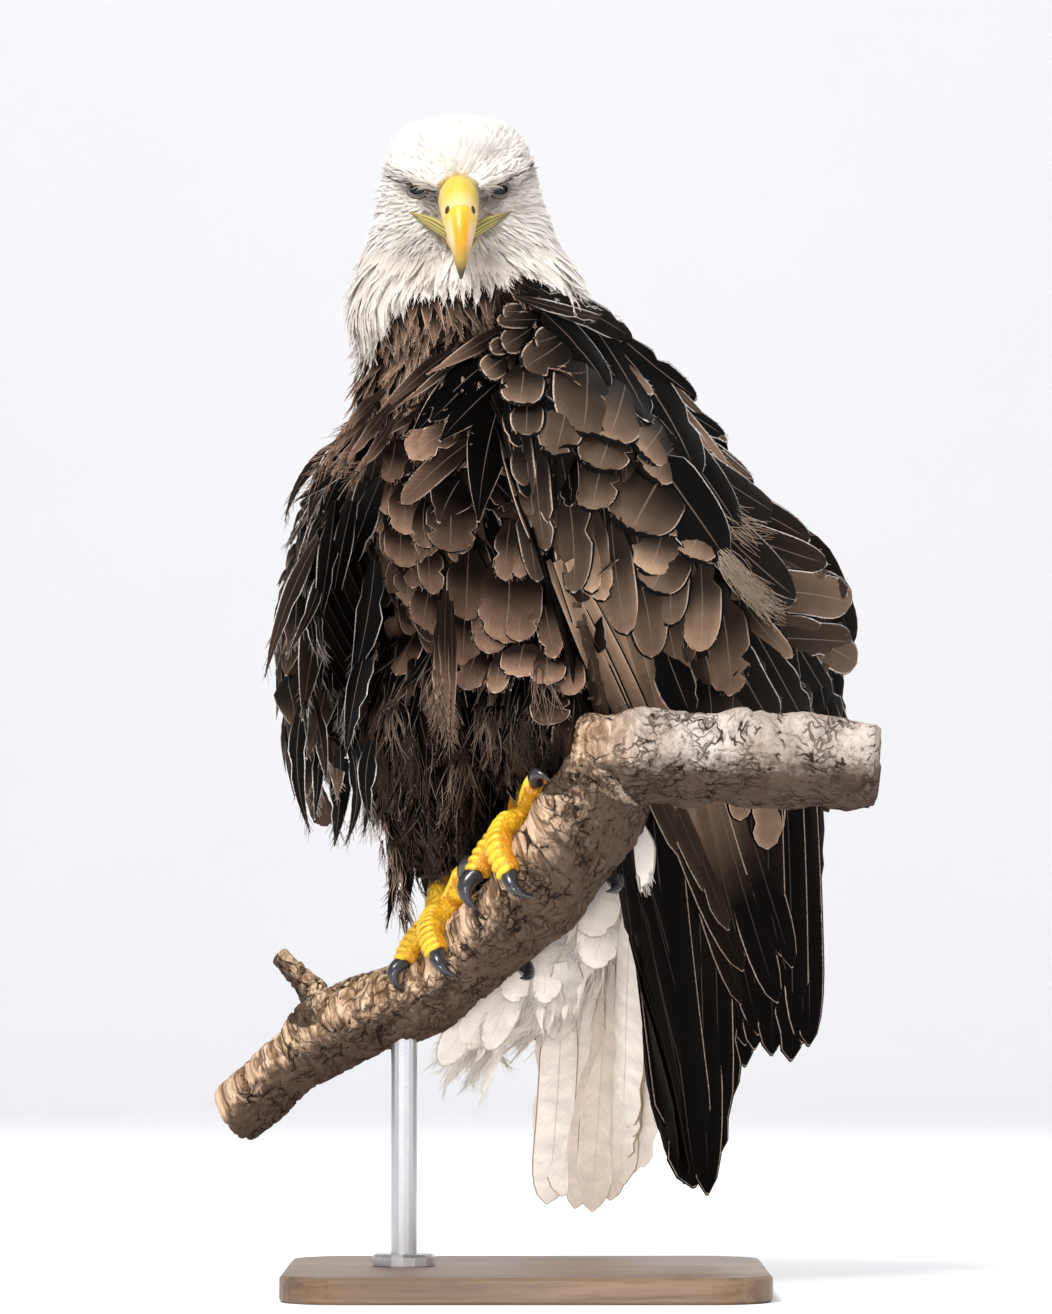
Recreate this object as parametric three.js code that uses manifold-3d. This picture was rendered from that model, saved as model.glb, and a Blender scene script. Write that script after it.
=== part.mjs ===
// A bald eagle, life size, gripping a cut length of branch that a plain stand holds up.
// Millimetres, +Z up. The bird's head looks along -Y, and its left is +X.
// The origin is the centre of the base's underside.
import * as THREE from "three";
import { mergeVertices } from "three/addons/utils/BufferGeometryUtils.js";
import Module from "manifold-3d";

const wasm = await Module();
wasm.setup();

// ---------------------------------------------------------------- driving sizes
const GAP = 0.35; // left between pieces that touch
const TRUNK_YAW = THREE.MathUtils.degToRad(-30); // the trunk is turned to the bird's right, the head isn't
const HEAD_PITCH = THREE.MathUtils.degToRad(18); // the head looks down by this
const SHOULDERS = new THREE.Vector3(-27, -50, 590); // middle of the trunk between the shoulders
const EYES = new THREE.Vector3(-45, -125, 745); // midpoint between the eyes
const EYE_RADIUS = 11.5;
const EYE_OUT = 25; // from the midpoint to each eyeball's centre
const FEATHER_THICK = 4; // flight feathers, two or three lying on each other
const COVERT_THICK = 10; // wing coverts, several rows
const BASE = { width: 330, depth: 290, height: 18, corner: 40, bevel: 2 };
const ROD = { radius: 9, x: -84, y: 10, footRadius: 22, footHeight: 8 };

const COLOURS = {
  white: { color: 0xece7dd, roughness: 0.85 },
  brown: { color: 0x4a382c, roughness: 0.8 },
  dark: { color: 0x241c18, roughness: 0.75 },
  tail: { color: 0xe3dccb, roughness: 0.8 },
  yellow: { color: 0xe2ab17, roughness: 0.45 },
  horn: { color: 0xe9a820, roughness: 0.35 },
  claw: { color: 0x25222a, roughness: 0.3 },
  eye: { color: 0xd9c489, roughness: 0.1 },
  bark: { color: 0x9a8268, roughness: 0.95 },
  base: { color: 0x6b5847, roughness: 0.6 },
  steel: { color: 0xb4b4b6, roughness: 0.35, metalness: 1 },
};

// ---------------------------------------------------------------- solids
const V = (x, y, z) => new THREE.Vector3(x, y, z);

function solid(geometry, near = 1e-4) {
  const bare = new THREE.BufferGeometry()
    .setAttribute("position", geometry.getAttribute("position"))
    .setIndex(geometry.getIndex());
  const merged = mergeVertices(bare, near);
  const triVerts = new Uint32Array(merged.index.array);
  const vertProperties = new Float32Array(merged.attributes.position.array);
  const made = new wasm.Manifold(new wasm.Mesh({ numProp: 3, vertProperties, triVerts }));
  if (made.volume() > 0) return made;
  triVerts.reverse();
  return new wasm.Manifold(new wasm.Mesh({ numProp: 3, vertProperties, triVerts }));
}

// The largest body of a cut solid: the scraps beyond a cut are dropped, once points that a cut
// left within a micrometre of each other are merged.
function largest(manifold) {
  const merged = solid(geometryOf(manifold), 1e-3);
  return merged.decompose().reduce((a, b) => (b.volume() > a.volume() ? b : a));
}

function geometryOf(manifold) {
  const mesh = manifold.getMesh();
  return new THREE.BufferGeometry()
    .setAttribute("position", new THREE.BufferAttribute(mesh.vertProperties, mesh.numProp))
    .setIndex(new THREE.BufferAttribute(mesh.triVerts, 1));
}

// A closed skin over rings of equal count, with a fan over each end.
function loft(rings) {
  const count = rings[0].length;
  const points = rings.flat();
  const index = [];
  for (let r = 0; r + 1 < rings.length; r++)
    for (let i = 0; i < count; i++) {
      const a = r * count + i;
      const b = r * count + ((i + 1) % count);
      index.push(a, b, b + count, a, b + count, a + count);
    }
  for (const [ring, start, flip] of [
    [rings[0], 0, true],
    [rings.at(-1), (rings.length - 1) * count, false],
  ]) {
    const hub = points.length;
    points.push(ring.reduce((sum, p) => sum.add(p), V(0, 0, 0)).divideScalar(count));
    for (let i = 0; i < count; i++) {
      const a = start + i;
      const b = start + ((i + 1) % count);
      index.push(...(flip ? [b, a, hub] : [a, b, hub]));
    }
  }
  return new THREE.BufferGeometry().setFromPoints(points).setIndex(index);
}

// Rows of named sizes, run through smoothly: returns steps + 1 rows.
function smooth(rows, steps) {
  const keys = Object.keys(rows[0]);
  const curves = keys.map(
    (key) => new THREE.CatmullRomCurve3(rows.map((row) => V(row[key], 0, 0)), false, "catmullrom"),
  );
  return Array.from({ length: steps + 1 }, (_, i) =>
    Object.fromEntries(keys.map((key, k) => [key, curves[k].getPoint(i / steps).x])),
  );
}

// One egg-shaped ring: half a width to each side, its own depth in front and behind, and the
// front narrowed by taper, from 0 for an oval to nearly 1 for a beak-like point.
function eggRing({ centre, side, behind, half, front, rear, taper = 0, grow = 0 }, count) {
  return Array.from({ length: count }, (_, i) => {
    const angle = (i / count) * 2 * Math.PI;
    const ahead = Math.cos(angle);
    const narrow = 1 - taper * Math.max(0, ahead) ** 1.5;
    return centre
      .clone()
      .addScaledVector(side, (half + grow) * Math.sin(angle) * narrow)
      .addScaledVector(behind, -ahead * ((ahead > 0 ? front : rear) + grow));
  });
}

// A round tube along a smooth path. radii run evenly along it, and flat squeezes its sections
// along a given direction.
function tube(path, radii, { sides = 10, steps = 10, grow = 0, flat = null, rough = null } = {}) {
  const curve = new THREE.CatmullRomCurve3(path);
  const radius = new THREE.CatmullRomCurve3(radii.map((r) => V(r, 0, 0)));
  const frames = curve.computeFrenetFrames(steps);
  const rings = [];
  for (let s = 0; s <= steps; s++) {
    const t = s / steps;
    const centre = curve.getPoint(curve.getUtoTmapping(t));
    const r = radius.getPoint(t).x + grow;
    rings.push(
      Array.from({ length: sides }, (_, i) => {
        const angle = (i / sides) * 2 * Math.PI;
        const out = frames.normals[s]
          .clone()
          .multiplyScalar(Math.cos(angle))
          .addScaledVector(frames.binormals[s], Math.sin(angle));
        if (flat) out.addScaledVector(flat.along, -flat.by * out.dot(flat.along));
        return centre.clone().addScaledVector(out, r * (rough ? rough(t, angle) : 1));
      }),
    );
  }
  return loft(rings);
}

// A closed slab under a surface of two variables: across runs over the feathers, along runs
// from their roots to their tips. lift moves the whole slab along the surface's outward side.
function slab(surface, { columns, rows, thick, lift = 0, grow = 0, outward }) {
  const grid = Array.from({ length: columns + 1 }, (_, c) =>
    Array.from({ length: rows + 1 }, (_, r) => surface(c / columns, r / rows)),
  );
  const widen = (edge, inner) => edge.addScaledVector(edge.clone().sub(inner).normalize(), grow);
  for (let r = 0; r <= rows; r++) {
    widen(grid[0][r], grid[1][r]);
    widen(grid[columns][r], grid[columns - 1][r]);
  }
  for (let c = 0; c <= columns; c++) {
    widen(grid[c][0], grid[c][1]);
    widen(grid[c][rows], grid[c][rows - 1]);
  }
  const normal = (c, r) => {
    const across = grid[Math.min(c + 1, columns)][r].clone().sub(grid[Math.max(c - 1, 0)][r]);
    const along = grid[c][Math.min(r + 1, rows)].clone().sub(grid[c][Math.max(r - 1, 0)]);
    const n = across.cross(along).normalize();
    return n.dot(outward) < 0 ? n.negate() : n;
  };
  const points = [];
  for (const face of [1, -1])
    for (let c = 0; c <= columns; c++)
      for (let r = 0; r <= rows; r++)
        points.push(
          grid[c][r].clone().addScaledVector(normal(c, r), lift + face * (thick / 2 + grow)),
        );
  const top = (c, r) => c * (rows + 1) + r;
  const under = (c, r) => top(c, r) + (columns + 1) * (rows + 1);
  const index = [];
  const quad = (a, b, c, d) => index.push(a, b, c, a, c, d);
  for (let c = 0; c < columns; c++)
    for (let r = 0; r < rows; r++) {
      quad(top(c, r), top(c + 1, r), top(c + 1, r + 1), top(c, r + 1));
      quad(under(c, r), under(c, r + 1), under(c + 1, r + 1), under(c + 1, r));
    }
  for (let c = 0; c < columns; c++) {
    quad(top(c, 0), under(c, 0), under(c + 1, 0), top(c + 1, 0));
    quad(top(c, rows), top(c + 1, rows), under(c + 1, rows), under(c, rows));
  }
  for (let r = 0; r < rows; r++) {
    quad(top(0, r), top(0, r + 1), under(0, r + 1), under(0, r));
    quad(top(columns, r), under(columns, r), under(columns, r + 1), top(columns, r + 1));
  }
  return new THREE.BufferGeometry().setFromPoints(points).setIndex(index);
}

// ---------------------------------------------------------------- places on the body
const SIDE = V(1, 0, 0).applyAxisAngle(V(0, 0, 1), TRUNK_YAW); // towards the bird's left
const BEHIND = V(0, 1, 0).applyAxisAngle(V(0, 0, 1), TRUNK_YAW);

// side to the bird's left, rear behind and up above the middle of the shoulders
const onBody = (side, rear, up) =>
  SHOULDERS.clone().addScaledVector(SIDE, side).addScaledVector(BEHIND, rear).add(V(0, 0, up));

// A point of the head, which is pitched: left, back and up from the midpoint between the eyes
const onHead = (left, back, up) =>
  V(left, back, up).applyAxisAngle(V(1, 0, 0), HEAD_PITCH).add(EYES);

// ---------------------------------------------------------------- trunk, neck and head
// Level sections of the trunk from the neck down to the root of the tail.
const TRUNK_ROWS = [
  { up: 98, mid: -28, half: 60, front: 54, rear: 56 },
  { up: 62, mid: -20, half: 81, front: 74, rear: 72 },
  { up: 0, mid: -6, half: 96, front: 92, rear: 82 },
  { up: -70, mid: 28, half: 103, front: 100, rear: 86 },
  { up: -140, mid: 66, half: 97, front: 92, rear: 76 },
  { up: -210, mid: 106, half: 80, front: 76, rear: 58 },
  { up: -268, mid: 140, half: 58, front: 50, rear: 42 },
  { up: -306, mid: 162, half: 30, front: 24, rear: 22 },
];
const TRUNK_STEPS = 9;

function trunkForm(grow = 0) {
  return solid(
    loft(
      smooth(TRUNK_ROWS, TRUNK_STEPS).map((row, i) =>
        eggRing(
          {
            ...row,
            centre: onBody(0, row.mid, row.up + (i === 0 ? grow : i === TRUNK_STEPS ? -grow : 0)),
            side: SIDE,
            behind: BEHIND,
            grow,
          },
          14,
        ),
      ),
    ),
  );
}

// Level sections of the feathered head and neck, measured from between the eyes: a flat crown,
// a face that narrows to the bill, full cheeks, and hackles that widen to the breast and hang
// over more on the bird's left.
const HEAD_ROWS = [
  { up: 51, aside: 0, mid: 8, half: 18, front: 16, rear: 18, taper: 0.1 },
  { up: 45, aside: 0, mid: 9, half: 37, front: 31, rear: 38, taper: 0.15 },
  { up: 30, aside: 0, mid: 12, half: 48, front: 43, rear: 52, taper: 0.25 },
  { up: 12, aside: 0, mid: 16, half: 54, front: 45, rear: 62, taper: 0.5 },
  { up: -10, aside: 1, mid: 18, half: 59, front: 43, rear: 68, taper: 0.62 },
  { up: -30, aside: 2, mid: 20, half: 65, front: 43, rear: 74, taper: 0.5 },
  { up: -55, aside: 4, mid: 24, half: 73, front: 50, rear: 78, taper: 0.25 },
  { up: -80, aside: 5, mid: 29, half: 77, front: 56, rear: 78, taper: 0.08 },
  { up: -106, aside: 4, mid: 36, half: 68, front: 50, rear: 68, taper: 0 },
  { up: -136, aside: 2, mid: 48, half: 46, front: 36, rear: 46, taper: 0 },
];
const HEAD_STEPS = 9;
const THROAT = -90; // where the head is parted from the neck, below the eyes

function headForm(grow = 0) {
  const skull = loft(
    smooth(HEAD_ROWS, HEAD_STEPS).map((row, i) =>
      eggRing(
        {
          ...row,
          centre: V(row.aside, row.mid, row.up + (i === 0 ? grow : i === HEAD_STEPS ? -grow : 0)).add(EYES),
          side: V(1, 0, 0),
          behind: V(0, 1, 0),
          grow,
        },
        16,
      ),
    ),
  );
  let made = solid(skull);
  if (grow === 0) for (const left of [1, -1]) made = made.subtract(socketForm(left));
  for (const left of [1, -1]) made = made.add(browForm(left, grow));
  return made;
}

// The ridge of bone over each eye, which gives an eagle its frown
function browForm(left, grow = 0) {
  return solid(
    tube(
      [onHead(left * 11, -28, 7), onHead(left * 25, -21, 10), onHead(left * 38, -3, 15), onHead(left * 43, 20, 17)],
      [6, 7, 7.5, 4],
      { sides: 6, steps: 3, grow },
    ),
  );
}

// The hollow in front of an eye, between the brow and the cheek
const socketForm = (left) =>
  solid(tube([onHead(left * 13, -46, 1), onHead(left * 25, -27, -2), onHead(left * 34, -9, 0)], [9, 13, 11], {
    sides: 7,
    steps: 2,
  }));

// A block much larger than the bird on one side of a tilted plane, for thin cuts
function halfSpace(point, facing) {
  const block = new THREE.BoxGeometry(900, 900, 900).translate(0, 0, 450);
  const turn = new THREE.Quaternion().setFromUnitVectors(V(0, 0, 1), facing.clone().normalize());
  return solid(block.applyQuaternion(turn).translate(point.x, point.y, point.z));
}

// ---------------------------------------------------------------- eyes and bill
const eyeCentre = (left) => onHead(left * EYE_OUT, -1, 0);

const eyeForm = (left, grow = 0) =>
  solid(
    new THREE.SphereGeometry(EYE_RADIUS + grow, 10, 7)
      .rotateX(Math.PI / 2)
      .translate(...eyeCentre(left).toArray()),
  );

// The upper bill from the forehead over the ridge to the hook. Each row is a section: how far
// ahead and how high its ridge lies, how deep and how wide it is.
const BILL_ROWS = [
  { ahead: 20, ridge: 12.5, deep: 27, wide: 26, lean: 0 },
  { ahead: 28, ridge: 14, deep: 30, wide: 27, lean: 0.05 },
  { ahead: 42, ridge: 13.5, deep: 30, wide: 26, lean: 0.15 },
  { ahead: 58, ridge: 8, deep: 28, wide: 24, lean: 0.35 },
  { ahead: 73, ridge: -4, deep: 24, wide: 20, lean: 0.65 },
  { ahead: 83, ridge: -20, deep: 16, wide: 14, lean: 1.05 },
  { ahead: 85, ridge: -35, deep: 8, wide: 7.5, lean: 1.35 },
  { ahead: 83, ridge: -45, deep: 1.6, wide: 1.6, lean: 1.5 },
];
const CERE_END = 40; // ahead of the eyes, where the soft cere gives way to horn

function upperBillForm(grow = 0) {
  const rings = smooth(BILL_ROWS, 9).map((row) => {
    const down = V(0, Math.sin(row.lean), -Math.cos(row.lean)); // across the bill, ridge to edge
    const middle = V(0, -row.ahead, row.ridge).addScaledVector(down, row.deep / 2);
    return Array.from({ length: 10 }, (_, i) => {
      const angle = (i / 10) * 2 * Math.PI;
      const low = Math.cos(angle); // 1 at the cutting edge, -1 on the ridge
      const out = (row.wide / 2 + grow) * Math.sin(angle) * (1 + 0.12 * low);
      const p = middle.clone().addScaledVector(down, low * (row.deep / 2 + grow));
      return onHead(out, p.y, p.z);
    });
  });
  return solid(loft(rings));
}

// The lower bill, a shallow trough that ends behind the hook
function lowerBillForm(grow = 0) {
  const path = [onHead(0, -22, -21), onHead(0, -36, -23), onHead(0, -52, -25), onHead(0, -68, -23)];
  return solid(tube(path, [12, 11, 9, 4], { sides: 8, steps: 4, grow }));
}

// The fleshy yellow corner of the mouth, running back under the eye
function gapeForm(left, grow = 0) {
  const path = [onHead(left * 7, -44, -17), onHead(left * 16, -26, -17), onHead(left * 29, -9, -14)];
  const flat = { along: V(0, 0, 1).applyAxisAngle(V(1, 0, 0), HEAD_PITCH), by: 0.25 };
  return solid(tube(path, [5, 6.5, 2.2], { sides: 6, steps: 3, grow, flat }));
}

// ---------------------------------------------------------------- branch
// The axis of the sloping part, from its sawn lower end up to the elbow, with its radii
const SLOPE = {
  path: [
    V(-203, 80, 120), V(-164, 56, 155), V(-122, 32, 184), V(-63, 0, 208), V(-25, -25, 241),
    V(8, -58, 276), V(38, -90, 316), V(55, -108, 352),
  ],
  radii: [21, 21, 27, 25, 27, 31, 34, 31],
};
// The nearly level arm beyond the elbow, blunt at both ends
const ARM = {
  path: [V(39, -104, 361), V(84, -116, 364), V(130, -124, 362), V(184, -128, 361), V(234, -130, 357)],
  radii: [29, 31, 29, 30, 27],
};
const TWIG = { path: [V(-134, 38, 190), V(-154, 40, 212), V(-172, 38, 231)], radii: [10, 7, 5.5] };
const SLOPE_CURVE = new THREE.CatmullRomCurve3(SLOPE.path);
const SLOPE_RADIUS = new THREE.CatmullRomCurve3(SLOPE.radii.map((r) => V(r, 0, 0)));

const barkLumps = (t, angle) =>
  1 + 0.035 * Math.sin(3 * angle + 23 * t) + 0.03 * Math.sin(2 * angle - 37 * t);

function branchForm(grow = 0) {
  return solid(tube(SLOPE.path, SLOPE.radii, { sides: 9, steps: 13, grow, rough: barkLumps }))
    .add(solid(tube(ARM.path, ARM.radii, { sides: 9, steps: 6, grow, rough: barkLumps })))
    .add(solid(tube(TWIG.path, TWIG.radii, { sides: 6, steps: 3, grow })));
}

// ---------------------------------------------------------------- feet
// Where each foot grips: t along the slope. Toes run round the branch from its top, by an angle
// over the front in degrees, and sideways along it by splay at their ends; rise lifts an end.
const FEET = {
  left: {
    grip: 0.765,
    toes: {
      inner: { splay: -34, turn: 52, radius: 9.8, claw: 36, clawRadius: 7.2 },
      middle: { splay: -3, turn: 94, radius: 9.4, claw: 32, clawRadius: 6.2 },
      outer: { splay: 44, turn: 34, radius: 8.8, claw: 30, clawRadius: 5.8, rise: 4 },
      hind: { splay: 4, turn: -92, radius: 9.8, claw: 38, clawRadius: 7.6 },
    },
  },
  right: {
    grip: 0.525,
    toes: {
      inner: { splay: 40, turn: 22, radius: 9.8, claw: 34, clawRadius: 7, rise: 9 },
      middle: { splay: -2, turn: 80, radius: 9.4, claw: 32, clawRadius: 6.2 },
      outer: { splay: -32, turn: 50, radius: 8.8, claw: 29, clawRadius: 5.8 },
      hind: { splay: 8, turn: -98, radius: 9.8, claw: 38, clawRadius: 7.6 },
    },
  },
};
const SOLE = 12; // height of the foot's middle above the bark
const TOE_LIE = 8.8; // height of a toe's middle above the bark at its end

// The branch's frame where a foot grips: along it, out through the foot and over the front
function gripFrame(t) {
  const point = SLOPE_CURVE.getPoint(t);
  const along = SLOPE_CURVE.getTangent(t);
  const up = V(0, 0, 1).addScaledVector(along, -along.z).normalize();
  const over = along.clone().cross(up).negate().normalize();
  if (over.y > 0) over.negate();
  return { point, along, up, over, radius: SLOPE_RADIUS.getPoint(t).x };
}

// A point round the branch: turned over the front by an angle, shifted along, and above the bark
function roundBranch(frame, degrees, shift, height) {
  const angle = THREE.MathUtils.degToRad(degrees);
  return frame.point
    .clone()
    .addScaledVector(frame.along, shift)
    .addScaledVector(frame.up, Math.cos(angle) * (frame.radius + height))
    .addScaledVector(frame.over, Math.sin(angle) * (frame.radius + height));
}

const ankleOf = (foot) => roundBranch(gripFrame(foot.grip), -6, 0, SOLE + 5);

function toePath(frame, toe) {
  return [0, 0.35, 0.7, 1].map((s) =>
    roundBranch(
      frame,
      -4 + (toe.turn + 4) * s,
      toe.splay * s ** 0.85,
      SOLE + (TOE_LIE - SOLE) * s + (toe.rise ?? 0) * s * s,
    ),
  );
}

// A claw's path: on from the toe's end, curling down to the bark
function clawPath(frame, toe) {
  const [near, end] = [0.9, 1].map((s) =>
    roundBranch(frame, toe.turn * s, toe.splay * s ** 0.85, TOE_LIE + (toe.rise ?? 0)),
  );
  const ahead = end.clone().sub(near).normalize();
  const inward = roundBranch(frame, toe.turn, toe.splay, 0).sub(end).normalize();
  const bend = 1.35; // radians turned between root and tip
  const reach = toe.claw / bend;
  return [0, 0.33, 0.67, 1].map((s) =>
    end
      .clone()
      .addScaledVector(ahead, reach * Math.sin(bend * s) + 3 * (1 - s) - 3)
      .addScaledVector(inward, reach * (1 - Math.cos(bend * s)) - 9 * Math.sin((Math.PI * s) / 1.6)),
  );
}

const clawForm = (frame, toe, grow = 0) =>
  solid(
    tube(clawPath(frame, toe), [1, 0.86, 0.5, 0.1].map((k) => k * toe.clawRadius), {
      sides: 5,
      steps: 5,
      grow,
    }),
  );

function footForm(foot, grow = 0) {
  const frame = gripFrame(foot.grip);
  const ankle = ankleOf(foot);
  const shank = [roundBranch(frame, 0, 0, 2), ankle, ankle.clone().add(V(0, 6, 22))];
  let made = solid(tube(shank, [13, 14, 10.5], { sides: 7, steps: 2, grow }));
  for (const toe of Object.values(foot.toes))
    made = made.add(
      solid(
        tube(toePath(frame, toe), [1.2, 1, 0.95, 0.86].map((k) => k * toe.radius), {
          sides: 6,
          steps: 3,
          grow,
        }),
      ),
    );
  return made;
}

// The feathered shank and thigh, from the hip down to the ankle
const THIGHS = {
  left: { hip: onBody(46, 40, -140), knee: onBody(34, 6, -200), foot: FEET.left, low: 45 },
  right: { hip: onBody(-56, 36, -150), knee: onBody(-58, 10, -225), foot: FEET.right, low: 41 },
};

function thighForm({ hip, knee, foot, low: radius }, grow = 0) {
  const ankle = ankleOf(foot).add(V(0, 3, 14));
  const low = knee.clone().lerp(ankle, 0.62);
  return solid(tube([hip, knee, low, ankle], [52, 54, radius, 18], { sides: 10, steps: 5, grow }));
}

// ---------------------------------------------------------------- tail
const TAIL = { root: V(50, 92, 326), tip: V(50, 168, 50), rootHalf: 27, tipHalf: 42, feathers: 6 };

// The tail's feathers lie in a shallow roof, nearly closed; each ends in a blunt round tip.
function tailSurface(across, along) {
  const side = across * 2 - 1;
  const spread = THREE.MathUtils.lerp(TAIL.rootHalf, TAIL.tipHalf, along);
  const within = (across * TAIL.feathers) % 1;
  const notch = 0.03 * Math.abs(within - 0.5) * 2 + 0.05 * side * side;
  const reach = along * (1 - notch);
  return TAIL.root
    .clone()
    .lerp(TAIL.tip, reach)
    .add(V(0.94, -0.2, 0.06).multiplyScalar(side * spread))
    .add(V(0, 1, 0).multiplyScalar(10 * (1 - side * side) * (1 - 0.4 * along)));
}

const tailForm = (grow = 0) =>
  solid(
    slab(tailSurface, { columns: TAIL.feathers * 3, rows: 2, thick: 5, grow, outward: V(0, 1, 0) }),
  );

// White feathers under the tail's root, puffed out below the vent
const VENT = {
  path: [V(36, 56, 345), V(28, 76, 288), V(0, 88, 230), V(-40, 84, 174)],
  radii: [42, 56, 60, 20],
};
const ventForm = (grow = 0) =>
  solid(
    tube(VENT.path, VENT.radii, {
      sides: 10,
      steps: 5,
      grow,
      flat: { along: BEHIND, by: 0.45 },
    }),
  );

// ---------------------------------------------------------------- wings
// Each wing hangs from its arm. The flight feathers run from a line of roots to a line of tips,
// both from the innermost to the leading one; the wrist is at LAST_SECONDARY of the way. The
// coverts reach a share of the way over them, or hang to a line of tips of their own.
const LAST_SECONDARY = 5 / 7;
const WINGS = {
  left: {
    count: { secondaries: 7, primaries: 6, coverts: 6, scapulars: 3 },
    upperArm: { path: [V(16, -62, 642), V(90, -54, 584), V(148, -34, 512)], radii: [40, 40, 26] },
    forearm: { path: [V(148, -36, 512), V(74, -112, 570), V(0, -142, 608)], radii: [22, 26, 24] },
    roots: [
      V(168, -8, 534), V(156, -34, 508), V(112, -88, 548), V(62, -124, 584),
      V(10, -150, 604), V(-18, -158, 606), V(4, -142, 520), V(38, -100, 440),
    ],
    tips: [
      V(227, 30, 444), V(210, 72, 300), V(200, 90, 205), V(194, 94, 172),
      V(174, 92, 162), V(152, 88, 158), V(116, 78, 66), V(98, 60, 112),
    ],
    coverts: { reach: { inner: 0.6, leading: 0.22 } },
    outward: V(0.6, -0.78, 0.1),
    bulge: 16,
    shoulderRoots: [V(-34, -14, 664), V(20, -26, 652), V(80, -30, 604), V(142, -14, 540)],
    shoulderTips: [V(12, 58, 500), V(82, 74, 462), V(150, 66, 424), V(212, 44, 414)],
    shoulderOutward: V(0.3, 0.8, 0.5),
  },
  right: {
    count: { secondaries: 5, primaries: 4, coverts: 5, scapulars: 3 },
    upperArm: { path: [V(-78, -20, 634), V(-102, 44, 570), V(-108, 104, 496)], radii: [36, 36, 24] },
    forearm: { path: [V(-108, 104, 496), V(-130, 14, 530), V(-128, -50, 550)], radii: [22, 24, 21] },
    roots: [
      V(-98, 124, 522), V(-116, 106, 494), V(-132, 60, 514), V(-140, 10, 532),
      V(-140, -40, 546), V(-136, -60, 548), V(-148, -50, 496), V(-150, -30, 440),
    ],
    tips: [
      V(-60, 190, 400), V(-30, 216, 290), V(0, 226, 235), V(15, 230, 212),
      V(30, 232, 190), V(44, 232, 168), V(62, 222, 100), V(50, 206, 140),
    ],
    coverts: {
      reach: { inner: 1, leading: 1 },
      tips: [
        V(-78, 160, 440), V(-92, 150, 390), V(-108, 120, 372), V(-134, 84, 372),
        V(-156, 52, 392), V(-158, 26, 382), V(-141, 4, 320), V(-120, -12, 316),
      ],
    },
    outward: V(-0.86, 0.5, 0.1),
    bulge: 14,
    shoulderRoots: [V(-56, -10, 662), V(-90, 8, 624), V(-112, 48, 574), V(-116, 98, 506)],
    shoulderTips: [V(-14, 56, 490), V(-48, 108, 462), V(-70, 152, 430), V(-90, 182, 412)],
    shoulderOutward: V(-0.6, 0.7, 0.5),
  },
};

// A set of feathers: across from root to root along the bones, along from roots to tips, from
// one to another share of the two lines. Each feather's tip is rounded by a notch beside it, and
// reach is the share of the way that the feathers cover at both ends of the set.
function featherSurface({ outward, bulge }, roots, tips, { from, to, count, notch, reach }) {
  const rootLine = new THREE.CatmullRomCurve3(roots);
  const tipLine = new THREE.CatmullRomCurve3(tips);
  return (across, along) => {
    const place = THREE.MathUtils.lerp(from, to, across);
    const edge = Math.abs(((across * count) % 1) - 0.5) * 2;
    const share = along * (reach ? THREE.MathUtils.lerp(reach.inner, reach.leading, place) : 1);
    return rootLine
      .getPoint(place)
      .lerp(tipLine.getPoint(place), share * (1 - notch * edge ** 2))
      .addScaledVector(outward, bulge * Math.sin(Math.PI * share ** 0.8));
  };
}

function secondariesForm(wing, grow = 0) {
  const count = wing.count.secondaries;
  const share = { from: 0, to: LAST_SECONDARY, count, notch: 0.035 };
  const surface = featherSurface(wing, wing.roots, wing.tips, share);
  const size = { columns: count * 3, rows: 2, thick: FEATHER_THICK };
  return solid(slab(surface, { ...size, grow, outward: wing.outward }));
}

function primariesForm(wing, grow = 0) {
  const count = wing.count.primaries;
  const share = { from: LAST_SECONDARY - 0.02, to: 1, count, notch: 0.05 };
  const surface = featherSurface(wing, wing.roots, wing.tips, share);
  const size = { columns: count * 3, rows: 3, thick: FEATHER_THICK, lift: -FEATHER_THICK - 2 };
  return solid(slab(surface, { ...size, grow, outward: wing.outward }));
}

// The rows of smaller feathers that roof the forearm and the roots of the long ones
function covertsForm(wing, grow = 0) {
  const count = wing.count.coverts;
  const { reach, tips = wing.tips } = wing.coverts;
  const share = { from: 0, to: 1, count, notch: 0.07, reach };
  const surface = featherSurface(wing, wing.roots, tips, share);
  const lift = FEATHER_THICK / 2 + COVERT_THICK / 2 + 1;
  const size = { columns: count * 3, rows: 2, thick: COVERT_THICK, lift };
  return solid(slab(surface, { ...size, grow, outward: wing.outward }));
}

// The feathers that close the wing to the back, from the upper arm's ridge down
function scapularsForm(wing, grow = 0) {
  const count = wing.count.scapulars;
  const outward = wing.shoulderOutward.clone().normalize();
  const share = { from: 0, to: 1, count, notch: 0.1 };
  const surface = featherSurface({ outward, bulge: 20 }, wing.shoulderRoots, wing.shoulderTips, share);
  return solid(slab(surface, { columns: count * 3, rows: 2, thick: COVERT_THICK, grow, outward }));
}

// The feathered upper arm and forearm
function armForm({ upperArm, forearm, outward }, grow = 0) {
  const flat = { along: outward.clone().normalize(), by: 0.35 };
  const size = { sides: 6, steps: 3, grow, flat };
  return solid(tube(upperArm.path, upperArm.radii, size)).add(solid(tube(forearm.path, forearm.radii, size)));
}

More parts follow.
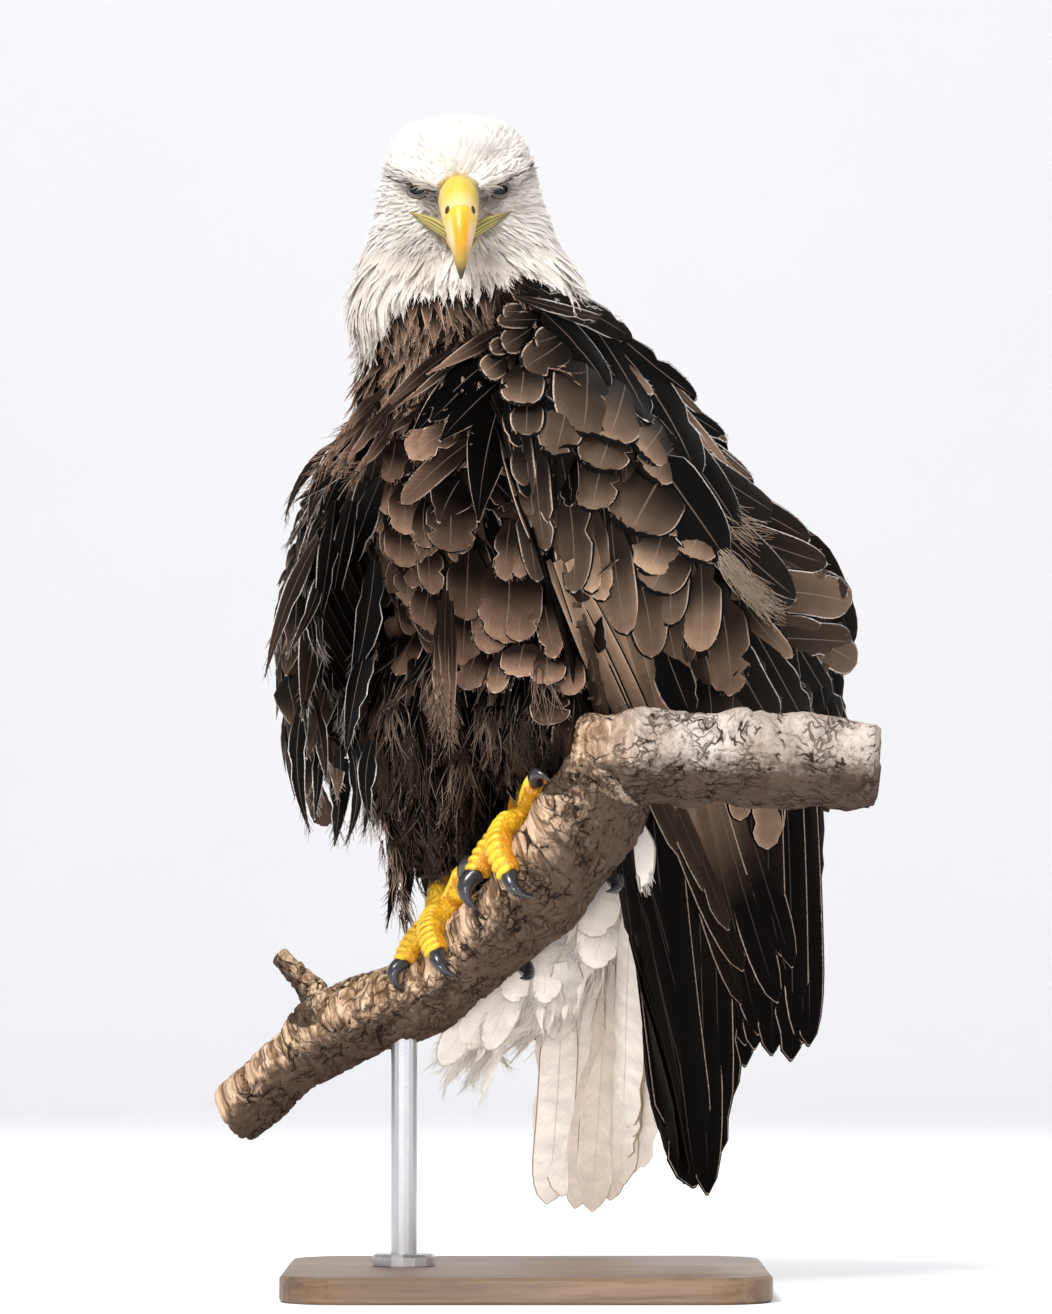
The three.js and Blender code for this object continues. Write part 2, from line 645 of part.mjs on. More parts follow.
// ---------------------------------------------------------------- stand
function baseForm() {
  const { width, depth, height, corner, bevel } = BASE;
  const [w, d] = [width / 2 - bevel, depth / 2 - bevel];
  const shape = new THREE.Shape();
  shape.moveTo(-w + corner, -d);
  shape.absarc(w - corner, -d + corner, corner, -Math.PI / 2, 0);
  shape.absarc(w - corner, d - corner, corner, 0, Math.PI / 2);
  shape.absarc(-w + corner, d - corner, corner, Math.PI / 2, Math.PI);
  shape.absarc(-w + corner, -d + corner, corner, Math.PI, 1.5 * Math.PI);
  return new THREE.ExtrudeGeometry(shape, {
    depth: height - 2 * bevel,
    bevelThickness: bevel,
    bevelSize: bevel,
    bevelSegments: 1,
    curveSegments: 4,
  }).translate(0, 0, bevel);
}

// A turned rod with a flange at its foot
function rodForm() {
  const floor = BASE.height + GAP;
  const profile = [
    [0, floor], [ROD.footRadius, floor], [ROD.footRadius, floor + ROD.footHeight - 2],
    [ROD.footRadius - 2, floor + ROD.footHeight], [ROD.radius, floor + ROD.footHeight],
    [ROD.radius, 190], [0, 190],
  ].map(([x, y]) => new THREE.Vector2(x, y));
  return solid(new THREE.LatheGeometry(profile, 16).rotateX(Math.PI / 2).translate(ROD.x, ROD.y, 0));
}

// ---------------------------------------------------------------- the scene graph
const eagle = new THREE.Group();
const perch = new THREE.Group();
const stand = new THREE.Group();

function add(group, name, form, colour) {
  const geometry = form.isBufferGeometry ? form : geometryOf(largest(form));
  const material = new THREE.MeshStandardMaterial({ metalness: 0, ...COLOURS[colour] });
  const mesh = new THREE.Mesh(geometry, material);
  mesh.name = name;
  group.add(mesh);
}

const branchGrown = branchForm(GAP);
add(perch, "perch_branch", branchForm(), "bark");
add(stand, "stand_base", baseForm(), "base");
add(stand, "stand_rod", rodForm().subtract(branchGrown), "steel");

// Head: one form with the neck, parted by a thin level cut, and opened for the bill and eyes
const billGrown = upperBillForm(GAP).add(lowerBillForm(GAP)).add(gapeForm(1, GAP)).add(gapeForm(-1, GAP));
const eyesGrown = eyeForm(1, GAP).add(eyeForm(-1, GAP));
const cut = EYES.clone().add(V(0, 0, THROAT));
const tilt = V(0, 0.35, 1);
add(eagle, "head", headForm().intersect(halfSpace(cut, tilt)).subtract(billGrown).subtract(eyesGrown), "white");
const neck = headForm().intersect(halfSpace(cut.clone().addScaledVector(tilt, -GAP), tilt.clone().negate()));
add(eagle, "neck", neck, "brown");

const cereCut = onHead(0, -CERE_END, 0);
const billAhead = onHead(0, -1, 0.12).sub(EYES);
add(eagle, "bill_upper", upperBillForm().intersect(halfSpace(cereCut.clone().addScaledVector(billAhead, GAP), billAhead)), "horn");
add(eagle, "cere", upperBillForm().intersect(halfSpace(cereCut, billAhead.clone().negate())).subtract(eyesGrown), "yellow");
add(eagle, "bill_lower", lowerBillForm().subtract(upperBillForm(GAP)).subtract(eyesGrown), "horn");
for (const [name, left] of [["left", 1], ["right", -1]]) {
  add(eagle, "gape_" + name, gapeForm(left).subtract(upperBillForm(GAP)).subtract(lowerBillForm(GAP)), "yellow");
  add(eagle, "eye_" + name, eyeForm(left), "eye");
}

const headGrown = headForm(GAP);
const trunkGrown = trunkForm(GAP);
add(eagle, "trunk", trunkForm().subtract(headGrown), "brown");

const clawsOf = (foot, grow) =>
  Object.entries(foot.toes).map(([digit, toe]) => [digit, clawForm(gripFrame(foot.grip), toe, grow)]);
const clawsGrown = [FEET.left, FEET.right]
  .flatMap((foot) => clawsOf(foot, GAP).map(([, claw]) => claw))
  .reduce((a, b) => a.add(b));
for (const [name, foot] of Object.entries(FEET))
  for (const [digit, claw] of clawsOf(foot, 0)) add(eagle, `claw_${name}_${digit}`, claw.subtract(branchGrown), "claw");
const gripped = branchGrown.add(clawsGrown);
add(eagle, "foot_left", footForm(FEET.left).subtract(gripped), "yellow");
add(eagle, "foot_right", footForm(FEET.right).subtract(gripped).subtract(footForm(FEET.left, GAP)), "yellow");

const feetGrown = footForm(FEET.left, GAP).add(footForm(FEET.right, GAP)).add(clawsGrown);
const thighsGrown = thighForm(THIGHS.left, GAP).add(thighForm(THIGHS.right, GAP));
const thighRightGrown = thighForm(THIGHS.right, GAP);
add(eagle, "thigh_right", thighForm(THIGHS.right).subtract(trunkGrown).subtract(feetGrown).subtract(branchGrown), "dark");
add(eagle, "thigh_left", thighForm(THIGHS.left).subtract(trunkGrown).subtract(thighRightGrown).subtract(feetGrown).subtract(branchGrown), "dark");

const rump = trunkGrown.add(thighsGrown).add(feetGrown).add(branchGrown);
add(eagle, "tail", tailForm().subtract(rump), "tail");
add(eagle, "undertail_coverts", ventForm().subtract(rump).subtract(tailForm(GAP)), "white");

const body = rump.add(headGrown).add(tailForm(GAP)).add(ventForm(GAP));
let others = body;
for (const [name, wing] of Object.entries(WINGS)) {
  const roof = (grow) => armForm(wing, grow).add(covertsForm(wing, grow)).add(scapularsForm(wing, grow));
  add(eagle, `wing_${name}_coverts`, roof(0).subtract(others), "brown");
  const roofed = others.add(roof(GAP));
  add(eagle, `wing_${name}_secondaries`, secondariesForm(wing).subtract(roofed), "dark");
  const laid = roofed.add(secondariesForm(wing, GAP));
  add(eagle, `wing_${name}_primaries`, primariesForm(wing).subtract(laid), "dark");
  others = laid.add(primariesForm(wing, GAP));
}

const display = new THREE.Group();
display.add(stand, perch, eagle);
export default display;
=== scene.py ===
"""A bald eagle on a cut branch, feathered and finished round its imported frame. Metres, +Z up."""
import math

import bmesh
import bpy
import numpy as np
from bpy.props import FloatProperty, FloatVectorProperty, IntProperty, PointerProperty
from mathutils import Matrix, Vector, noise
from mathutils.bvhtree import BVHTree


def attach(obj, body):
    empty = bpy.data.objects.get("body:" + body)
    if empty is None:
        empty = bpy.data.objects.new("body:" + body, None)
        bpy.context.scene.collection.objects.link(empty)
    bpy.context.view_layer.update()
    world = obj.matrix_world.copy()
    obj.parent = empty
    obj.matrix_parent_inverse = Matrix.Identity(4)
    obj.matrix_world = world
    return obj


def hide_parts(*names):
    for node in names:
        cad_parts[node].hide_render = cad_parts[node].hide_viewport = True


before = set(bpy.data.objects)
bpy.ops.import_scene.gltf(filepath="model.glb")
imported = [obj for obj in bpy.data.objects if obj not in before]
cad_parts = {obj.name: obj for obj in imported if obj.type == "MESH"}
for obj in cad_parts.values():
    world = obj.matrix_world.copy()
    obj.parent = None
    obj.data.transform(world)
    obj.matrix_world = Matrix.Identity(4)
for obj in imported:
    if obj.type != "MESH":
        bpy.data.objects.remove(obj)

bl_info = {
    "name": "Bald eagle on a branch",
    "version": (1, 0, 0),
    "blender": (4, 5, 0),
    "location": "View3D > Sidebar > Eagle",
    "description": "Skin, plumage, bill, eyes, feet, branch, stand and stage of a perched eagle",
    "category": "Object",
}

MM = 0.001


def mm(*values):
    """Millimetres of the construction as an array in metres."""
    return np.array(values, float) * MM


# ---------------------------------------------------------------- the construction's own lines
EYES = mm(-45, -125, 745)
HEAD_PITCH = math.radians(18)
TRUNK_YAW = math.radians(-30)
SIDE = np.array([math.cos(TRUNK_YAW), math.sin(TRUNK_YAW), 0])
BEHIND = np.array([-math.sin(TRUNK_YAW), math.cos(TRUNK_YAW), 0])
SHOULDERS = mm(-27, -50, 590)
EYE_OUT = 25  # millimetres from the head's middle to each eyeball's centre
WALL = 6.5  # metres from the origin back to the backdrop
NOISE_SEED = 3  # noise_vector's offsets follow the clock where no seed is set
EYE_RADIUS = 11.5  # millimetres
DOWN = np.array([0.0, 0, -1])

# ahead and height of the ridge, depth, width and lean of the bill's sections
BILL_ROWS = np.array([
    (20, 12.5, 27, 26, 0), (28, 14, 30, 27, 0.05), (42, 13.5, 30, 26, 0.15), (58, 8, 28, 24, 0.35),
    (73, -4, 24, 20, 0.65), (83, -20, 16, 14, 1.05), (85, -35, 8, 7.5, 1.35), (83, -45, 1.6, 1.6, 1.5),
])
SLOPE = mm((-203, 80, 120), (-164, 56, 155), (-122, 32, 184), (-63, 0, 208), (-25, -25, 241),
           (8, -58, 276), (38, -90, 316), (55, -108, 352))
SLOPE_RADII = mm(21, 21, 27, 25, 27, 31, 34, 31)
ARM = mm((39, -104, 361), (84, -116, 364), (130, -124, 362), (184, -128, 361), (234, -130, 357))
ARM_RADII = mm(29, 31, 29, 30, 27)
TWIG = mm((-134, 38, 190), (-154, 40, 212), (-172, 38, 231))
TWIG_RADII = mm(10, 7, 5.5)

# grip along the slope; each toe's splay, turn, radius, claw length, claw radius and rise
FEET = {
    "left": (0.765, {
        "inner": (-34, 52, 9.8, 36, 7.2, 0), "middle": (-3, 94, 9.4, 32, 6.2, 0),
        "outer": (44, 34, 8.8, 30, 5.8, 4), "hind": (4, -92, 9.8, 38, 7.6, 0)}),
    "right": (0.525, {
        "inner": (40, 22, 9.8, 34, 7, 9), "middle": (-2, 80, 9.4, 32, 6.2, 0),
        "outer": (-32, 50, 8.8, 29, 5.8, 0), "hind": (8, -98, 9.8, 38, 7.6, 0)}),
}
SOLE, TOE_LIE = 12, 8.8

TAIL_ROOT, TAIL_TIP = mm(50, 92, 326), mm(50, 168, 50)
TAIL_ACROSS = np.array([0.94, -0.2, 0.06])

# where the front elevation of the feathers is drawn from
VIEW = mm(0, -4000, 230)

WRIST = 5 / 7
WINGS = {
    "left": {
        "roots": mm((168, -8, 534), (156, -34, 508), (112, -88, 548), (62, -124, 584),
                    (10, -150, 604), (-18, -158, 606), (4, -142, 520), (38, -100, 440)),
        "tips": mm((227, 30, 444), (210, 72, 300), (200, 90, 205), (194, 94, 172),
                   (174, 92, 162), (152, 88, 158), (116, 78, 66), (98, 60, 112)),
        "outward": np.array([0.6, -0.78, 0.1]), "bulge": 0.016,
        "shoulder_roots": mm((-34, -14, 664), (20, -26, 652), (80, -30, 604), (142, -14, 540)),
        "shoulder_tips": mm((12, 58, 500), (82, 74, 462), (150, 66, 424), (212, 44, 414)),
        "shoulder_outward": np.array([0.3, 0.8, 0.5]),
    },
    "right": {
        "roots": mm((-98, 124, 522), (-116, 106, 494), (-132, 60, 514), (-140, 10, 532),
                    (-140, -40, 546), (-136, -60, 548), (-148, -50, 496), (-150, -30, 440)),
        "tips": mm((-60, 190, 400), (-30, 216, 290), (0, 226, 235), (15, 230, 212),
                   (30, 232, 190), (44, 232, 168), (62, 222, 100), (50, 206, 140)),
        "outward": np.array([-0.86, 0.5, 0.1]), "bulge": 0.014,
        "shoulder_roots": mm((-56, -10, 662), (-90, 8, 624), (-112, 48, 574), (-116, 98, 506)),
        "shoulder_tips": mm((-14, 56, 490), (-48, 108, 462), (-70, 152, 430), (-90, 182, 412)),
        "shoulder_outward": np.array([-0.6, 0.7, 0.5]),
    },
}

# the lower edge of the white head in front elevation: places across and heights
HEM = ((-130, -120, -99, -89, -77, -59, -35, -23, -10, 0, 38, 50),
       (648, 649, 664, 676, 685, 685, 686, 688, 697, 697, 684, 676))

# how deep the coat is over each solid of flesh, in millimetres
COAT_DEPTH = {
    "head": 2.5, "neck": 7, "trunk": 10, "thigh_left": 11, "thigh_right": 11,
    "wing_left_coverts": 3.5, "wing_right_coverts": 3.5, "undertail_coverts": 9,
}


# ---------------------------------------------------------------- the plumage in front elevation
# Feathers in the order they are laid: the root's and the tip's place across and up at the
# mid-plane and the width, in millimetres, then the tone from 0, dark, to 1, pale. The flight
# feathers have one tone for the root and one for the tip.
# Most of these places, and those of FACE_LINES, were printed by another program and pasted in.
# They should be worked out from the frame or from driving dimensions instead, and aren't.
LEFT_COVERTS = (
    (113, 448, 110, 391, 21, 0.5), (156, 448, 149, 396, 23, 0.85), (89, 497, 108, 399, 28, 0.75),
    (73, 506, 86, 438, 26, 0.5), (59, 534, 69, 454, 25, 0.6), (46, 545, 53, 477, 23, 0.85),
    (36, 553, 44, 482, 22, 0.95), (23, 581, 32, 482, 26, 0.24), (120, 509, 118, 441, 29, 0.85),
    (131, 487, 139, 411, 33, 0.45), (145, 484, 181, 437, 17, 0.5), (106, 513, 99, 460, 25, 0.35),
    (103, 520, 84, 484, 39, 0.35), (95, 530, 82, 495, 34, 0.9), (127, 541, 108, 506, 39, 0.55),
    (121, 543, 95, 523, 15, 0.45), (98, 571, 70, 524, 52, 0.28), (55, 578, 44, 539, 33, 0.42),
    (105, 585, 80, 562, 34, 0.49), (95, 600, 76, 575, 36, 0.52), (63, 600, 48, 566, 37, 0.32),
    (69, 632, 54, 585, 41, 0.39), (36, 635, 18, 575, 32, 0.3), (39, 650, 35, 589, 47, 0.2),
    (-4, 553, 10, 491, 19, 0.15), (7, 595, 15, 512, 18, 0.21), (-4, 615, 8, 530, 14, 0.18),
    (-19, 620, 14, 509, 15, 0.22), (1, 618, 0, 590, 23, 0.18), (-1, 639, -4, 609, 29, 0.3),
    (32, 661, -4, 635, 26, 0.14), (26, 662, 3, 653, 19, 0.1), (4, 665, -18, 651, 18, 0.14),
    (-6, 657, -26, 649, 12, 0.14), (-15, 644, -30, 632, 18, 0.32), (11, 671, -22, 671, 12, 0.12),
    (0, 676, -18, 677, 11, 0.24),
)
# Most scapulars are laid at tone 0, black: painted shade along the edge of the shoulder.
SCAPULARS = (
    (51, 662, 113, 559, 41, 0.0), (79, 614, 144, 518, 41, 0.0), (34, 679, 79, 597, 37, 0.0),
    (10, 675, 51, 620, 34, 0.0), (79, 586, 134, 504, 41, 0.0), (113, 545, 182, 476, 41, 0.02),
    (-4, 691, 57, 667, 17, 0.06), (1, 693, 70, 656, 19, 0.02), (61, 661, 115, 614, 19, 0.0),
    (86, 620, 134, 586, 17, 0.0), (112, 589, 153, 553, 17, 0.0), (89, 591, 172, 530, 29, 0.03),
    (120, 553, 192, 515, 26, 0.03), (134, 527, 204, 500, 25, 0.05), (54, 651, 84, 615, 11, 0.45),
    (65, 647, 101, 600, 10, 0.45), (70, 657, 113, 586, 10, 0.5), (73, 649, 124, 576, 10, 0.55),
    (79, 638, 135, 566, 10, 0.55), (86, 628, 150, 553, 10, 0.5), (68, 658, 120, 600, 8, 0.2),
    (94, 617, 135, 582, 8, 0.2), (108, 604, 152, 558, 8, 0.2), (-8, 687, 51, 671, 8, 0.1),
)
TERTIALS = (
    (168, 476, 215, 392, 23, 0.0), (153, 462, 189, 391, 28, 0.02), (134, 462, 168, 391, 28, 0.02),
    (155, 516, 219, 480, 22, 0.08), (146, 504, 204, 492, 25, 0.2), (161, 451, 221, 448, 23, 0.15),
    (170, 462, 224, 433, 26, 0.35), (141, 482, 221, 475, 29, 0.45),
)
FLIGHT = (
    (79, 421, 115, 73, 44, 0, 0), (113, 448, 124, 68, 28, 0.02, 0), (121, 448, 132, 95, 25, 0.02, 0),
    (130, 448, 141, 135, 23, 0.02, 0), (138, 448, 150, 156, 23, 0.03, 0),
    (189, 448, 189, 172, 28, 0, 0), (182, 442, 193, 170, 25, 0.02, 0), (172, 442, 181, 160, 28, 0, 0),
    (161, 442, 168, 164, 25, 0.02, 0), (151, 442, 156, 168, 23, 0.03, 0),
    (112, 462, 182, 224, 23, 0.42, 0), (98, 476, 172, 200, 22, 0.64, 0), (86, 483, 159, 178, 22, 0.51, 0),
    (73, 490, 150, 171, 22, 0.81, 0), (59, 497, 148, 199, 21, 0.59, 0.01),
    (48, 502, 148, 222, 21, 0.85, 0.01),
    (39, 504, 138, 250, 19, 0.64, 0.04), (29, 504, 130, 268, 18, 0.85, 0.06),
    (21, 504, 115, 287, 17, 0.64, 0.07),
    (14, 504, 103, 306, 15, 0.68, 0.3), (165, 414, 164, 306, 28, 0.42, 0.45),
    (146, 407, 146, 326, 18, 0.42, 0.45),
)
LONG_BLACK = (
    (-135, 448, -153, 366, 28, 0.15), (-141, 476, -156, 393, 25, 0.05), (-149, 414, -139, 349, 15, 0.05),
    (-153, 407, -148, 315, 14, 0.0), (-141, 393, -146, 324, 12, 0.0), (-135, 379, -131, 337, 14, 0.3),
    (-128, 373, -132, 305, 17, 0.0), (-123, 379, -124, 306, 12, 0.0), (-116, 379, -110, 313, 11, 0.0),
    (-106, 379, -105, 323, 15, 0.0), (-125, 504, -144, 407, 21, 0.0), (-132, 545, -148, 448, 18, 0.0),
    (-120, 545, -137, 448, 18, 0.0), (-109, 559, -128, 476, 21, 0.0), (-104, 504, -120, 407, 23, 0.0),
    (-108, 448, -121, 366, 23, 0.0), (-121, 589, -166, 531, 10, 0.05), (-125, 580, -165, 513, 8, 0.1),
    (-127, 575, -163, 489, 8, 0.1), (-130, 566, -167, 473, 9, 0.05), (-144, 518, -181, 423, 14, 0.1),
    (-139, 504, -168, 440, 12, 0.05), (-126, 562, -157, 511, 8, 0.15), (-123, 556, -154, 482, 8, 0.15),
    (-128, 531, -157, 471, 10, 0.05), (-120, 552, -144, 495, 8, 0.15), (-117, 546, -142, 473, 8, 0.15),
    (-121, 518, -132, 468, 10, 0.1), (-135, 486, -135, 437, 7, 0.15), (-131, 483, -131, 402, 8, 0.1),
    (-138, 490, -139, 420, 7, 0.1), (-125, 442, -126, 383, 10, 0.0), (-112, 600, -158, 545, 17, 0.0),
    (-110, 596, -150, 528, 18, 0.05), (-106, 590, -142, 516, 18, 0.0), (-102, 580, -134, 500, 20, 0.05),
    (-100, 560, -126, 480, 20, 0.0),
    (-139, 538, -155, 514, 8, 0.1), (-133, 544, -146, 509, 8, 0.15), (-129, 534, -141, 491, 9, 0.1),
    (-131, 522, -137, 479, 8, 0.2), (-149, 499, -153, 476, 8, 0.1), (-143, 491, -134, 437, 9, 0.1),
    (-139, 479, -131, 425, 10, 0.05), (-137, 464, -134, 417, 8, 0.1), (-146, 464, -139, 427, 9, 0.05),
    (-129, 509, -133, 464, 9, 0.15), (-127, 514, -129, 472, 9, 0.1), (-151, 514, -157, 485, 8, 0.1),
    (-141, 509, -144, 472, 9, 0.1), (-133, 472, -130, 433, 9, 0.1), (-145, 476, -146, 437, 10, 0.05),
    (-151, 472, -151, 437, 10, 0.0), (-127, 472, -128, 437, 10, 0.1), (-136, 448, -133, 402, 10, 0.05),
    (-143, 441, -141, 406, 12, 0.0), (-129, 445, -129, 406, 10, 0.05),
)
STRINGY = (
    (-120, 506, -126, 440, 10, 0.8), (-115, 504, -115, 461, 10, 0.7), (-121, 455, -122, 381, 11, 0.5),
    (-125, 476, -124, 407, 8, 0.6), (-110, 448, -112, 425, 8, 0.5), (-103, 483, -98, 437, 21, 0.45),
    (-59, 476, -59, 388, 11, 0.6), (-55, 483, -52, 379, 11, 0.65), (-51, 476, -49, 376, 8, 0.6),
    (-62, 448, -61, 399, 10, 0.7), (-100, 618, -141, 571, 9, 1.0), (-104, 612, -146, 560, 8, 0.9),
    (-98, 606, -136, 556, 10, 0.9), (-96, 622, -130, 585, 10, 1.0), (-92, 612, -126, 566, 10, 0.95),
    (-90, 602, -120, 560, 10, 0.8),
)
LEGS = (
    (-30, 410, -34, 300, 30, 0.05), (-14, 410, -20, 308, 28, 0.05), (2, 410, -6, 330, 28, 0.05),
    (-60, 380, -66, 262, 28, 0.05), (-76, 370, -84, 252, 24, 0.0), (-46, 390, -50, 290, 28, 0.05),
    (-90, 350, -98, 246, 16, 0.0), (16, 410, 8, 345, 24, 0.05), (-36, 400, -42, 296, 28, 0.05),
    (-20, 400, -25, 280, 34, 0.0), (-32, 400, -31, 280, 32, 0.0), (-40, 390, -40, 285, 30, 0.0),
)
BREAST = (
    (-32, 448, -40, 414, 26, 0.5), (-17, 444, -20, 411, 19, 0.6), (-1, 448, -4, 422, 29, 0.65),
    (15, 444, 16, 417, 25, 0.6), (30, 440, 34, 411, 21, 0.55), (34, 414, 25, 368, 25, 0.25),
    (15, 414, 18, 390, 28, 0.2), (-42, 476, -41, 431, 30, 0.55), (-54, 483, -63, 454, 23, 0.4),
    (-12, 509, -14, 447, 44, 0.5), (-23, 497, -25, 440, 30, 0.5), (10, 490, 21, 436, 19, 0.35),
    (-11, 531, -14, 491, 18, 0.55), (-3, 531, -4, 493, 17, 0.6), (3, 504, -4, 448, 28, 0.4),
    (-40, 511, -40, 464, 29, 0.35), (-68, 518, -62, 482, 21, 0.45), (-87, 531, -84, 501, 29, 0.5),
    (-80, 504, -78, 473, 26, 0.5), (-99, 506, -102, 472, 21, 0.5), (-87, 512, -92, 484, 15, 0.5),
    (-65, 491, -68, 458, 26, 0.4), (-120, 545, -116, 511, 29, 0.6), (-52, 552, -51, 511, 34, 0.25),
    (-70, 545, -65, 514, 23, 0.3), (-83, 559, -81, 523, 28, 0.6), (-111, 548, -110, 520, 23, 0.95),
    (-117, 555, -120, 531, 18, 0.6), (-90, 569, -94, 537, 23, 0.6), (-105, 571, -108, 540, 26, 0.8),
    (-115, 571, -119, 545, 21, 0.85), (-121, 564, -127, 539, 17, 0.75), (-103, 586, -106, 562, 25, 0.4),
    (-91, 586, -94, 560, 21, 0.45), 
    (-34, 589, -84, 544, 17, 0.4), (-39, 600, -79, 575, 19, 0.8),
    (-48, 598, -81, 580, 19, 0.7),
)
# The black feathers of this table are painted shadow under the breast's diagonal fold.
FOLD = (
    (-25, 642, -73, 593, 30, 0.0), (-32, 633, -80, 586, 30, 0.0), (-18, 628, -59, 586, 30, 0.0),
    (-39, 628, -66, 600, 30, 0.0), (-18, 614, -32, 531, 34, 0.0), (-46, 559, -59, 531, 34, 0.05),
    (-73, 611, -102, 586, 11, 0.6), (-46, 647, -87, 611, 7, 0.5), (-57, 642, -105, 593, 11, 0.15),
    (-51, 649, -103, 601, 14, 0.5), (-14, 665, -68, 632, 12, 0.65),
)
VENT = (
    (-4, 241, -39, 167, 28, 0.75), (-18, 228, -57, 157, 23, 0.95), (-8, 228, -42, 172, 21, 0.95),
    (3, 235, -25, 168, 23, 0.85), (10, 248, -8, 200, 28, 0.7), (30, 235, 21, 175, 25, 0.95),
    (20, 241, 13, 200, 23, 0.7), (55, 276, 44, 226, 32, 0.95), (51, 304, 47, 247, 37, 0.75),
    (73, 327, 72, 276, 34, 1.0),
)
TAIL = (
    (65, 228, 59, 65, 25, 0.5), (61, 228, 69, 76, 23, 0.65), (65, 228, 74, 95, 23, 0.85),
    (65, 228, 79, 109, 23, 0.9), (41, 228, 23, 69, 28, 0.9), (23, 228, 13, 64, 26, 1.0),
    (48, 228, 33, 61, 21, 0.5), (57, 228, 46, 59, 25, 0.55), (79, 290, 77, 117, 32, 1.0),
)


# fine lines of the face: the root's and the tip's place, the width and the tone; the black lines over the
# eyes are painted shadow of the brows
FACE_LINES = (
    (-96.4, 770.9, -83.6, 765.5, 1.8, 0), (-86.3, 767.4, -72.7, 762.8, 1.8, 0),
    (-75.8, 764.3, -59.5, 758.9, 1.8, 0), (-95.4, 777.1, -84.4, 767.4, 1, 0.25),
    (-90.6, 772.7, -78.9, 764.9, 1, 0.15), (-93.7, 781.4, -84.4, 769.8, 0.8, 0.5),
    (-87.7, 774.6, -77, 766.3, 0.8, 0.45), (4.9, 779.5, -8.1, 769.9, 1.8, 0),
    (-4.8, 771.7, -18.8, 765.3, 1.8, 0),
    (-16.4, 766.3, -32.7, 759.7, 1.8, 0), (-1.3, 788.2, -11, 774.6, 0.9, 0.35),
    (-9, 779.5, -18.8, 769.8, 0.9, 0.4),
    (3.4, 782.2, -11, 769.8, 1, 0.2), (-2.4, 779.5, -15.6, 767.4, 0.9, 0.25),
    (-18.8, 777.1, -26.5, 767.8, 0.8, 0.55), (-26.5, 788.2, -22.6, 783.7, 0.8, 0.5),
    (-19.5, 789.6, -26.1, 786.5, 0.8, 0.5), (-71.2, 753.8, -59.1, 750, 1.6, 0.2),
    (-67.3, 751.1, -58.4, 743.7, 1.6, 0.25), (-75.1, 751.9, -63, 744.9, 1.4, 0.35),
    (-63, 756.6, -56.8, 746.5, 2, 0.05), (-18, 753.4, -28.8, 745.7, 1.6, 0.2),
    (-21.5, 754.6, -30.8, 750, 1.6, 0.15), (-15.6, 751.9, -25.4, 743.7, 1.4, 0.35),
    (-27.3, 757.3, -32.3, 747.2, 2, 0.05), (-94.1, 762, -103.2, 759.3, 0.8, 0.5),
    (-91.4, 757.7, -104.2, 753.8, 0.8, 0.5), (-88.6, 753.3, -100.3, 748, 0.8, 0.5),
    (-86.3, 749.4, -96.4, 744.9, 0.8, 0.55), (-102.2, 734.4, -86.7, 733.6, 0.8, 0.6),
    (-108.1, 730.5, -90.2, 731.3, 0.8, 0.6), (-71.2, 728.6, -88.6, 718.1, 0.9, 0.45),
    (-68.3, 728.6, -86.3, 722, 0.9, 0.4), (-58.6, 725.9, -71.2, 728.2, 1.2, 0.25),
    (-53.7, 718.9, -68.3, 726.7, 1, 0.35), (-57.6, 722.2, -77, 718.9, 0.8, 0.5),
    (-57.6, 718.9, -71.2, 712.3, 0.8, 0.5), (-27.3, 722, -5.2, 713.1, 0.9, 0.5),
    (-18.8, 727, 0.7, 718.9, 0.9, 0.5),
    (-28.8, 728.6, -14.5, 731.3, 1.2, 0.3), (-11, 742.6, 0.7, 745.5, 0.8, 0.5),
    (-9, 746.5, 8.8, 750.7, 0.8, 0.5),
    (-26.5, 716.4, -11, 703.7, 0.8, 0.55), (12.7, 719.3, 20.5, 713.1, 0.8, 0.45),
    (-79, 743.5, -66, 736.5, 0.9, 0.1), (-67.5, 737, -57, 726, 0.9, 0.05), (-75, 739, -61, 729.5, 0.7, 0.2),
    (-10.5, 745, -22, 738, 0.9, 0.1), (-21, 739, -32, 727, 0.9, 0.05), (-14, 741, -28, 730.5, 0.7, 0.2),
    (17.2, 717.3, 29.8, 703.4, 0.9, 0.35), (25.9, 713.5, 36, 699.5, 0.9, 0.4),
    (29.8, 703.7, 41, 687.8, 0.9, 0.35),
    (35.6, 697.9, 43, 684.7, 0.9, 0.35), (-115.4, 715.4, -120.9, 701.8, 0.8, 0.5),
    (-113.5, 694, -123.6, 674.6, 0.9, 0.4), (-116.8, 690.2, -127.5, 666.5, 0.9, 0.4),
    (-121.3, 676.6, -129, 662.6, 0.9, 0.4), (-103.8, 692.1, -114.3, 672.3, 1.2, 0.2),
    (-99.9, 688.2, -111.9, 660.6, 1.2, 0.15), (-111.6, 674.6, -119.7, 652.9, 1.2, 0.15),
    (-100.7, 676.6, -103.4, 662.6, 1.2, 0.1), (-93.7, 684.3, -97.2, 670.4, 1.2, 0.1),
    (-86.7, 692.1, -89.4, 678.5, 1, 0.25),
)


# ---------------------------------------------------------------- numbers
def unit(v):
    return v / np.maximum(np.linalg.norm(v, axis=-1, keepdims=True), 1e-12)


def dot(a, b):
    return (a * b).sum(-1, keepdims=True)


def blend(a, b, share):
    return a + (b - a) * share


def ease(value, low, high):
    """0 below low, 1 above high and smooth between them."""
    t = np.clip((np.asarray(value, float) - low) / (high - low), 0, 1)
    return t * t * (3 - 2 * t)


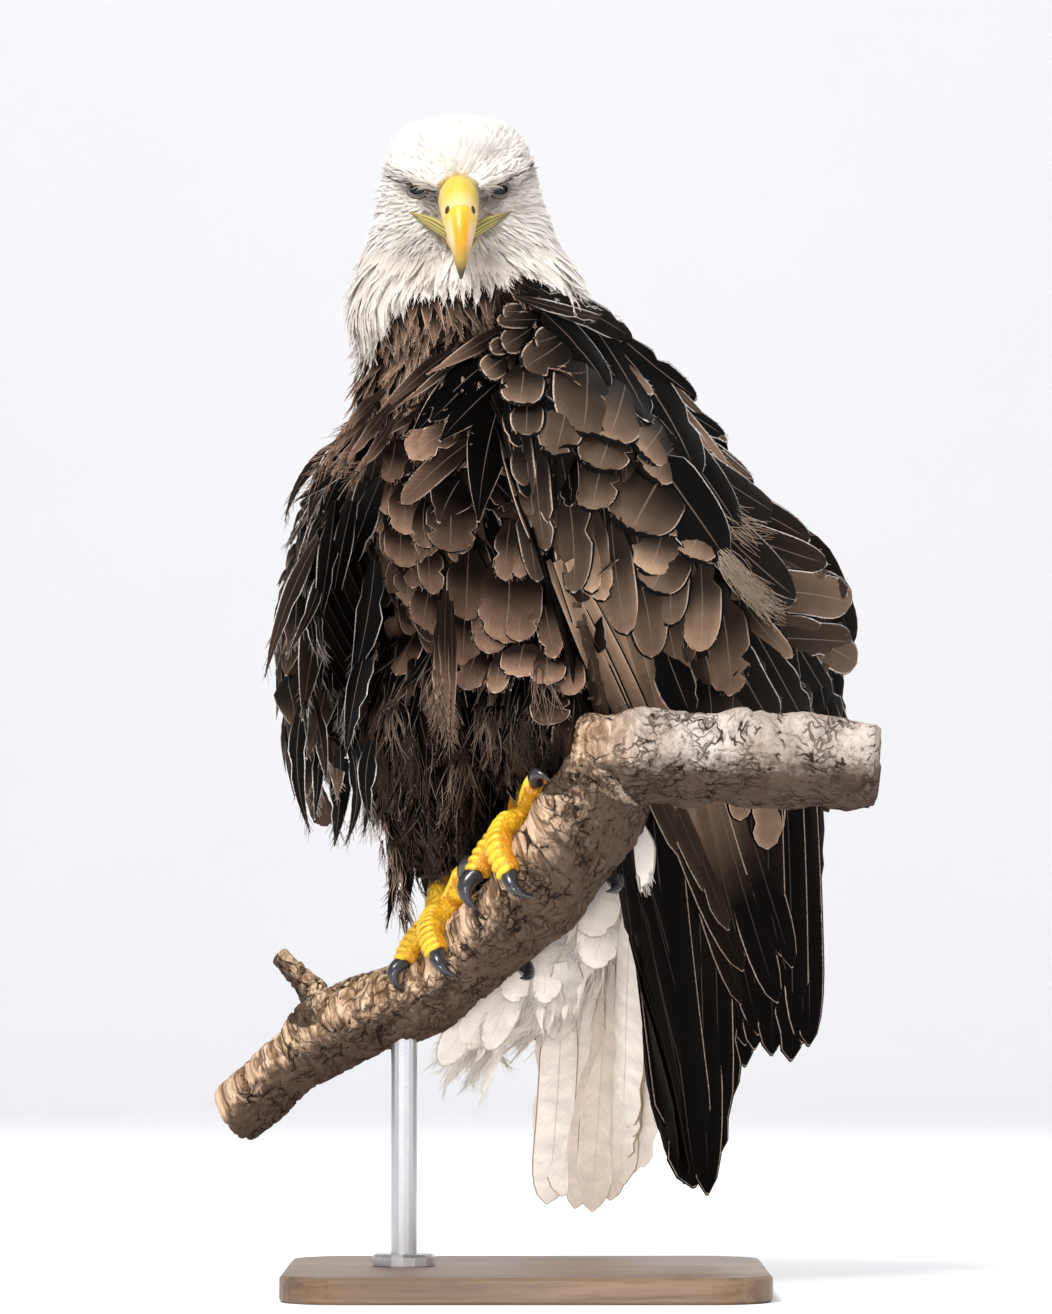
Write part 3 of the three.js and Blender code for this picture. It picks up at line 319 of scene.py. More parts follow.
def curve(points, share):
    """A smooth line through points, or through numbers, at shares of the way along it."""
    p = np.asarray(points, float)
    flat = p.ndim == 1
    p = p[:, None] if flat else p
    n = len(p) - 1
    p = np.vstack([2 * p[0] - p[1], p, 2 * p[-1] - p[-2]])
    s = np.clip(np.asarray(share, float), 0, 1) * n
    i = np.minimum(s.astype(int), n - 1)
    f = (s - i)[..., None]
    a, b, c, d = (p[i + k] for k in range(4))
    made = b + f / 2 * (c - a + f * (2 * a - 5 * b + 4 * c - d + f * (3 * (b - c) + d - a)))
    return made[..., 0] if flat else made


def on_head(left, back, up):
    """Points of the pitched head, in millimetres from between the eyes."""
    left, back, up = np.broadcast_arrays(*(np.asarray(v, float) for v in (left, back, up)))
    c, s = math.cos(HEAD_PITCH), math.sin(HEAD_PITCH)
    return EYES + MM * np.stack([left, back * c - up * s, back * s + up * c], -1)


def in_head(points):
    """Left, back and up of points from between the eyes, in millimetres along the pitched head."""
    c, s = math.cos(HEAD_PITCH), math.sin(HEAD_PITCH)
    q = (np.asarray(points) - EYES) / MM
    return q[..., 0], q[..., 1] * c + q[..., 2] * s, q[..., 2] * c - q[..., 1] * s


def swirl(points, scale, seed):
    """A smooth vector for each point, from about -1 to 1 each way."""
    noise.seed_set(NOISE_SEED)
    place = np.asarray(points) / scale + seed * 7.3
    return np.array([noise.noise_vector(Vector(p)) for p in place.reshape(-1, 3)]).reshape(place.shape)


# ---------------------------------------------------------------- meshes
def new_object(name, mesh, material=None):
    made = bpy.data.objects.new(name, mesh)
    bpy.context.scene.collection.objects.link(made)
    if material is not None:
        mesh.materials.clear()
        mesh.materials.append(material)
    return made


def finish_piece(made, slot, *nodes):
    """Puts a piece on the bird's body and hides the solids it stands for; slot is not used."""
    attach(made, "root")
    if nodes:
        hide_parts(*nodes)
    return made


def mesh_from(name, points, faces, smooth=True):
    """A mesh from an array of points and arrays of faces of one corner count each."""
    mesh = bpy.data.meshes.new(name)
    faces = [np.asarray(f, np.int32) for f in faces if len(f)]
    corners = np.concatenate([f.ravel() for f in faces])
    totals = np.concatenate([np.full(len(f), f.shape[1], np.int32) for f in faces])
    mesh.vertices.add(len(points))
    mesh.vertices.foreach_set("co", np.asarray(points, np.float32).ravel())
    mesh.loops.add(len(corners))
    mesh.loops.foreach_set("vertex_index", corners)
    mesh.polygons.add(len(totals))
    mesh.polygons.foreach_set("loop_start", np.concatenate([[0], np.cumsum(totals)[:-1]]).astype(np.int32))
    mesh.polygons.foreach_set("loop_total", totals)
    mesh.polygons.foreach_set("use_smooth", np.full(len(totals), smooth))
    mesh.update(calc_edges=True)
    return mesh, corners


def give_uv(mesh, name, corner_uv):
    mesh.uv_layers.new(name=name, do_init=False).data.foreach_set("uv",
                                                                  np.asarray(corner_uv, np.float32).ravel())


def give_colour(mesh, name, values):
    layer = mesh.attributes.new(name, "FLOAT_COLOR", "POINT")
    layer.data.foreach_set("color", np.asarray(values, np.float32).ravel())


def loft(rings, closed_ends=True):
    """Points, quads and end fans of a skin over rings (rows, count, 3)."""
    rings = np.asarray(rings, float)
    rows, count = rings.shape[:2]
    points = rings.reshape(-1, 3)
    a = (np.arange(rows - 1)[:, None] * count + np.arange(count)).ravel()
    b = (np.arange(rows - 1)[:, None] * count + (np.arange(count) + 1) % count).ravel()
    quads = np.stack([a, b, b + count, a + count], 1)
    if not closed_ends:
        return points, quads, np.zeros((0, 3), int)
    points = np.vstack([points, rings[0].mean(0), rings[-1].mean(0)])
    i, j = np.arange(count), (np.arange(count) + 1) % count
    last = (rows - 1) * count
    fans = np.vstack([
        np.stack([j, i, np.full(count, rows * count)], 1),
        np.stack([last + i, last + j, np.full(count, rows * count + 1)], 1),
    ])
    return points, quads, fans


def tube_rings(path, radii, count, up=(0, 0, 1), shape=None):
    """Rings round a path (rows, 3): shape(share along, angle) scales the radius, angle 0 being up."""
    path = np.asarray(path, float)
    along = unit(np.gradient(path, axis=0))
    across = unit(np.cross(along, np.asarray(up, float)))
    over = np.cross(across, along)
    angle = np.linspace(0, 2 * math.pi, count, endpoint=False)
    radii = np.broadcast_to(np.asarray(radii, float), len(path))[:, None]
    share = np.linspace(0, 1, len(path))[:, None]
    scale = 1 if shape is None else shape(share, angle[None, :])
    r = (radii * scale)[..., None]
    return path[:, None] + r * (
        np.cos(angle)[None, :, None] * over[:, None] + np.sin(angle)[None, :, None] * across[:, None]
    )


def outward(mesh):
    """Turns every face of a closed mesh outwards."""
    shape = bmesh.new()
    shape.from_mesh(mesh)
    bmesh.ops.recalc_face_normals(shape, faces=shape.faces)
    shape.to_mesh(mesh)
    shape.free()


def merged_copy(nodes):
    """The loose triangles of some solids as one mesh of merged points."""
    shape = bmesh.new()
    for name in nodes:
        shape.from_mesh(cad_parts[name].data)
    bmesh.ops.remove_doubles(shape, verts=shape.verts, dist=1e-5)
    mesh = bpy.data.meshes.new("copy")
    shape.to_mesh(mesh)
    shape.free()
    return mesh


def remeshed(mesh, voxel, smoothing=0, factor=0.6):
    """One closed skin over everything in a mesh."""
    temp = new_object("remeshing", mesh)
    modifier = temp.modifiers.new("skin", "REMESH")
    modifier.mode, modifier.voxel_size = "VOXEL", voxel
    if smoothing:
        relax = temp.modifiers.new("relax", "SMOOTH")
        relax.factor, relax.iterations = factor, smoothing
    bpy.context.view_layer.update()
    evaluated = temp.evaluated_get(bpy.context.evaluated_depsgraph_get())
    made = bpy.data.meshes.new_from_object(evaluated)
    bpy.data.objects.remove(temp)
    made.materials.clear()
    return made


def arrays_of(mesh):
    """A mesh's points and triangles."""
    points = np.empty(len(mesh.vertices) * 3, np.float32)
    mesh.vertices.foreach_get("co", points)
    mesh.calc_loop_triangles()
    triangles = np.empty(len(mesh.loop_triangles) * 3, np.int32)
    mesh.loop_triangles.foreach_get("vertices", triangles)
    return points.reshape(-1, 3).astype(float), triangles.reshape(-1, 3)


class Surface:
    """A surface to lay feathers on, with its nearest points and their smoothed normals."""

    def __init__(self, points, triangles):
        self.points, self.triangles = points, triangles
        self.tree = BVHTree.FromPolygons(points.tolist(), triangles.tolist())
        a, b, c = (points[triangles[:, k]] for k in range(3))
        cross = np.cross(b - a, c - a)
        self.areas = np.linalg.norm(cross, axis=1) / 2
        at_points = np.zeros_like(points)
        for k in range(3):
            np.add.at(at_points, triangles[:, k], cross)
        self.point_normals = unit(at_points)
        self.normals = unit(self.point_normals[triangles].mean(1))

    def near(self, points):
        found = [self.tree.find_nearest(p) for p in np.asarray(points).tolist()]
        index = np.array([f[2] for f in found])
        return np.array([f[0] for f in found]), self.normals[index], index

    def scatter(self, spacing, wanted, seed):
        """Roots about one spacing apart on the triangles that wanted marks."""
        rng = np.random.default_rng(seed)
        areas = self.areas * wanted
        count = int(areas.sum() / spacing**2 * 9)
        index = rng.choice(len(areas), count, p=areas / areas.sum())
        u, v = np.sqrt(rng.random(count)), rng.random(count)
        a, b, c = (self.points[self.triangles[index, k]] for k in range(3))
        at = a * (1 - u)[:, None] + b * (u * (1 - v))[:, None] + c * (u * v)[:, None]
        cell = np.floor(at / spacing + rng.random(3)).astype(np.int64)
        middle = np.abs((at / spacing + 0.5) % 1 - 0.5).sum(1)
        order = np.argsort(middle + rng.random(count) * 0.9)
        _, first = np.unique(cell[order], axis=0, return_index=True)
        kept = order[np.sort(first)]
        tree = {}
        chosen = []
        near = (0.62 * spacing) ** 2
        for k in kept:
            p = at[k]
            key = tuple(np.floor(p / spacing).astype(int))
            close = False
            for dx in (-1, 0, 1):
                for dy in (-1, 0, 1):
                    for dz in (-1, 0, 1):
                        for q in tree.get((key[0] + dx, key[1] + dy, key[2] + dz), ()):
                            if (p[0] - q[0]) ** 2 + (p[1] - q[1]) ** 2 + (p[2] - q[2]) ** 2 < near:
                                close = True
            if not close:
                tree.setdefault(key, []).append(p)
                chosen.append(k)
        chosen = np.array(chosen)
        return at[chosen], self.normals[index[chosen]], index[chosen]


# ---------------------------------------------------------------- feathers
# Shares along a feather where its outline is drawn, from fine to coarse.
LONG = np.array([0, 0.08, 0.18, 0.28, 0.38, 0.48, 0.58, 0.67, 0.75, 0.82, 0.88, 0.93, 0.97, 1])
BROAD = np.array([0, 0.14, 0.3, 0.45, 0.58, 0.7, 0.8, 0.88, 0.95, 1])
SMALL = np.array([0, 0.25, 0.5, 0.72, 0.89, 1])


def outline(kind, share):
    """A feather's width along it, as a part of its greatest width."""
    swell = ease(share, -0.12, 0.4)
    if kind == "round":
        tip = np.sqrt(np.clip(1 - np.clip((share - 0.55) / 0.45, 0, 1) ** 2.4, 0, 1))
    elif kind == "lance":
        tip = np.clip(1 - np.clip((share - 0.2) / 0.8, 0, 1) ** 1.5, 0, 1)
    elif kind == "strand":
        swell, tip = np.ones_like(share), 1 - 0.7 * share
    else:
        tip = np.sqrt(np.clip(1 - np.clip((share - 0.8) / 0.2, 0, 1) ** 2.2, 0, 1))
    return np.maximum((0.25 + 0.75 * swell) * tip, 0.07)


def lay(surface, roots, headings, lengths, stations, rise, curl=0.0, droop=0.0, bend=0.0, stiff=2):
    """Spines that follow a surface from their roots: points and normals (feathers, stations, 3).

    rise is the height over the surface at root and tip, curl bends the tip up further, droop
    lets it sag, bend turns it sideways, and stiff is the degree of the curve a spine can take.
    """
    count = len(roots)
    lengths = np.broadcast_to(np.asarray(lengths, float), count)
    steps = 5
    at, normal, _ = surface.near(roots)
    heading = unit(headings - normal * dot(headings, normal))
    path, normals = [at], [normal]
    for _ in range(steps):
        ahead = at + heading * (lengths / steps)[:, None]
        near, found, _ = surface.near(ahead)
        off = ahead - near
        sideways = off - found * dot(off, found)
        beyond = (np.linalg.norm(sideways, axis=1) > 0.25 * lengths / steps) | (dot(found, normal)[:,
                                                                                                   0] < 0.25)
        near[beyond] = ahead[beyond]
        found[beyond] = normal[beyond]
        heading = unit(near - at)
        at, normal = near, unit(found * 0.7 + normal * 0.3)
        heading = unit(heading - normal * dot(heading, normal))
        path.append(at)
        normals.append(normal)
    path, normals = np.stack(path, 1), np.stack(normals, 1)
    knots = np.linspace(0, 1, steps + 1)
    fit = np.vander(stations, stiff + 1) @ np.linalg.pinv(np.vander(knots, stiff + 1))
    spine = np.einsum("ks,nsd->nkd", fit, path)
    spine += (path[:, :1] - spine[:, :1]) * (1 - stations)[None, :, None]
    up = unit(np.einsum("ks,nsd->nkd", fit, normals))
    rise = [np.broadcast_to(np.asarray(r, float), count) for r in rise]
    height = (rise[0][:, None] + (rise[1] - rise[0])[:, None] * stations**1.3
              + np.broadcast_to(curl, count)[:, None] * stations**3)
    spine = spine + up * height[..., None]
    tangent = unit(np.gradient(spine, axis=1))
    across = np.cross(tangent, up)
    reach = (np.broadcast_to(bend, count) * lengths)[:, None] * stations**2
    spine = spine + unit(across) * reach[..., None]
    spine[..., 2] -= (np.broadcast_to(droop, count) * lengths)[:, None] * stations**2
    return spine, up


class Plumage:
    """Feathers gathered into one mesh, with their Vane and OFBake maps and plume attribute."""

    def __init__(self):
        self.points, self.quads, self.caps, self.vane, self.bake, self.plume = [], [], [], [], [], []
        self.sharp, self.count = [], 0
        self.cap_sizes = []

    def add(self, spine, up, width, kind, stations, *, across=5, camber=0.12, roll=0.0, tears=0.0,
            seed=0, tint=0.5, worn=0.0, home=None, patch=0.003, lean=0.0):
        """Adds a feather round each spine. home is its root's place on the bake map."""
        rng = np.random.default_rng(seed)
        count, rows = spine.shape[:2]
        width = np.broadcast_to(np.asarray(width, float), count)
        tangent = unit(np.gradient(spine, axis=1))
        up = unit(up - tangent * dot(up, tangent))
        side = np.cross(tangent, up)
        roll = np.broadcast_to(np.asarray(roll, float), count)[:, None, None]
        side, up = side * np.cos(roll) + up * np.sin(roll), up * np.cos(roll) - side * np.sin(roll)
        u = np.linspace(-1, 1, across)
        shape = outline(kind, stations)[None, :, None] * np.ones((count, 1, across))
        if tears:
            torn = rng.random((count, rows, 2)) < tears
            torn[:, :2] = torn[:, -1:] = False
            torn[:, 1:] &= ~torn[:, :-1]
            cut = 1 - torn * rng.uniform(0.12, 0.4, (count, rows, 2))
            shape *= np.where(u < 0, cut[..., :1], cut[..., 1:])
        shape *= 1 + lean * u
        half = (width / 2)[:, None, None]
        out = (half * shape * u)[..., None]
        crown = half * shape * (1 - u**2) * camber * 2 + 0.00012
        crown = np.where(np.abs(u) > 0.99, 0, crown)[..., None]
        points = spine[:, :, None] + side[:, :, None] * out + up[:, :, None] * crown
        self._keep(points, u, stations, across, width, spine, tint, worn, home, patch)

    def _keep(self, points, u, stations, across, width, spine, tint, worn, home, patch):
        count, rows = points.shape[:2]
        start = self.count + np.arange(count)[:, None, None] * rows * across
        row = np.arange(rows - 1)[None, :, None] * across
        column = np.arange(across - 1)[None, None]
        a = start + row + column
        top = np.stack([a, a + 1, a + across + 1, a + across], -1).reshape(-1, 4)
        edge = (start + row)[..., 0]
        under = np.stack([edge + across - 1, edge, edge + across, edge + 2 * across - 1], -1).reshape(-1, 4)
        first = start[:, 0] + np.arange(across)[::-1]
        last = start[:, 0] + (rows - 1) * across + np.arange(across)
        self.quads.append(np.vstack([top, under]))
        self.caps.append((across, np.vstack([first, last])))
        grid_u = np.broadcast_to((u + 1) / 2, (count, rows, across))
        grid_v = np.broadcast_to(stations[None, :, None], (count, rows, across))
        vane = np.stack([grid_u, grid_v], -1).reshape(-1, 2)
        if home is None:
            home = np.zeros((count, 2))
        size = np.broadcast_to(np.asarray(patch, float), (count, 2)) if np.ndim(patch) < 2 else patch
        bake = (home[:, None] + (vane.reshape(count, -1, 2) - 0.5) * size[:, None]).reshape(-1, 2)
        length = np.linalg.norm(np.diff(spine, axis=1), axis=2).sum(1)
        tint = np.asarray(tint, float)
        tint = tint if tint.ndim == 2 else np.broadcast_to(tint, count)[:, None]
        each = np.stack([np.broadcast_to(v, (count, rows)) for v in (
            tint, length[:, None], width[:, None], np.broadcast_to(worn, count)[:, None])], -1)
        self.points.append(points.reshape(-1, 3))
        self.vane.append(vane)
        self.bake.append(bake)
        self.plume.append(np.repeat(each.reshape(-1, 4), across, 0))
        where = np.broadcast_to(np.arange(across) % (across - 1) == 0, (count, rows, across)).copy()
        where = where * (1 + (np.arange(across) > 0))
        ends = np.zeros((count, rows, across), bool)
        ends[:, 0] = ends[:, -1] = True
        self.sharp.append(np.stack([where, ends], -1).reshape(-1, 2))
        self.count += count * rows * across

    def build(self, name, material):
        """The mesh object of all the feathers added."""
        points = np.vstack(self.points)
        caps = {}
        for across, faces in self.caps:
            caps.setdefault(across, []).append(faces)
        faces = [np.vstack(self.quads)] + [np.vstack(f) for f in caps.values()]
        mesh, corners = mesh_from(name, points, faces)
        give_uv(mesh, "OFBake", np.vstack(self.bake)[corners])
        give_uv(mesh, "Vane", np.vstack(self.vane)[corners])
        give_colour(mesh, "plume", np.vstack(self.plume))
        edges = np.empty(len(mesh.edges) * 2, np.int32)
        mesh.edges.foreach_get("vertices", edges)
        edges = edges.reshape(-1, 2)
        marks = np.vstack(self.sharp)
        a, b = marks[edges[:, 0]], marks[edges[:, 1]]
        sharp = ((a[:, 0] > 0) & (a[:, 0] == b[:, 0])) | ((a[:, 1] > 0) & (b[:, 1] > 0))
        layer = mesh.attributes.get("sharp_edge") or mesh.attributes.new("sharp_edge", "BOOLEAN", "EDGE")
        layer.data.foreach_set("value", sharp)
        return new_object(name, mesh, material)


def barbs(plumage, spine, up, width, kind, stations, *, each, length, seed, tint, worn, home, thick=0.0006):
    """Loose barbs along the outer third of each feather's edge, as thin strands."""
    rng = np.random.default_rng(seed)
    count = len(spine)
    width = np.broadcast_to(np.asarray(width, float), count)
    tangent = unit(np.gradient(spine, axis=1))
    across = unit(np.cross(tangent, up))
    place = rng.uniform(0.62, 1.0, (count, each)) ** 0.8
    hand = np.where(rng.random((count, each)) < 0.5, -1.0, 1.0)
    inward = rng.uniform(0.0, 1.0, (count, each)) * ease(place, 0.9, 1.0) + (1 - ease(place, 0.9, 1.0)) * 0.96
    index = np.arange(count)[:, None]
    low = np.clip(np.searchsorted(stations, place) - 1, 0, len(stations) - 2)
    part = ((place - stations[low]) / (stations[low + 1] - stations[low]))[..., None]

    def mixed(values):
        return values[index, low] * (1 - part) + values[index, low + 1] * part

    half = outline(kind, place) * (width / 2)[:, None]
    ahead, sideways, over = mixed(tangent), mixed(across), mixed(up)
    start = mixed(spine) + sideways * (hand * half * inward)[..., None]
    splay = (hand * rng.uniform(0.15, 0.6, hand.shape) * inward)[..., None]
    direction = unit(ahead + sideways * splay + over * rng.uniform(-0.15, 0.2, hand.shape)[..., None])
    reach = (length * rng.uniform(0.5, 1.2, hand.shape))[..., None]
    start = (start - direction * reach * 0.35).reshape(-1, 1, 3)
    direction, reach, over = (v.reshape(-1, 1, v.shape[-1]) for v in (direction, reach, over))
    t = np.array([0, 0.55, 1])[None, :, None]
    strands = start + direction * reach * t + over * reach * 0.08 * t**2
    tint = np.asarray(tint, float)
    tint = tint[:, -1] if tint.ndim == 2 else np.broadcast_to(tint, count)
    plumage.add(strands, np.broadcast_to(over, strands.shape), thick, "strand", t[0, :, 0], across=3,
                camber=0.3,
                tint=np.repeat(tint, each), worn=np.repeat(np.broadcast_to(worn, count), each),
                home=np.repeat(home, each, 0))


def elevation():
    """How far along each line of sight the front of the solids lies, smoothed, and its normals."""
    if "elevation" not in BODY:
        points, triangles, start = [], [], 0
        for name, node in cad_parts.items():
            if name.startswith(("head", "neck", "trunk", "thigh", "wing", "tail", "under")):
                p, t = arrays_of(node.data)
                points.append(p)
                triangles.append(t + start)
                start += len(p)
        soft = Surface(np.vstack(points), np.vstack(triangles))
        across, high = np.meshgrid(np.arange(-240, 271, 5) * MM, np.arange(20, 731, 5) * MM, indexing="ij")
        sight = np.stack([across, np.zeros_like(across), high], -1) - VIEW
        hits = [soft.tree.ray_cast(VIEW.tolist(), ray.tolist())[3] for ray in sight.reshape(-1, 3)]
        far = np.array([np.nan if h is None else h for h in hits]).reshape(across.shape)
        far = far / np.linalg.norm(sight, axis=-1)
        for _ in range(60):
            around_it = np.pad(far, 1, constant_values=np.nan)
            around_it = np.stack([around_it[1 + i:around_it.shape[0] - 1 + i,
                                            1 + j:around_it.shape[1] - 1 + j]
                                  for i, j in ((1, 0), (-1, 0), (0, 1), (0, -1))])
            known = np.isfinite(around_it)
            mean = np.where(known, around_it, 0).sum(0) / np.maximum(known.sum(0), 1)
            far = np.where(np.isnan(far) & known.any(0), mean, far)
        far = np.where(np.isnan(far), 0.98, far)
        for _ in range(5):
            for axis in (0, 1):
                wide = np.pad(far, [(1, 1) if axis == k else (0, 0) for k in (0, 1)], mode="edge")
                far = (np.roll(wide, 1, axis) + 2 * wide + np.roll(wide, -1, axis)) / 4
                far = far[1:-1] if axis == 0 else far[:, 1:-1]
        place = VIEW + sight * far[..., None]
        normal = unit(np.cross(np.gradient(place, axis=0), np.gradient(place, axis=1)))
        normal *= -np.sign(dot(normal, sight))
        BODY["elevation"] = far, normal
    return BODY["elevation"]


def on_elevation(rows, stations, root_lift, tip_lift, *, facing=0.4, bow=0.0, stiff=2, forward=0.0):
    """Spines of feathers drawn on the front elevation, laid on the solids that stand behind it."""
    far, normals = elevation()
    rows = np.asarray(rows, float)
    count = len(rows)
    root, tip = rows[:, None, 0:2] * MM, rows[:, None, 2:4] * MM
    bow = np.broadcast_to(bow, count)[:, None, None]
    share = stations[None, :, None]
    side = np.stack([-(tip - root)[..., 1], (tip - root)[..., 0]], -1)
    flat = root + (tip - root) * share + side * bow * 4 * share * (1 - share)
    cell = (flat / MM - (-240, 20)) / 5
    low = np.clip(np.floor(cell).astype(int), 0, np.array(far.shape) - 2)
    a, b = np.clip(cell - low, 0, 1)[..., 0], np.clip(cell - low, 0, 1)[..., 1]
    i, j = low[..., 0], low[..., 1]

    def read(grid):
        wa, wb = (a[..., None], b[..., None]) if grid.ndim == 3 else (a, b)
        return (grid[i, j] * (1 - wa) * (1 - wb) + grid[i + 1, j] * wa * (1 - wb)
                + grid[i, j + 1] * (1 - wa) * wb + grid[i + 1, j + 1] * wa * wb)

    fit = np.vander(stations, stiff + 1) @ np.linalg.pinv(np.vander(stations, stiff + 1))
    depth = read(far) @ fit.T - forward / 4
    sight = np.stack([flat[..., 0], np.zeros(flat.shape[:2]), flat[..., 1]], -1) - VIEW
    spine = VIEW + sight * depth[..., None]
    up = unit(read(normals).mean(1, keepdims=True) * np.ones_like(spine))
    up = unit(up * (1 - facing) - unit(sight) * facing)
    lifts = [np.broadcast_to(np.asarray(v, float), count)[:, None] for v in (root_lift, tip_lift)]
    height = blend(lifts[0], lifts[1], stations[None] ** 1.2)
    return spine + up * height[..., None], up


def on_skin(rows, stations, root_lift, tip_lift):
    """Spines of feathers drawn on the front elevation, laid on the skin itself."""
    skin = body_skin()
    rows = np.asarray(rows, float)
    flat = rows[:, None, 0:2] + (rows[:, None, 2:4] - rows[:, None, 0:2]) * stations[None, :, None]
    sight = unit(np.stack([flat[..., 0], flat[..., 0] * 0, flat[..., 1]], -1) * MM - VIEW)
    hits = [skin.tree.ray_cast(VIEW.tolist(), ray.tolist()) for ray in sight.reshape(-1, 3)]
    far = np.array([np.nan if h[0] is None else h[3] for h in hits]).reshape(flat.shape[:2])
    up = np.array([(0, -1, 0) if h[1] is None else tuple(h[1]) for h in hits]).reshape(sight.shape)
    far = np.where(np.isnan(far), np.nanmax(far, 1, keepdims=True), far)
    keep = np.isfinite(far).all(1)
    far, up, sight = far[keep], up[keep], sight[keep]
    fit = np.vander(stations, 3) @ np.linalg.pinv(np.vander(stations, 3))
    lean = np.clip(-dot(up, sight).mean(1, keepdims=True), 0.1, 1) ** 1.5
    up = unit(up.mean(1, keepdims=True) - sight)
    height = blend(root_lift, tip_lift, stations)[None, :, None] * lean
    return VIEW + sight * (far @ fit.T)[..., None] + up * height, up, keep


def drawn(plumage, rows, kind, seed, *, stations=LONG, across=7, root_lift=-0.004, tip_lift=0.002,
          step=0.0001,
          worn=0.8, camber=0.10, roll=0.0, tears=0.05, loose=0, barb_length=0.004, facing=0.4, bow=0.03,
          stiff=2, cells=False, forward=0.0, shadow_skirt=0.0, fray=0.6):
    """Adds the feathers of a table of the front elevation."""
    rng = np.random.default_rng(seed)
    rows = np.asarray(rows, float)
    count = len(rows)
    order = np.arange(count) * step
    spine, up = on_elevation(rows, stations, root_lift + order * 0.4, tip_lift + order, facing=facing,
                             bow=rng.normal(0, bow, count), stiff=stiff, forward=forward)
    tint = rows[:, 5:6]
    if rows.shape[1] > 6:
        tint = blend(rows[:, 5:6], rows[:, 6:7], ease(stations, 0.25, 0.75)[None])
    if cells:
        columns = int(math.ceil(math.sqrt(count)))
        home = np.stack([np.arange(count) % columns + 0.5, np.arange(count) // columns + 0.5], 1) / columns
        patch = np.full((count, 2), 0.86 / columns)
    else:
        home, patch = around(spine[:, 0], SHOULDERS, 0.2, 0.7), 0.003
    width = rows[:, 4] * MM * rng.uniform(0.96, 1.04, count)
    worn = np.clip(worn + rng.normal(0, 0.1, count), 0, 1)
    roll = roll + rng.normal(0, 0.05, count)
    if shadow_skirt:  # painted shadow: a black copy without a fringe, a little under and beyond the vane, which shows as a dark line past its edge
        tangent = unit(np.gradient(spine, axis=1))
        below = spine - up * 0.0009 + tangent * shadow_skirt * stations[None, :, None] ** 4
        plumage.add(below, up, width + 2 * shadow_skirt, kind, stations, across=5, camber=camber, roll=roll,
                    tears=tears,
                    seed=seed + 1, tint=0.0, worn=-1 / 3, home=home, patch=patch)
    plumage.add(spine, up, width, kind, stations, across=across, camber=camber, roll=roll,
                tears=tears, seed=seed + 1, tint=tint, worn=worn, home=home, patch=patch)
    if loose:
        barbs(plumage, spine, up, width, kind, stations, each=loose, length=barb_length, seed=seed + 2,
              tint=tint, worn=np.maximum(worn - fray, -1 / 3), home=home)


def wisps(plumage, centres, count, seed, *, spread, reach, tone, thick=0.0007, lift=(0.0, 0.006), facing=0.5,
          droop=0.0, forward=0.0, worn=0.5):
    """Fans of loose strands on the front elevation: each centre is across, up, and a heading in degrees."""
    rng = np.random.default_rng(seed)
    rows = []
    for across, high, heading in centres:
        angle = np.radians(heading + rng.uniform(-spread, spread, count))
        length = rng.uniform(reach[0], reach[1], count)
        x, z = across + rng.normal(0, 2.5, count), high + rng.normal(0, 2.5, count)
        rows.append(np.stack([x, z, x + length * np.sin(angle), z - length * np.cos(angle)], 1))
    rows = np.vstack(rows)
    stations = np.linspace(0, 1, 6)
    total = len(rows)
    spine, up = on_elevation(rows, stations, rng.uniform(lift[0], lift[1], total),
                             rng.uniform(lift[0], lift[1], total)
                             + 0.004, facing=facing, bow=rng.normal(0, 0.08, total), forward=forward)
    spine[..., 2] -= droop * stations**2
    plumage.add(spine, up, thick, "strand", stations, across=3, camber=0.3, seed=seed,
                tint=np.clip(tone + rng.normal(0, 0.1, total), 0, 1), worn=worn,
                home=around(spine[:, 0], SHOULDERS, 0.2, 0.7))


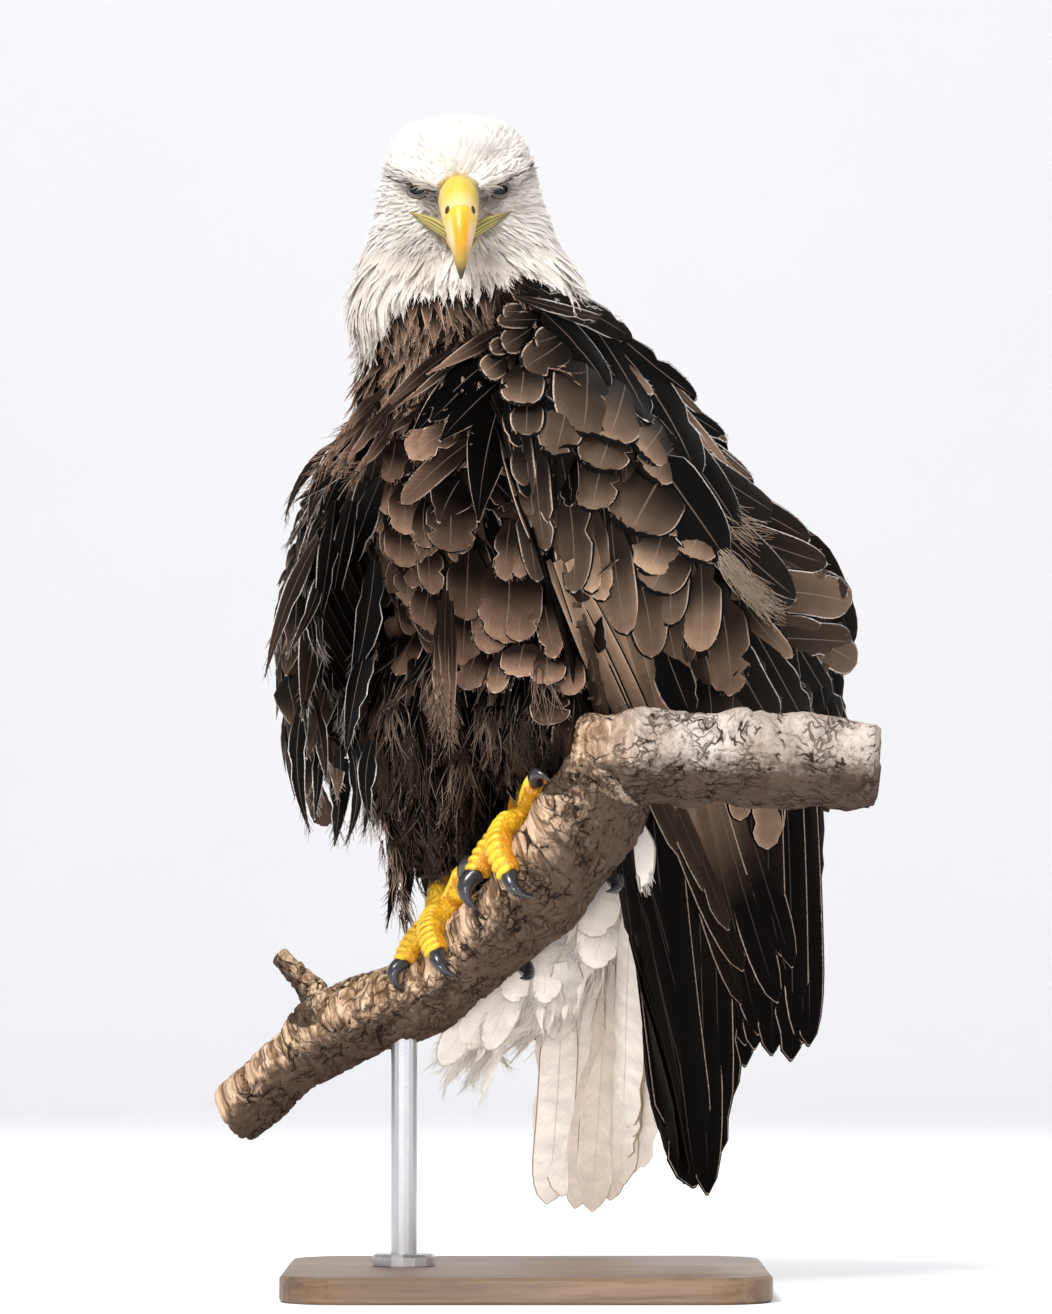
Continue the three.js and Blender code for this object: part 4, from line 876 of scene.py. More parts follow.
# ---------------------------------------------------------------- node trees
class Tree:
    """Adds nodes to a tree, each with its inputs set or linked, and returns output sockets."""

    def __init__(self, tree):
        self.tree = tree
        self.column = 0

    def node(self, kind, settings=None, inputs=None):
        made = self.tree.nodes.new(kind)
        made.location = (self.column * 190, -(self.column % 4) * 170)
        self.column += 1
        for key, value in (settings or {}).items():
            setattr(made, key, value)
        for key, value in (inputs or {}).items():
            self.feed(made.inputs[key], value)
        return made

    def feed(self, socket, value):
        if isinstance(value, bpy.types.NodeSocket):
            self.tree.links.new(value, socket)
        elif value is not None:
            socket.default_value = value

    def math(self, operation, *values, clamp=False):
        made = self.node("ShaderNodeMath", {"operation": operation, "use_clamp": clamp},
                         dict(enumerate(values)))
        return made.outputs[0]

    def mix(self, share, a, b, how="MIX"):
        made = self.node("ShaderNodeMix", {"data_type": "RGBA", "blend_type": how, "clamp_factor": True})
        self.feed(made.inputs[0], share)
        self.feed(made.inputs[6], a)
        self.feed(made.inputs[7], b)
        return made.outputs[2]

    def between(self, value, low, high, from_=0.0, to=1.0):
        made = self.node("ShaderNodeMapRange", {"interpolation_type": "SMOOTHSTEP"},
                         {0: value, 1: low, 2: high, 3: from_, 4: to})
        return made.outputs[0]

    def noise(self, vector, scale, detail=2.0, roughness=0.5, distortion=0.0):
        made = self.node("ShaderNodeTexNoise", {}, {
            "Vector": vector, "Scale": scale, "Detail": detail, "Roughness": roughness,
            "Distortion": distortion})
        return made.outputs["Fac"]

    def voronoi(self, vector, scale, feature="F1", randomness=1.0):
        made = self.node("ShaderNodeTexVoronoi", {"feature": feature}, {
            "Vector": vector, "Scale": scale, "Randomness": randomness})
        return made.outputs["Distance"]

    def ramp(self, value, stops):
        made = self.node("ShaderNodeValToRGB", {}, {0: value})
        elements = made.color_ramp.elements
        while len(elements) < len(stops):
            elements.new(0.5)
        for element, (place, colour) in zip(elements, stops):
            element.position, element.color = place, (*colour[:3], 1)
        return made.outputs[0]


def group(name, inputs, outputs, build):
    """A shader node group made once: build(tree, input sockets) returns the output sockets."""
    if name in bpy.data.node_groups:
        return bpy.data.node_groups[name]
    made = bpy.data.node_groups.new(name, "ShaderNodeTree")
    for label, (kind, value) in inputs.items():
        socket = made.interface.new_socket(label, in_out="INPUT", socket_type=kind)
        socket.default_value = value
    for label, kind in outputs.items():
        made.interface.new_socket(label, in_out="OUTPUT", socket_type=kind)
    tree = Tree(made)
    start = tree.node("NodeGroupInput")
    found = build(tree, start.outputs)
    end = tree.node("NodeGroupOutput")
    for socket, value in zip(end.inputs, found):
        tree.feed(socket, value)
    return made


def vane_pattern(tree, given):
    """Barbs, shaft, pale fringe, painted shade over the covered base and a tint of its own for each feather.
    """
    place = tree.node("ShaderNodeUVMap", {"uv_map": "Vane"})
    across_along = tree.node("ShaderNodeSeparateXYZ", {}, {0: place.outputs[0]})
    u, v = across_along.outputs[0], across_along.outputs[1]
    plume = tree.node("ShaderNodeAttribute", {"attribute_name": "plume"})
    parts = tree.node("ShaderNodeSeparateColor", {}, {0: plume.outputs["Color"]})
    tint, length, width = parts.outputs[0], parts.outputs[1], parts.outputs[2]
    worn = plume.outputs["Alpha"]
    side = tree.math("ABSOLUTE", tree.math("MULTIPLY_ADD", u, 2.0, -1.0))
    half = tree.math("MULTIPLY", width, 0.5)
    out = tree.math("MULTIPLY", side, half)
    along = tree.math("MULTIPLY", v, length)
    barb = tree.math("MULTIPLY_ADD", out, -1.3, along)
    fine = tree.node("ShaderNodeCombineXYZ", {}, {
        0: tree.math("MULTIPLY", barb, given["Barb scale"]), 1: tree.math("MULTIPLY", u, 3.0),
        2: tree.math("MULTIPLY", width, 9700.0)})
    streak = tree.noise(fine.outputs[0], 1.0, 3.0, 0.6)
    patch = tree.node("ShaderNodeCombineXYZ", {}, {
        0: tree.math("MULTIPLY", along, 90.0), 1: tree.math("MULTIPLY", u, 1.2),
        2: tree.math("MULTIPLY", width, 5300.0)})
    cloud = tree.noise(patch.outputs[0], 1.0, 2.0)
    edge = tree.math("SUBTRACT", half, out)
    tip = tree.math("MULTIPLY", tree.math("SUBTRACT", 1.0, v), length)
    rim = tree.math("MINIMUM", edge, tree.math("MULTIPLY", tip, 0.8))
    ragged = tree.math("MULTIPLY_ADD", streak, 0.0016, -0.0008)
    fringe = tree.between(tree.math("ADD", rim, ragged), 0.0, given["Fringe width"], 1.0, 0.0)
    start = given["Fringe start"]
    fringe = tree.math("MULTIPLY", fringe, tree.between(v, start, tree.math("ADD", start, 0.35)))
    fringe = tree.math("MULTIPLY", fringe, tree.math("MULTIPLY_ADD", worn, 0.75, 0.25))
    shade = tree.math("MULTIPLY_ADD", streak, given["Barb contrast"], tree.math(
        "MULTIPLY_ADD", given["Barb contrast"], -0.5, 1.0))
    shade = tree.math("MULTIPLY", shade, tree.math("MULTIPLY_ADD", cloud, 0.5, 0.75))
    # painted shade: the vane darkens towards its root, where the feathers over it would shade it
    shade = tree.math("MULTIPLY", shade, tree.between(v, 0.3, 1.0, given["Painted base shade"], 1.0))
    glow = tree.between(rim, 0.0, tree.math("MULTIPLY_ADD", width, 0.25, 0.001), given["Edge glow"], 1.0)
    shade = tree.math("MULTIPLY", shade, glow)
    body = tree.mix(tint, given["Dark"], given["Light"])
    body = tree.mix(1.0, body, shade, "MULTIPLY")
    colour = tree.mix(tree.math("MULTIPLY", fringe, given["Fringe strength"]), body, given["Fringe"])
    shaft_half = tree.math("MULTIPLY_ADD", width, 0.012, 0.00018)
    shaft = tree.between(out, tree.math("MULTIPLY", shaft_half, 0.6), shaft_half, 1.0, 0.0)
    shaft = tree.math("MULTIPLY", shaft, tree.between(v, 0.8, 1.0, 1.0, 0.0))
    colour = tree.mix(tree.math("MULTIPLY", shaft, given["Shaft strength"]), colour, given["Shaft"])
    height = tree.math("MULTIPLY_ADD", shaft, 1.2, streak)
    return colour, height


VANE_INPUTS = {
    "Dark": ("NodeSocketColor", (0.02, 0.015, 0.012, 1)),
    "Light": ("NodeSocketColor", (0.12, 0.08, 0.055, 1)),
    "Fringe": ("NodeSocketColor", (0.3, 0.22, 0.16, 1)),
    "Shaft": ("NodeSocketColor", (0.1, 0.07, 0.05, 1)),
    "Fringe width": ("NodeSocketFloat", 0.0015),
    "Fringe strength": ("NodeSocketFloat", 0.8),
    "Shaft strength": ("NodeSocketFloat", 0.6),
    "Barb scale": ("NodeSocketFloat", 700.0),
    "Barb contrast": ("NodeSocketFloat", 0.7),
    "Painted base shade": ("NodeSocketFloat", 0.5),
    "Edge glow": ("NodeSocketFloat", 1.3),
    "Fringe start": ("NodeSocketFloat", 0.25),
}


def surface_material(name, build, roughness=0.6, specular=0.3, **constants):
    """A material: build(tree) returns colour, height and the height's distance, any but colour None."""
    if name in bpy.data.materials:
        return bpy.data.materials[name]
    made = bpy.data.materials.new(name)
    made.use_nodes = True
    made.node_tree.nodes.clear()
    tree = Tree(made.node_tree)
    colour, rough, height, distance = build(tree)
    shader = tree.node("ShaderNodeBsdfPrincipled")
    tree.feed(shader.inputs["Base Color"], colour)
    tree.feed(shader.inputs["Roughness"], roughness if rough is None else rough)
    shader.inputs["Specular IOR Level"].default_value = specular
    for key, value in constants.items():
        shader.inputs[key.replace("_", " ")].default_value = value
    if height is not None:
        bump = tree.node("ShaderNodeBump", {}, {"Height": height, "Distance": distance, "Strength": 1.0})
        tree.feed(shader.inputs["Normal"], bump.outputs[0])
    end = tree.node("ShaderNodeOutputMaterial")
    tree.tree.links.new(shader.outputs[0], end.inputs[0])
    return made


def feather_material(name, dark, light, fringe, shaft, *, fringe_width=0.0015, fringe_strength=0.8,
                     shaft_strength=0.6, barb_scale=700.0, barb_contrast=0.7, painted_base_shade=0.5, edge_glow=1.3,
                     fringe_start=0.25,
                     roughness=0.6, specular=0.3, bump=0.0003, **constants):
    """A feather's material from the shared vane pattern and its own colours."""

    def build(tree):
        pattern = group("Vane pattern", VANE_INPUTS,
                        {"Color": "NodeSocketColor", "Height": "NodeSocketFloat"},
                        vane_pattern)
        node = tree.node("ShaderNodeGroup", {"node_tree": pattern}, {
            "Dark": (*dark, 1), "Light": (*light, 1), "Fringe": (*fringe, 1), "Shaft": (*shaft, 1),
            "Fringe width": fringe_width, "Fringe strength": fringe_strength,
            "Shaft strength": shaft_strength,
            "Barb scale": barb_scale, "Barb contrast": barb_contrast, "Painted base shade": painted_base_shade,
            "Edge glow": edge_glow, "Fringe start": fringe_start})
        return node.outputs[0], None, node.outputs[1], bump

    return surface_material(name, build, roughness, specular, **constants)


# ---------------------------------------------------------------- sizes and colours for a user
def colour_property(label, description, value):
    return FloatVectorProperty(name=label, description=description, default=value, min=0, max=1,
                               size=3, subtype="COLOR")


def length_property(label, description, value):
    return FloatProperty(name=label, description=description, default=value, min=0.0005, max=0.3,
                         unit="LENGTH", subtype="DISTANCE", precision=4)


class EagleColours(bpy.types.PropertyGroup):
    """Colours of the plumage and of the bare parts."""

    white: colour_property("White", "Head, neck and tail feathers", (0.94, 0.865, 0.785))
    # white plumage darkens towards this at its feathers' covered bases, as painted shade, and by tint, which
    # holds the face's painted shade and tone from feather to feather; it is also the colour of the tail's
    # shafts
    white_shade: colour_property("White, shaded", "Bases of the white feathers", (0.50, 0.42, 0.35))
    black: colour_property("Dark", "Darkest feathers", (0.0022, 0.0017, 0.0016))
    brown: colour_property("Brown", "Breast and neck feathers", (0.36, 0.215, 0.142))
    wing: colour_property("Wing brown", "Wing coverts", (0.38, 0.245, 0.158))
    fringe: colour_property("Fringe", "Worn edges of the brown feathers", (0.80, 0.60, 0.46))
    bill: colour_property("Bill", "Horn of the bill", (0.72, 0.30, 0.003))
    cere: colour_property("Cere", "Soft skin at the bill's root", (0.66, 0.46, 0.035))
    feet: colour_property("Feet", "Scaled skin of the toes", (0.86, 0.53, 0.02))
    claw: colour_property("Claws", "Horn of the claws", (0.018, 0.017, 0.022))
    # painted shade: a dull brown, darker than a bald eagle's pale yellow iris, for the brow's shadow over the
    # eye
    iris: colour_property("Iris", "Ring round the pupil", (0.34, 0.27, 0.16))
    bark: colour_property("Bark", "Weathered bark", (0.52, 0.42, 0.34))


class EagleSizes(bpy.types.PropertyGroup):
    """Sizes of the feathers and of the skin under them."""

    voxel: length_property("Skin grain", "Size of the skin's faces", 0.0031)
    face_feather: length_property("Face feathers", "Length of the feathers round the eyes", 0.012)
    crown_feather: length_property("Crown feathers", "Length of the feathers on the crown", 0.020)
    hackle: length_property("Hackles", "Length of the pointed feathers of the neck", 0.052)
    breast_feather: length_property("Breast feathers", "Length of the breast feathers", 0.040)
    thigh_feather: length_property("Thigh feathers", "Length of the loose feathers of the legs", 0.042)
    barb: length_property("Loose barbs", "Length of the loose barbs at a feather's edge", 0.0045)
    secondaries: IntProperty(name="Secondaries", description="Long feathers on each forearm", default=14,
                             min=8, max=20)
    primaries: IntProperty(name="Primaries", description="Long feathers on each hand", default=9, min=6,
                           max=11)
    tail_feathers: IntProperty(name="Tail feathers", description="Feathers of the tail", default=12, min=8,
                               max=14)


def colours():
    return bpy.context.scene.eagle_colours


def sizes():
    return bpy.context.scene.eagle_sizes


def white_feathers():
    c = colours()
    return feather_material("White plumage", c.white_shade, c.white, c.white, c.white, fringe_strength=0.5,
                            shaft_strength=0.1, barb_scale=900, barb_contrast=0.35, painted_base_shade=0.7,
                            edge_glow=1.05,
                            roughness=0.8, specular=0.1, bump=0.0002)


def face_feathers():
    c = colours()
    # the face feathers darken towards this brown where their tint falls: painted shade under the brows and
    # chin, and the grey of the lores
    return feather_material("Face plumage", (0.085, 0.058, 0.044), c.white, c.white, c.white,
                            fringe_strength=0.0,
                            shaft_strength=0.0, barb_scale=900, barb_contrast=0.15, painted_base_shade=0.9,
                            edge_glow=1.0,
                            roughness=0.85, specular=0.05, bump=0.0001, Subsurface_Weight=0.2,
                            Subsurface_Scale=0.006, Subsurface_Radius=(1.0, 0.8, 0.6))


def brown_feathers():
    c = colours()
    return feather_material("Brown plumage", c.black, c.brown, c.fringe, c.fringe, fringe_width=0.0010,
                            fringe_strength=0.8, shaft_strength=0.1, barb_scale=800, barb_contrast=1.1,
                            painted_base_shade=0.05, edge_glow=1.5, roughness=0.75, specular=0.03, bump=0.0003)


def wing_feathers():
    c = colours()
    return feather_material("Wing plumage", c.black, c.wing, c.fringe, c.fringe, fringe_width=0.0014,
                            fringe_strength=0.95, shaft_strength=0.12, barb_scale=650, barb_contrast=0.6,
                            painted_base_shade=0.07, edge_glow=1.6, roughness=0.6, specular=0.07, bump=0.0002)


def scapular_feathers():
    c = colours()
    return feather_material("Scapular plumage", c.black, c.wing, (0.86, 0.77, 0.70), c.fringe,
                            fringe_width=0.0011,
                            fringe_strength=0.95, shaft_strength=0.15, barb_scale=650, barb_contrast=0.5,
                            painted_base_shade=0.35, edge_glow=1.2, fringe_start=0.1, roughness=0.6, specular=0.08,
                            bump=0.0002)


def flight_feathers():
    c = colours()
    return feather_material("Flight feathers", c.black, c.wing, c.fringe, (0.30, 0.24, 0.20),
                            fringe_width=0.0010,
                            fringe_strength=0.7, shaft_strength=0.12, barb_scale=650, barb_contrast=0.5,
                            painted_base_shade=1.0, edge_glow=1.5, fringe_start=-0.4, roughness=0.6, specular=0.02,
                            bump=0.0002)


def tail_material():
    c = colours()
    return feather_material("Tail plumage", (0.42, 0.29, 0.18), c.white, c.white, c.white_shade,
                            fringe_width=0.0012,
                            fringe_strength=0.5, shaft_strength=0.5, barb_scale=500, barb_contrast=0.35,
                            painted_base_shade=0.9, edge_glow=1.0, roughness=0.65, specular=0.15, bump=0.0002)


# ---------------------------------------------------------------- skin
FLESH = list(COAT_DEPTH)
BODY = {}


def nearest_solid(points):
    """The index in FLESH of the solid each point is nearest to."""
    if "solids" not in BODY:
        all_points, all_triangles, owner, start = [], [], [], 0
        for k, name in enumerate(FLESH):
            p, t = arrays_of(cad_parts[name].data)
            all_points.append(p)
            all_triangles.append(t + start)
            owner.append(np.full(len(t), k))
            start += len(p)
        tree = BVHTree.FromPolygons(np.vstack(all_points).tolist(), np.vstack(all_triangles).tolist())
        BODY["solids"] = tree, np.concatenate(owner)
    tree, owner = BODY["solids"]
    return owner[[tree.find_nearest(p)[2] for p in np.asarray(points).tolist()]]


def eye_gaze(hand):
    """Which way the eye of one side looks."""
    return unit(np.array([hand * 0.22, -1.0, -0.10]))


def body_skin():
    """The skin as a surface, with the solid under each of its triangles."""
    if "skin" not in BODY:
        shape = bmesh.new()
        shape.from_mesh(merged_copy(FLESH))
        for k in (1, -1):
            made = bmesh.ops.create_icosphere(shape, subdivisions=3,
                                              radius=EYE_RADIUS * MM * 1.03 + COAT_DEPTH["head"] * MM)
            bmesh.ops.translate(shape, verts=made["verts"], vec=on_head(k * EYE_OUT, -1, 0).tolist())
        mesh = bpy.data.meshes.new("flesh")
        shape.to_mesh(mesh)
        shape.free()
        mesh = remeshed(mesh, sizes().voxel, 10)
        points, triangles = arrays_of(mesh)
        rough = Surface(points, triangles)
        owner = nearest_solid(points)
        depth = np.array([COAT_DEPTH[n] for n in FLESH])[owner] * MM
        neighbours = np.zeros(len(points))
        for _ in range(6):
            total, neighbours = np.zeros(len(points)), np.zeros(len(points))
            for a, b in ((0, 1), (1, 2), (2, 0)):
                np.add.at(total, triangles[:, a], depth[triangles[:, b]])
                np.add.at(neighbours, triangles[:, a], 1)
            depth = total / np.maximum(neighbours, 1)
        points = points - rough.point_normals * depth[:, None]
        for k in (1, -1):
            offset = points - on_head(k * EYE_OUT, -1, 0)
            away = np.linalg.norm(offset, axis=1)
            open_ = (dot(offset, eye_gaze(k))[:, 0] > 0.80 * away) & (away < EYE_RADIUS * MM * 1.3)
            points[open_] -= offset[open_] * (1 - 0.8 * EYE_RADIUS * MM / away[open_])[:, None]
        mesh.vertices.foreach_set("co", points.astype(np.float32).ravel())
        mesh.update()
        BODY["mesh"] = mesh
        BODY["skin"] = Surface(points, triangles)
        BODY["owner"] = nearest_solid(points[triangles].mean(1))
    return BODY["skin"]


def whiteness(points):
    """1 on the white head and under the tail, 0 on the brown body."""
    p = np.asarray(points)
    near = 4 / (4 + p[:, 1])
    hem = np.interp(p[:, 0] * near / MM, *HEM) * MM - 0.35 * np.maximum(p[:, 1] - EYES[1] - 0.02, 0)
    high = 0.23 + (p[:, 2] - 0.23) * near
    head = ease(high, hem - 0.003, hem + 0.003)
    vent = ease(-p[:, 2], -0.318, -0.300) * ease(p[:, 1], 0.02, 0.05)
    return np.maximum(head, vent)


def face_tone_and_shade(points):
    """1 on white feathers, less before the eyes, where the lores are grey, and in painted shade under the
    brows, under the chin, over the lower cheeks and most on the lower cheek of one side.
    """
    left, back, up = in_head(points)
    side = np.abs(left)

    def spot(across, wide, ahead, long, height, tall):
        away = ((side - across) / wide) ** 2 + ((back - ahead) / long) ** 2 + ((up - height) / tall) ** 2
        return np.exp(-away)

    shade = (0.88 * spot(17, 7, -26, 14, -3, 8) + 0.92 * spot(30, 10, -12, 14, 2, 7) + 0.55 * spot(44, 9, 8,
                                                                                                   12, 8, 6)
             + 0.45 * spot(16, 14, -26, 18, -38, 12) + 0.16 * spot(32, 16, -10, 26, -30, 16))
    # painted shade: the lower cheek of one side is darker still
    return np.clip(0.97 - shade - 0.16 * ease(-up, 0, 25) * ease(-left, -20, 30), 0.02, 1)


def clear_of_face(roots, reach):
    """Which roots stand clear of the eyes' openings, the bill and the corners of the mouth."""
    left, back, up = in_head(roots)
    clear = ~((np.abs(left - 1) < 12.5) & (back < -18) & (up < 13) & (up > -34))
    for k in (1, -1):
        offset = (roots - on_head(k * EYE_OUT, -1, 0)) / (EYE_RADIUS * MM)
        gaze = eye_gaze(k)
        side = unit(np.cross(gaze, (0, 0, 1)))
        across, high = offset @ side, offset @ np.cross(side, gaze)
        clear &= (offset @ gaze < 0) | (np.hypot(across / 1.25, high - 0.03) > reach)
    return clear


def around(points, centre, low, high):
    """Places on an unwrap round an upright line: the angle about it and the height."""
    q = np.asarray(points) - centre
    angle = np.arctan2(q[:, 0], -q[:, 1]) / (2 * math.pi) + 0.5
    return np.stack([0.02 + 0.96 * angle, 0.02 + 0.96 * np.clip((points[:, 2] - low) / (high - low), 0, 1)],
                    1)


# ---------------------------------------------------------------- coats of small feathers
def coat(plumage, roots, normals, heading, length, width, kind, stations, seed, *, across=5,
         rise=(0.0005, 0.005),
         scatter=0.2, ruffle=0.2, tint=0.5, worn=0.5, home=None, loose=0, barb_length=0.0045, droop=0.0,
         camber=0.14, tears=0.1, stiff=2, curl=0.0):
    """Lays one feather at each root, each turned, lifted and coloured a little by itself."""
    rng = np.random.default_rng(seed)
    count = len(roots)
    across_way = unit(np.cross(normals, heading))
    heading = unit(heading) + across_way * rng.normal(0, scatter, (count, 1))
    length = np.broadcast_to(length, count) * rng.uniform(0.86, 1.16, count)
    width = np.broadcast_to(width, count) * rng.uniform(0.88, 1.14, count)
    lift = np.broadcast_to(rise[1], count) * rng.uniform(0.6, 1.5, count)
    spine, up = lay(BODY["skin"], roots, heading, length, stations, (rise[0], lift),
                    curl=curl * rng.normal(0.3, 1, count), droop=droop, bend=rng.normal(0, 0.06, count),
                    stiff=stiff)
    tint = np.clip(np.broadcast_to(tint, count) + rng.normal(0, 0.1, count), 0, 1)
    worn = np.clip(np.broadcast_to(worn, count) + rng.normal(0, 0.25, count), 0, 1)
    roll = rng.normal(0, ruffle, count)
    tangent = unit(np.diff(spine, axis=1))
    straight = dot(tangent[:, 0], tangent[:, -1])[:, 0] > 0.55  # a feather curled over an edge is left out
    spine, up, width, roll, tint, worn, home = (v[straight] for v in (spine, up, width, roll, tint, worn,
                                                                      home))
    plumage.add(spine, up, width, kind, stations, across=across, camber=camber, roll=roll, tears=tears,
                seed=seed + 1, tint=tint, worn=worn, home=home)
    if loose:
        barbs(plumage, spine, up, width, kind, stations, each=loose, length=barb_length, seed=seed + 2,
              tint=tint, worn=np.maximum(worn - 0.5, -1 / 3), home=home)


def owned(*names):
    """1 for each triangle of the skin over one of these solids."""
    return np.isin(BODY["owner"], [FLESH.index(n) for n in names]).astype(float)


def head_heading(points):
    """Over the head the feathers run back from the bill, then down the neck."""
    bill = on_head(0, -34, 2)
    away = unit(points - bill)
    left, _, up = in_head(points)
    fall = ease(-up, 5, 75)[:, None]
    spread = np.stack([left * 0.004, np.zeros_like(left), -np.ones_like(left)], 1)
    return unit(away * (1 - fall) + unit(spread) * fall * 1.4)


def trunk_heading(points):
    """Down the trunk and towards the tail, with the wind's swirls."""
    flow = DOWN + BEHIND * 0.22 + 0.35 * swirl(points, 0.09, 3)
    rel = (points - SHOULDERS) @ SIDE
    return unit(flow + SIDE * (rel * 1.6)[:, None])


class EAGLE_OT_skin(bpy.types.Operator):
    """Makes the one skin that lies under the coat and replaces the solids of flesh"""

    bl_idname = "eagle.skin"
    bl_label = "Skin"

    def execute(self, context):
        c = colours()
        skin = body_skin()
        mesh = BODY["mesh"]
        give_colour(mesh, "marking", np.stack([whiteness(skin.points - mm(0, 0, 9)), face_tone_and_shade(skin.points),
                                               np.zeros(len(skin.points)), np.ones(len(skin.points))], 1))
        mesh.polygons.foreach_set("use_smooth", np.ones(len(mesh.polygons), bool))

        def build(tree):
            marking = tree.node("ShaderNodeAttribute", {"attribute_name": "marking"})
            parts = tree.node("ShaderNodeSeparateColor", {}, {0: marking.outputs["Color"]})
            where = tree.node("ShaderNodeTexCoord").outputs["Object"]
            down = tree.noise(where, 260.0, 4.0, 0.65)
            dark = tree.mix(down, (*c.black, 1), (*(v * 0.3 for v in c.brown), 1))
            pale = tree.mix(down, (0.80, 0.73, 0.65, 1), (*c.white, 1))
            # painted shade: the pale skin darkens with the face's painted shade, and before the eyes for the
            # grey lores
            pale = tree.mix(parts.outputs[1], (0.06, 0.05, 0.045, 1), pale)
            return tree.mix(parts.outputs[0], dark, pale), None, down, 0.0008

        made = new_object("body_skin", mesh, surface_material("Skin under the coat", build, 0.85, 0.1))
        finish_piece(made, "brown_plumage", *FLESH)
        return {"FINISHED"}


class EAGLE_OT_head_feathers(bpy.types.Operator):
    """Lays the white feathers of the face, crown and cheeks and the hackles of the neck"""

    bl_idname = "eagle.head_feathers"
    bl_label = "Head feathers"

    def execute(self, context):
        skin, s = body_skin(), sizes()
        middle = skin.points[skin.triangles].mean(1)
        on = owned("head", "neck") * (middle[:, 2] > EYES[2] - 0.16)
        left, back, up = in_head(middle)
        face = on * (up > -36) * (back < 40)
        low = on * (1 - face)
        centre = EYES + mm(0, 15, 0)
        bottom, top = EYES[2] - 0.17, EYES[2] + 0.06

        for name, part, spacing, wide, flat, seed in (
            ("crown", face * (up > 15), 0.0032, 0.0056, 0.45, 11),
            ("face", face * (up <= 15), 0.0028, 0.0034, 1, 12)
        ):
            piece = Plumage()
            roots, normals, _ = skin.scatter(spacing, part, seed)
            clear = clear_of_face(roots, 0.46)
            roots, normals = roots[clear], normals[clear]
            left, back, up = in_head(roots)
            eye = np.minimum(*(np.linalg.norm(roots - on_head(k * EYE_OUT, -1, 0), axis=1) for k in (1, -1)))
            size = blend(0.42, 1.0, ease(eye, 0.010, 0.035))
            size = size * blend(1, s.crown_feather / s.face_feather, ease(back, -20, 30))
            puff = np.exp(-(((np.abs(left) - 34) / 14) ** 2 + ((up - 24) / 14) ** 2))
            brow = np.exp(-(((np.abs(left) - 27) / 16) ** 2 + ((back + 14) / 14) ** 2 + ((up - 11) / 5) ** 2))
            coat(piece, roots, normals, head_heading(roots), s.face_feather * size, wide * size**0.5,
                 "lance",
                 SMALL, seed, across=3, rise=(0.0004, flat * 0.0024 + 0.0015 * brow + 0.0022 * puff),
                 scatter=0.12 * flat, ruffle=0.12 * flat,
                 tint=face_tone_and_shade(roots), worn=0.5, home=around(roots, centre, bottom, top), tears=0,
                 curl=0.0004 * flat + 0.002 * brow)
            finish_piece(piece.build(name + "_feathers", face_feathers()), "white_plumage")

        # fine lines of the face; the black ones along the brows are painted shadow over the eyes
        lines = Plumage()
        rows = np.array(FACE_LINES)
        spine, up, keep = on_skin(rows, LONG, 0.0048, 0.0078)
        rows = rows[keep]
        lines.add(spine, up, rows[:, 4] * 1.35 * MM, "lance", LONG, across=3, camber=0.2, seed=16,
                  tint=rows[:, 5], worn=0.2,
                  home=around(spine[:, 0], centre, bottom, top))
        barbs(lines, spine, up, rows[:, 4] * MM, "lance", LONG, each=5, length=0.005, seed=17,
              tint=np.minimum(rows[:, 5] + 0.2, 1), worn=0.2, home=around(spine[:, 0], centre, bottom, top),
              thick=0.0004)
        finish_piece(lines.build("face_bristles_and_brow_shadow_lines", face_feathers()), "white_plumage")

        hackles = Plumage()
        roots, normals, _ = skin.scatter(0.0041, low, 14)
        heading = head_heading(roots)
        left, back, up = in_head(roots)
        grown = ease(-up, 20, 95)
        uneven = swirl(roots, 0.011, 6)[:, :1] * (0, 0, 0.012)
        length = blend(s.crown_feather, s.hackle, grown)
        rng = np.random.default_rng(13)
        reach = length * rng.uniform(0.85, 1.1, len(roots))
        for shorter in (1, 0.7, 0.45):
            over = whiteness(roots + uneven + heading * (reach * shorter)[:, None]) < 0.5
            length = np.where(over, length * 0.66, length)
        keep = (whiteness(roots + uneven + heading * (length * 0.8)[:, None]) > 0.5) & clear_of_face(roots,
                                                                                                     0.6)
        roots, normals, heading, length = roots[keep], normals[keep], heading[keep], length[keep]
        grown, left, up = grown[keep], left[keep], up[keep]
        edge = ease(np.abs(left), 42, 62) * ease(-up, 10, 60)
        # painted shade: the hackles on one side of the neck are darker
        coat(hackles, roots, normals, heading, length * (1 + 0.2 * edge), blend(0.0056, 0.0082, grown),
             "lance",
             BROAD, 15, across=3, rise=(0.0008, 0.0040 + 0.004 * edge), scatter=0.10, ruffle=0.18,
             tint=face_tone_and_shade(roots) - 0.22 * ease(-left, -10, 40), worn=0.5,
             home=around(roots, centre, bottom, top), tears=0.1,
             loose=4, barb_length=0.007, stiff=3, curl=0.002)
        finish_piece(hackles.build("neck_hackles", white_feathers()), "white_plumage")
        return {"FINISHED"}


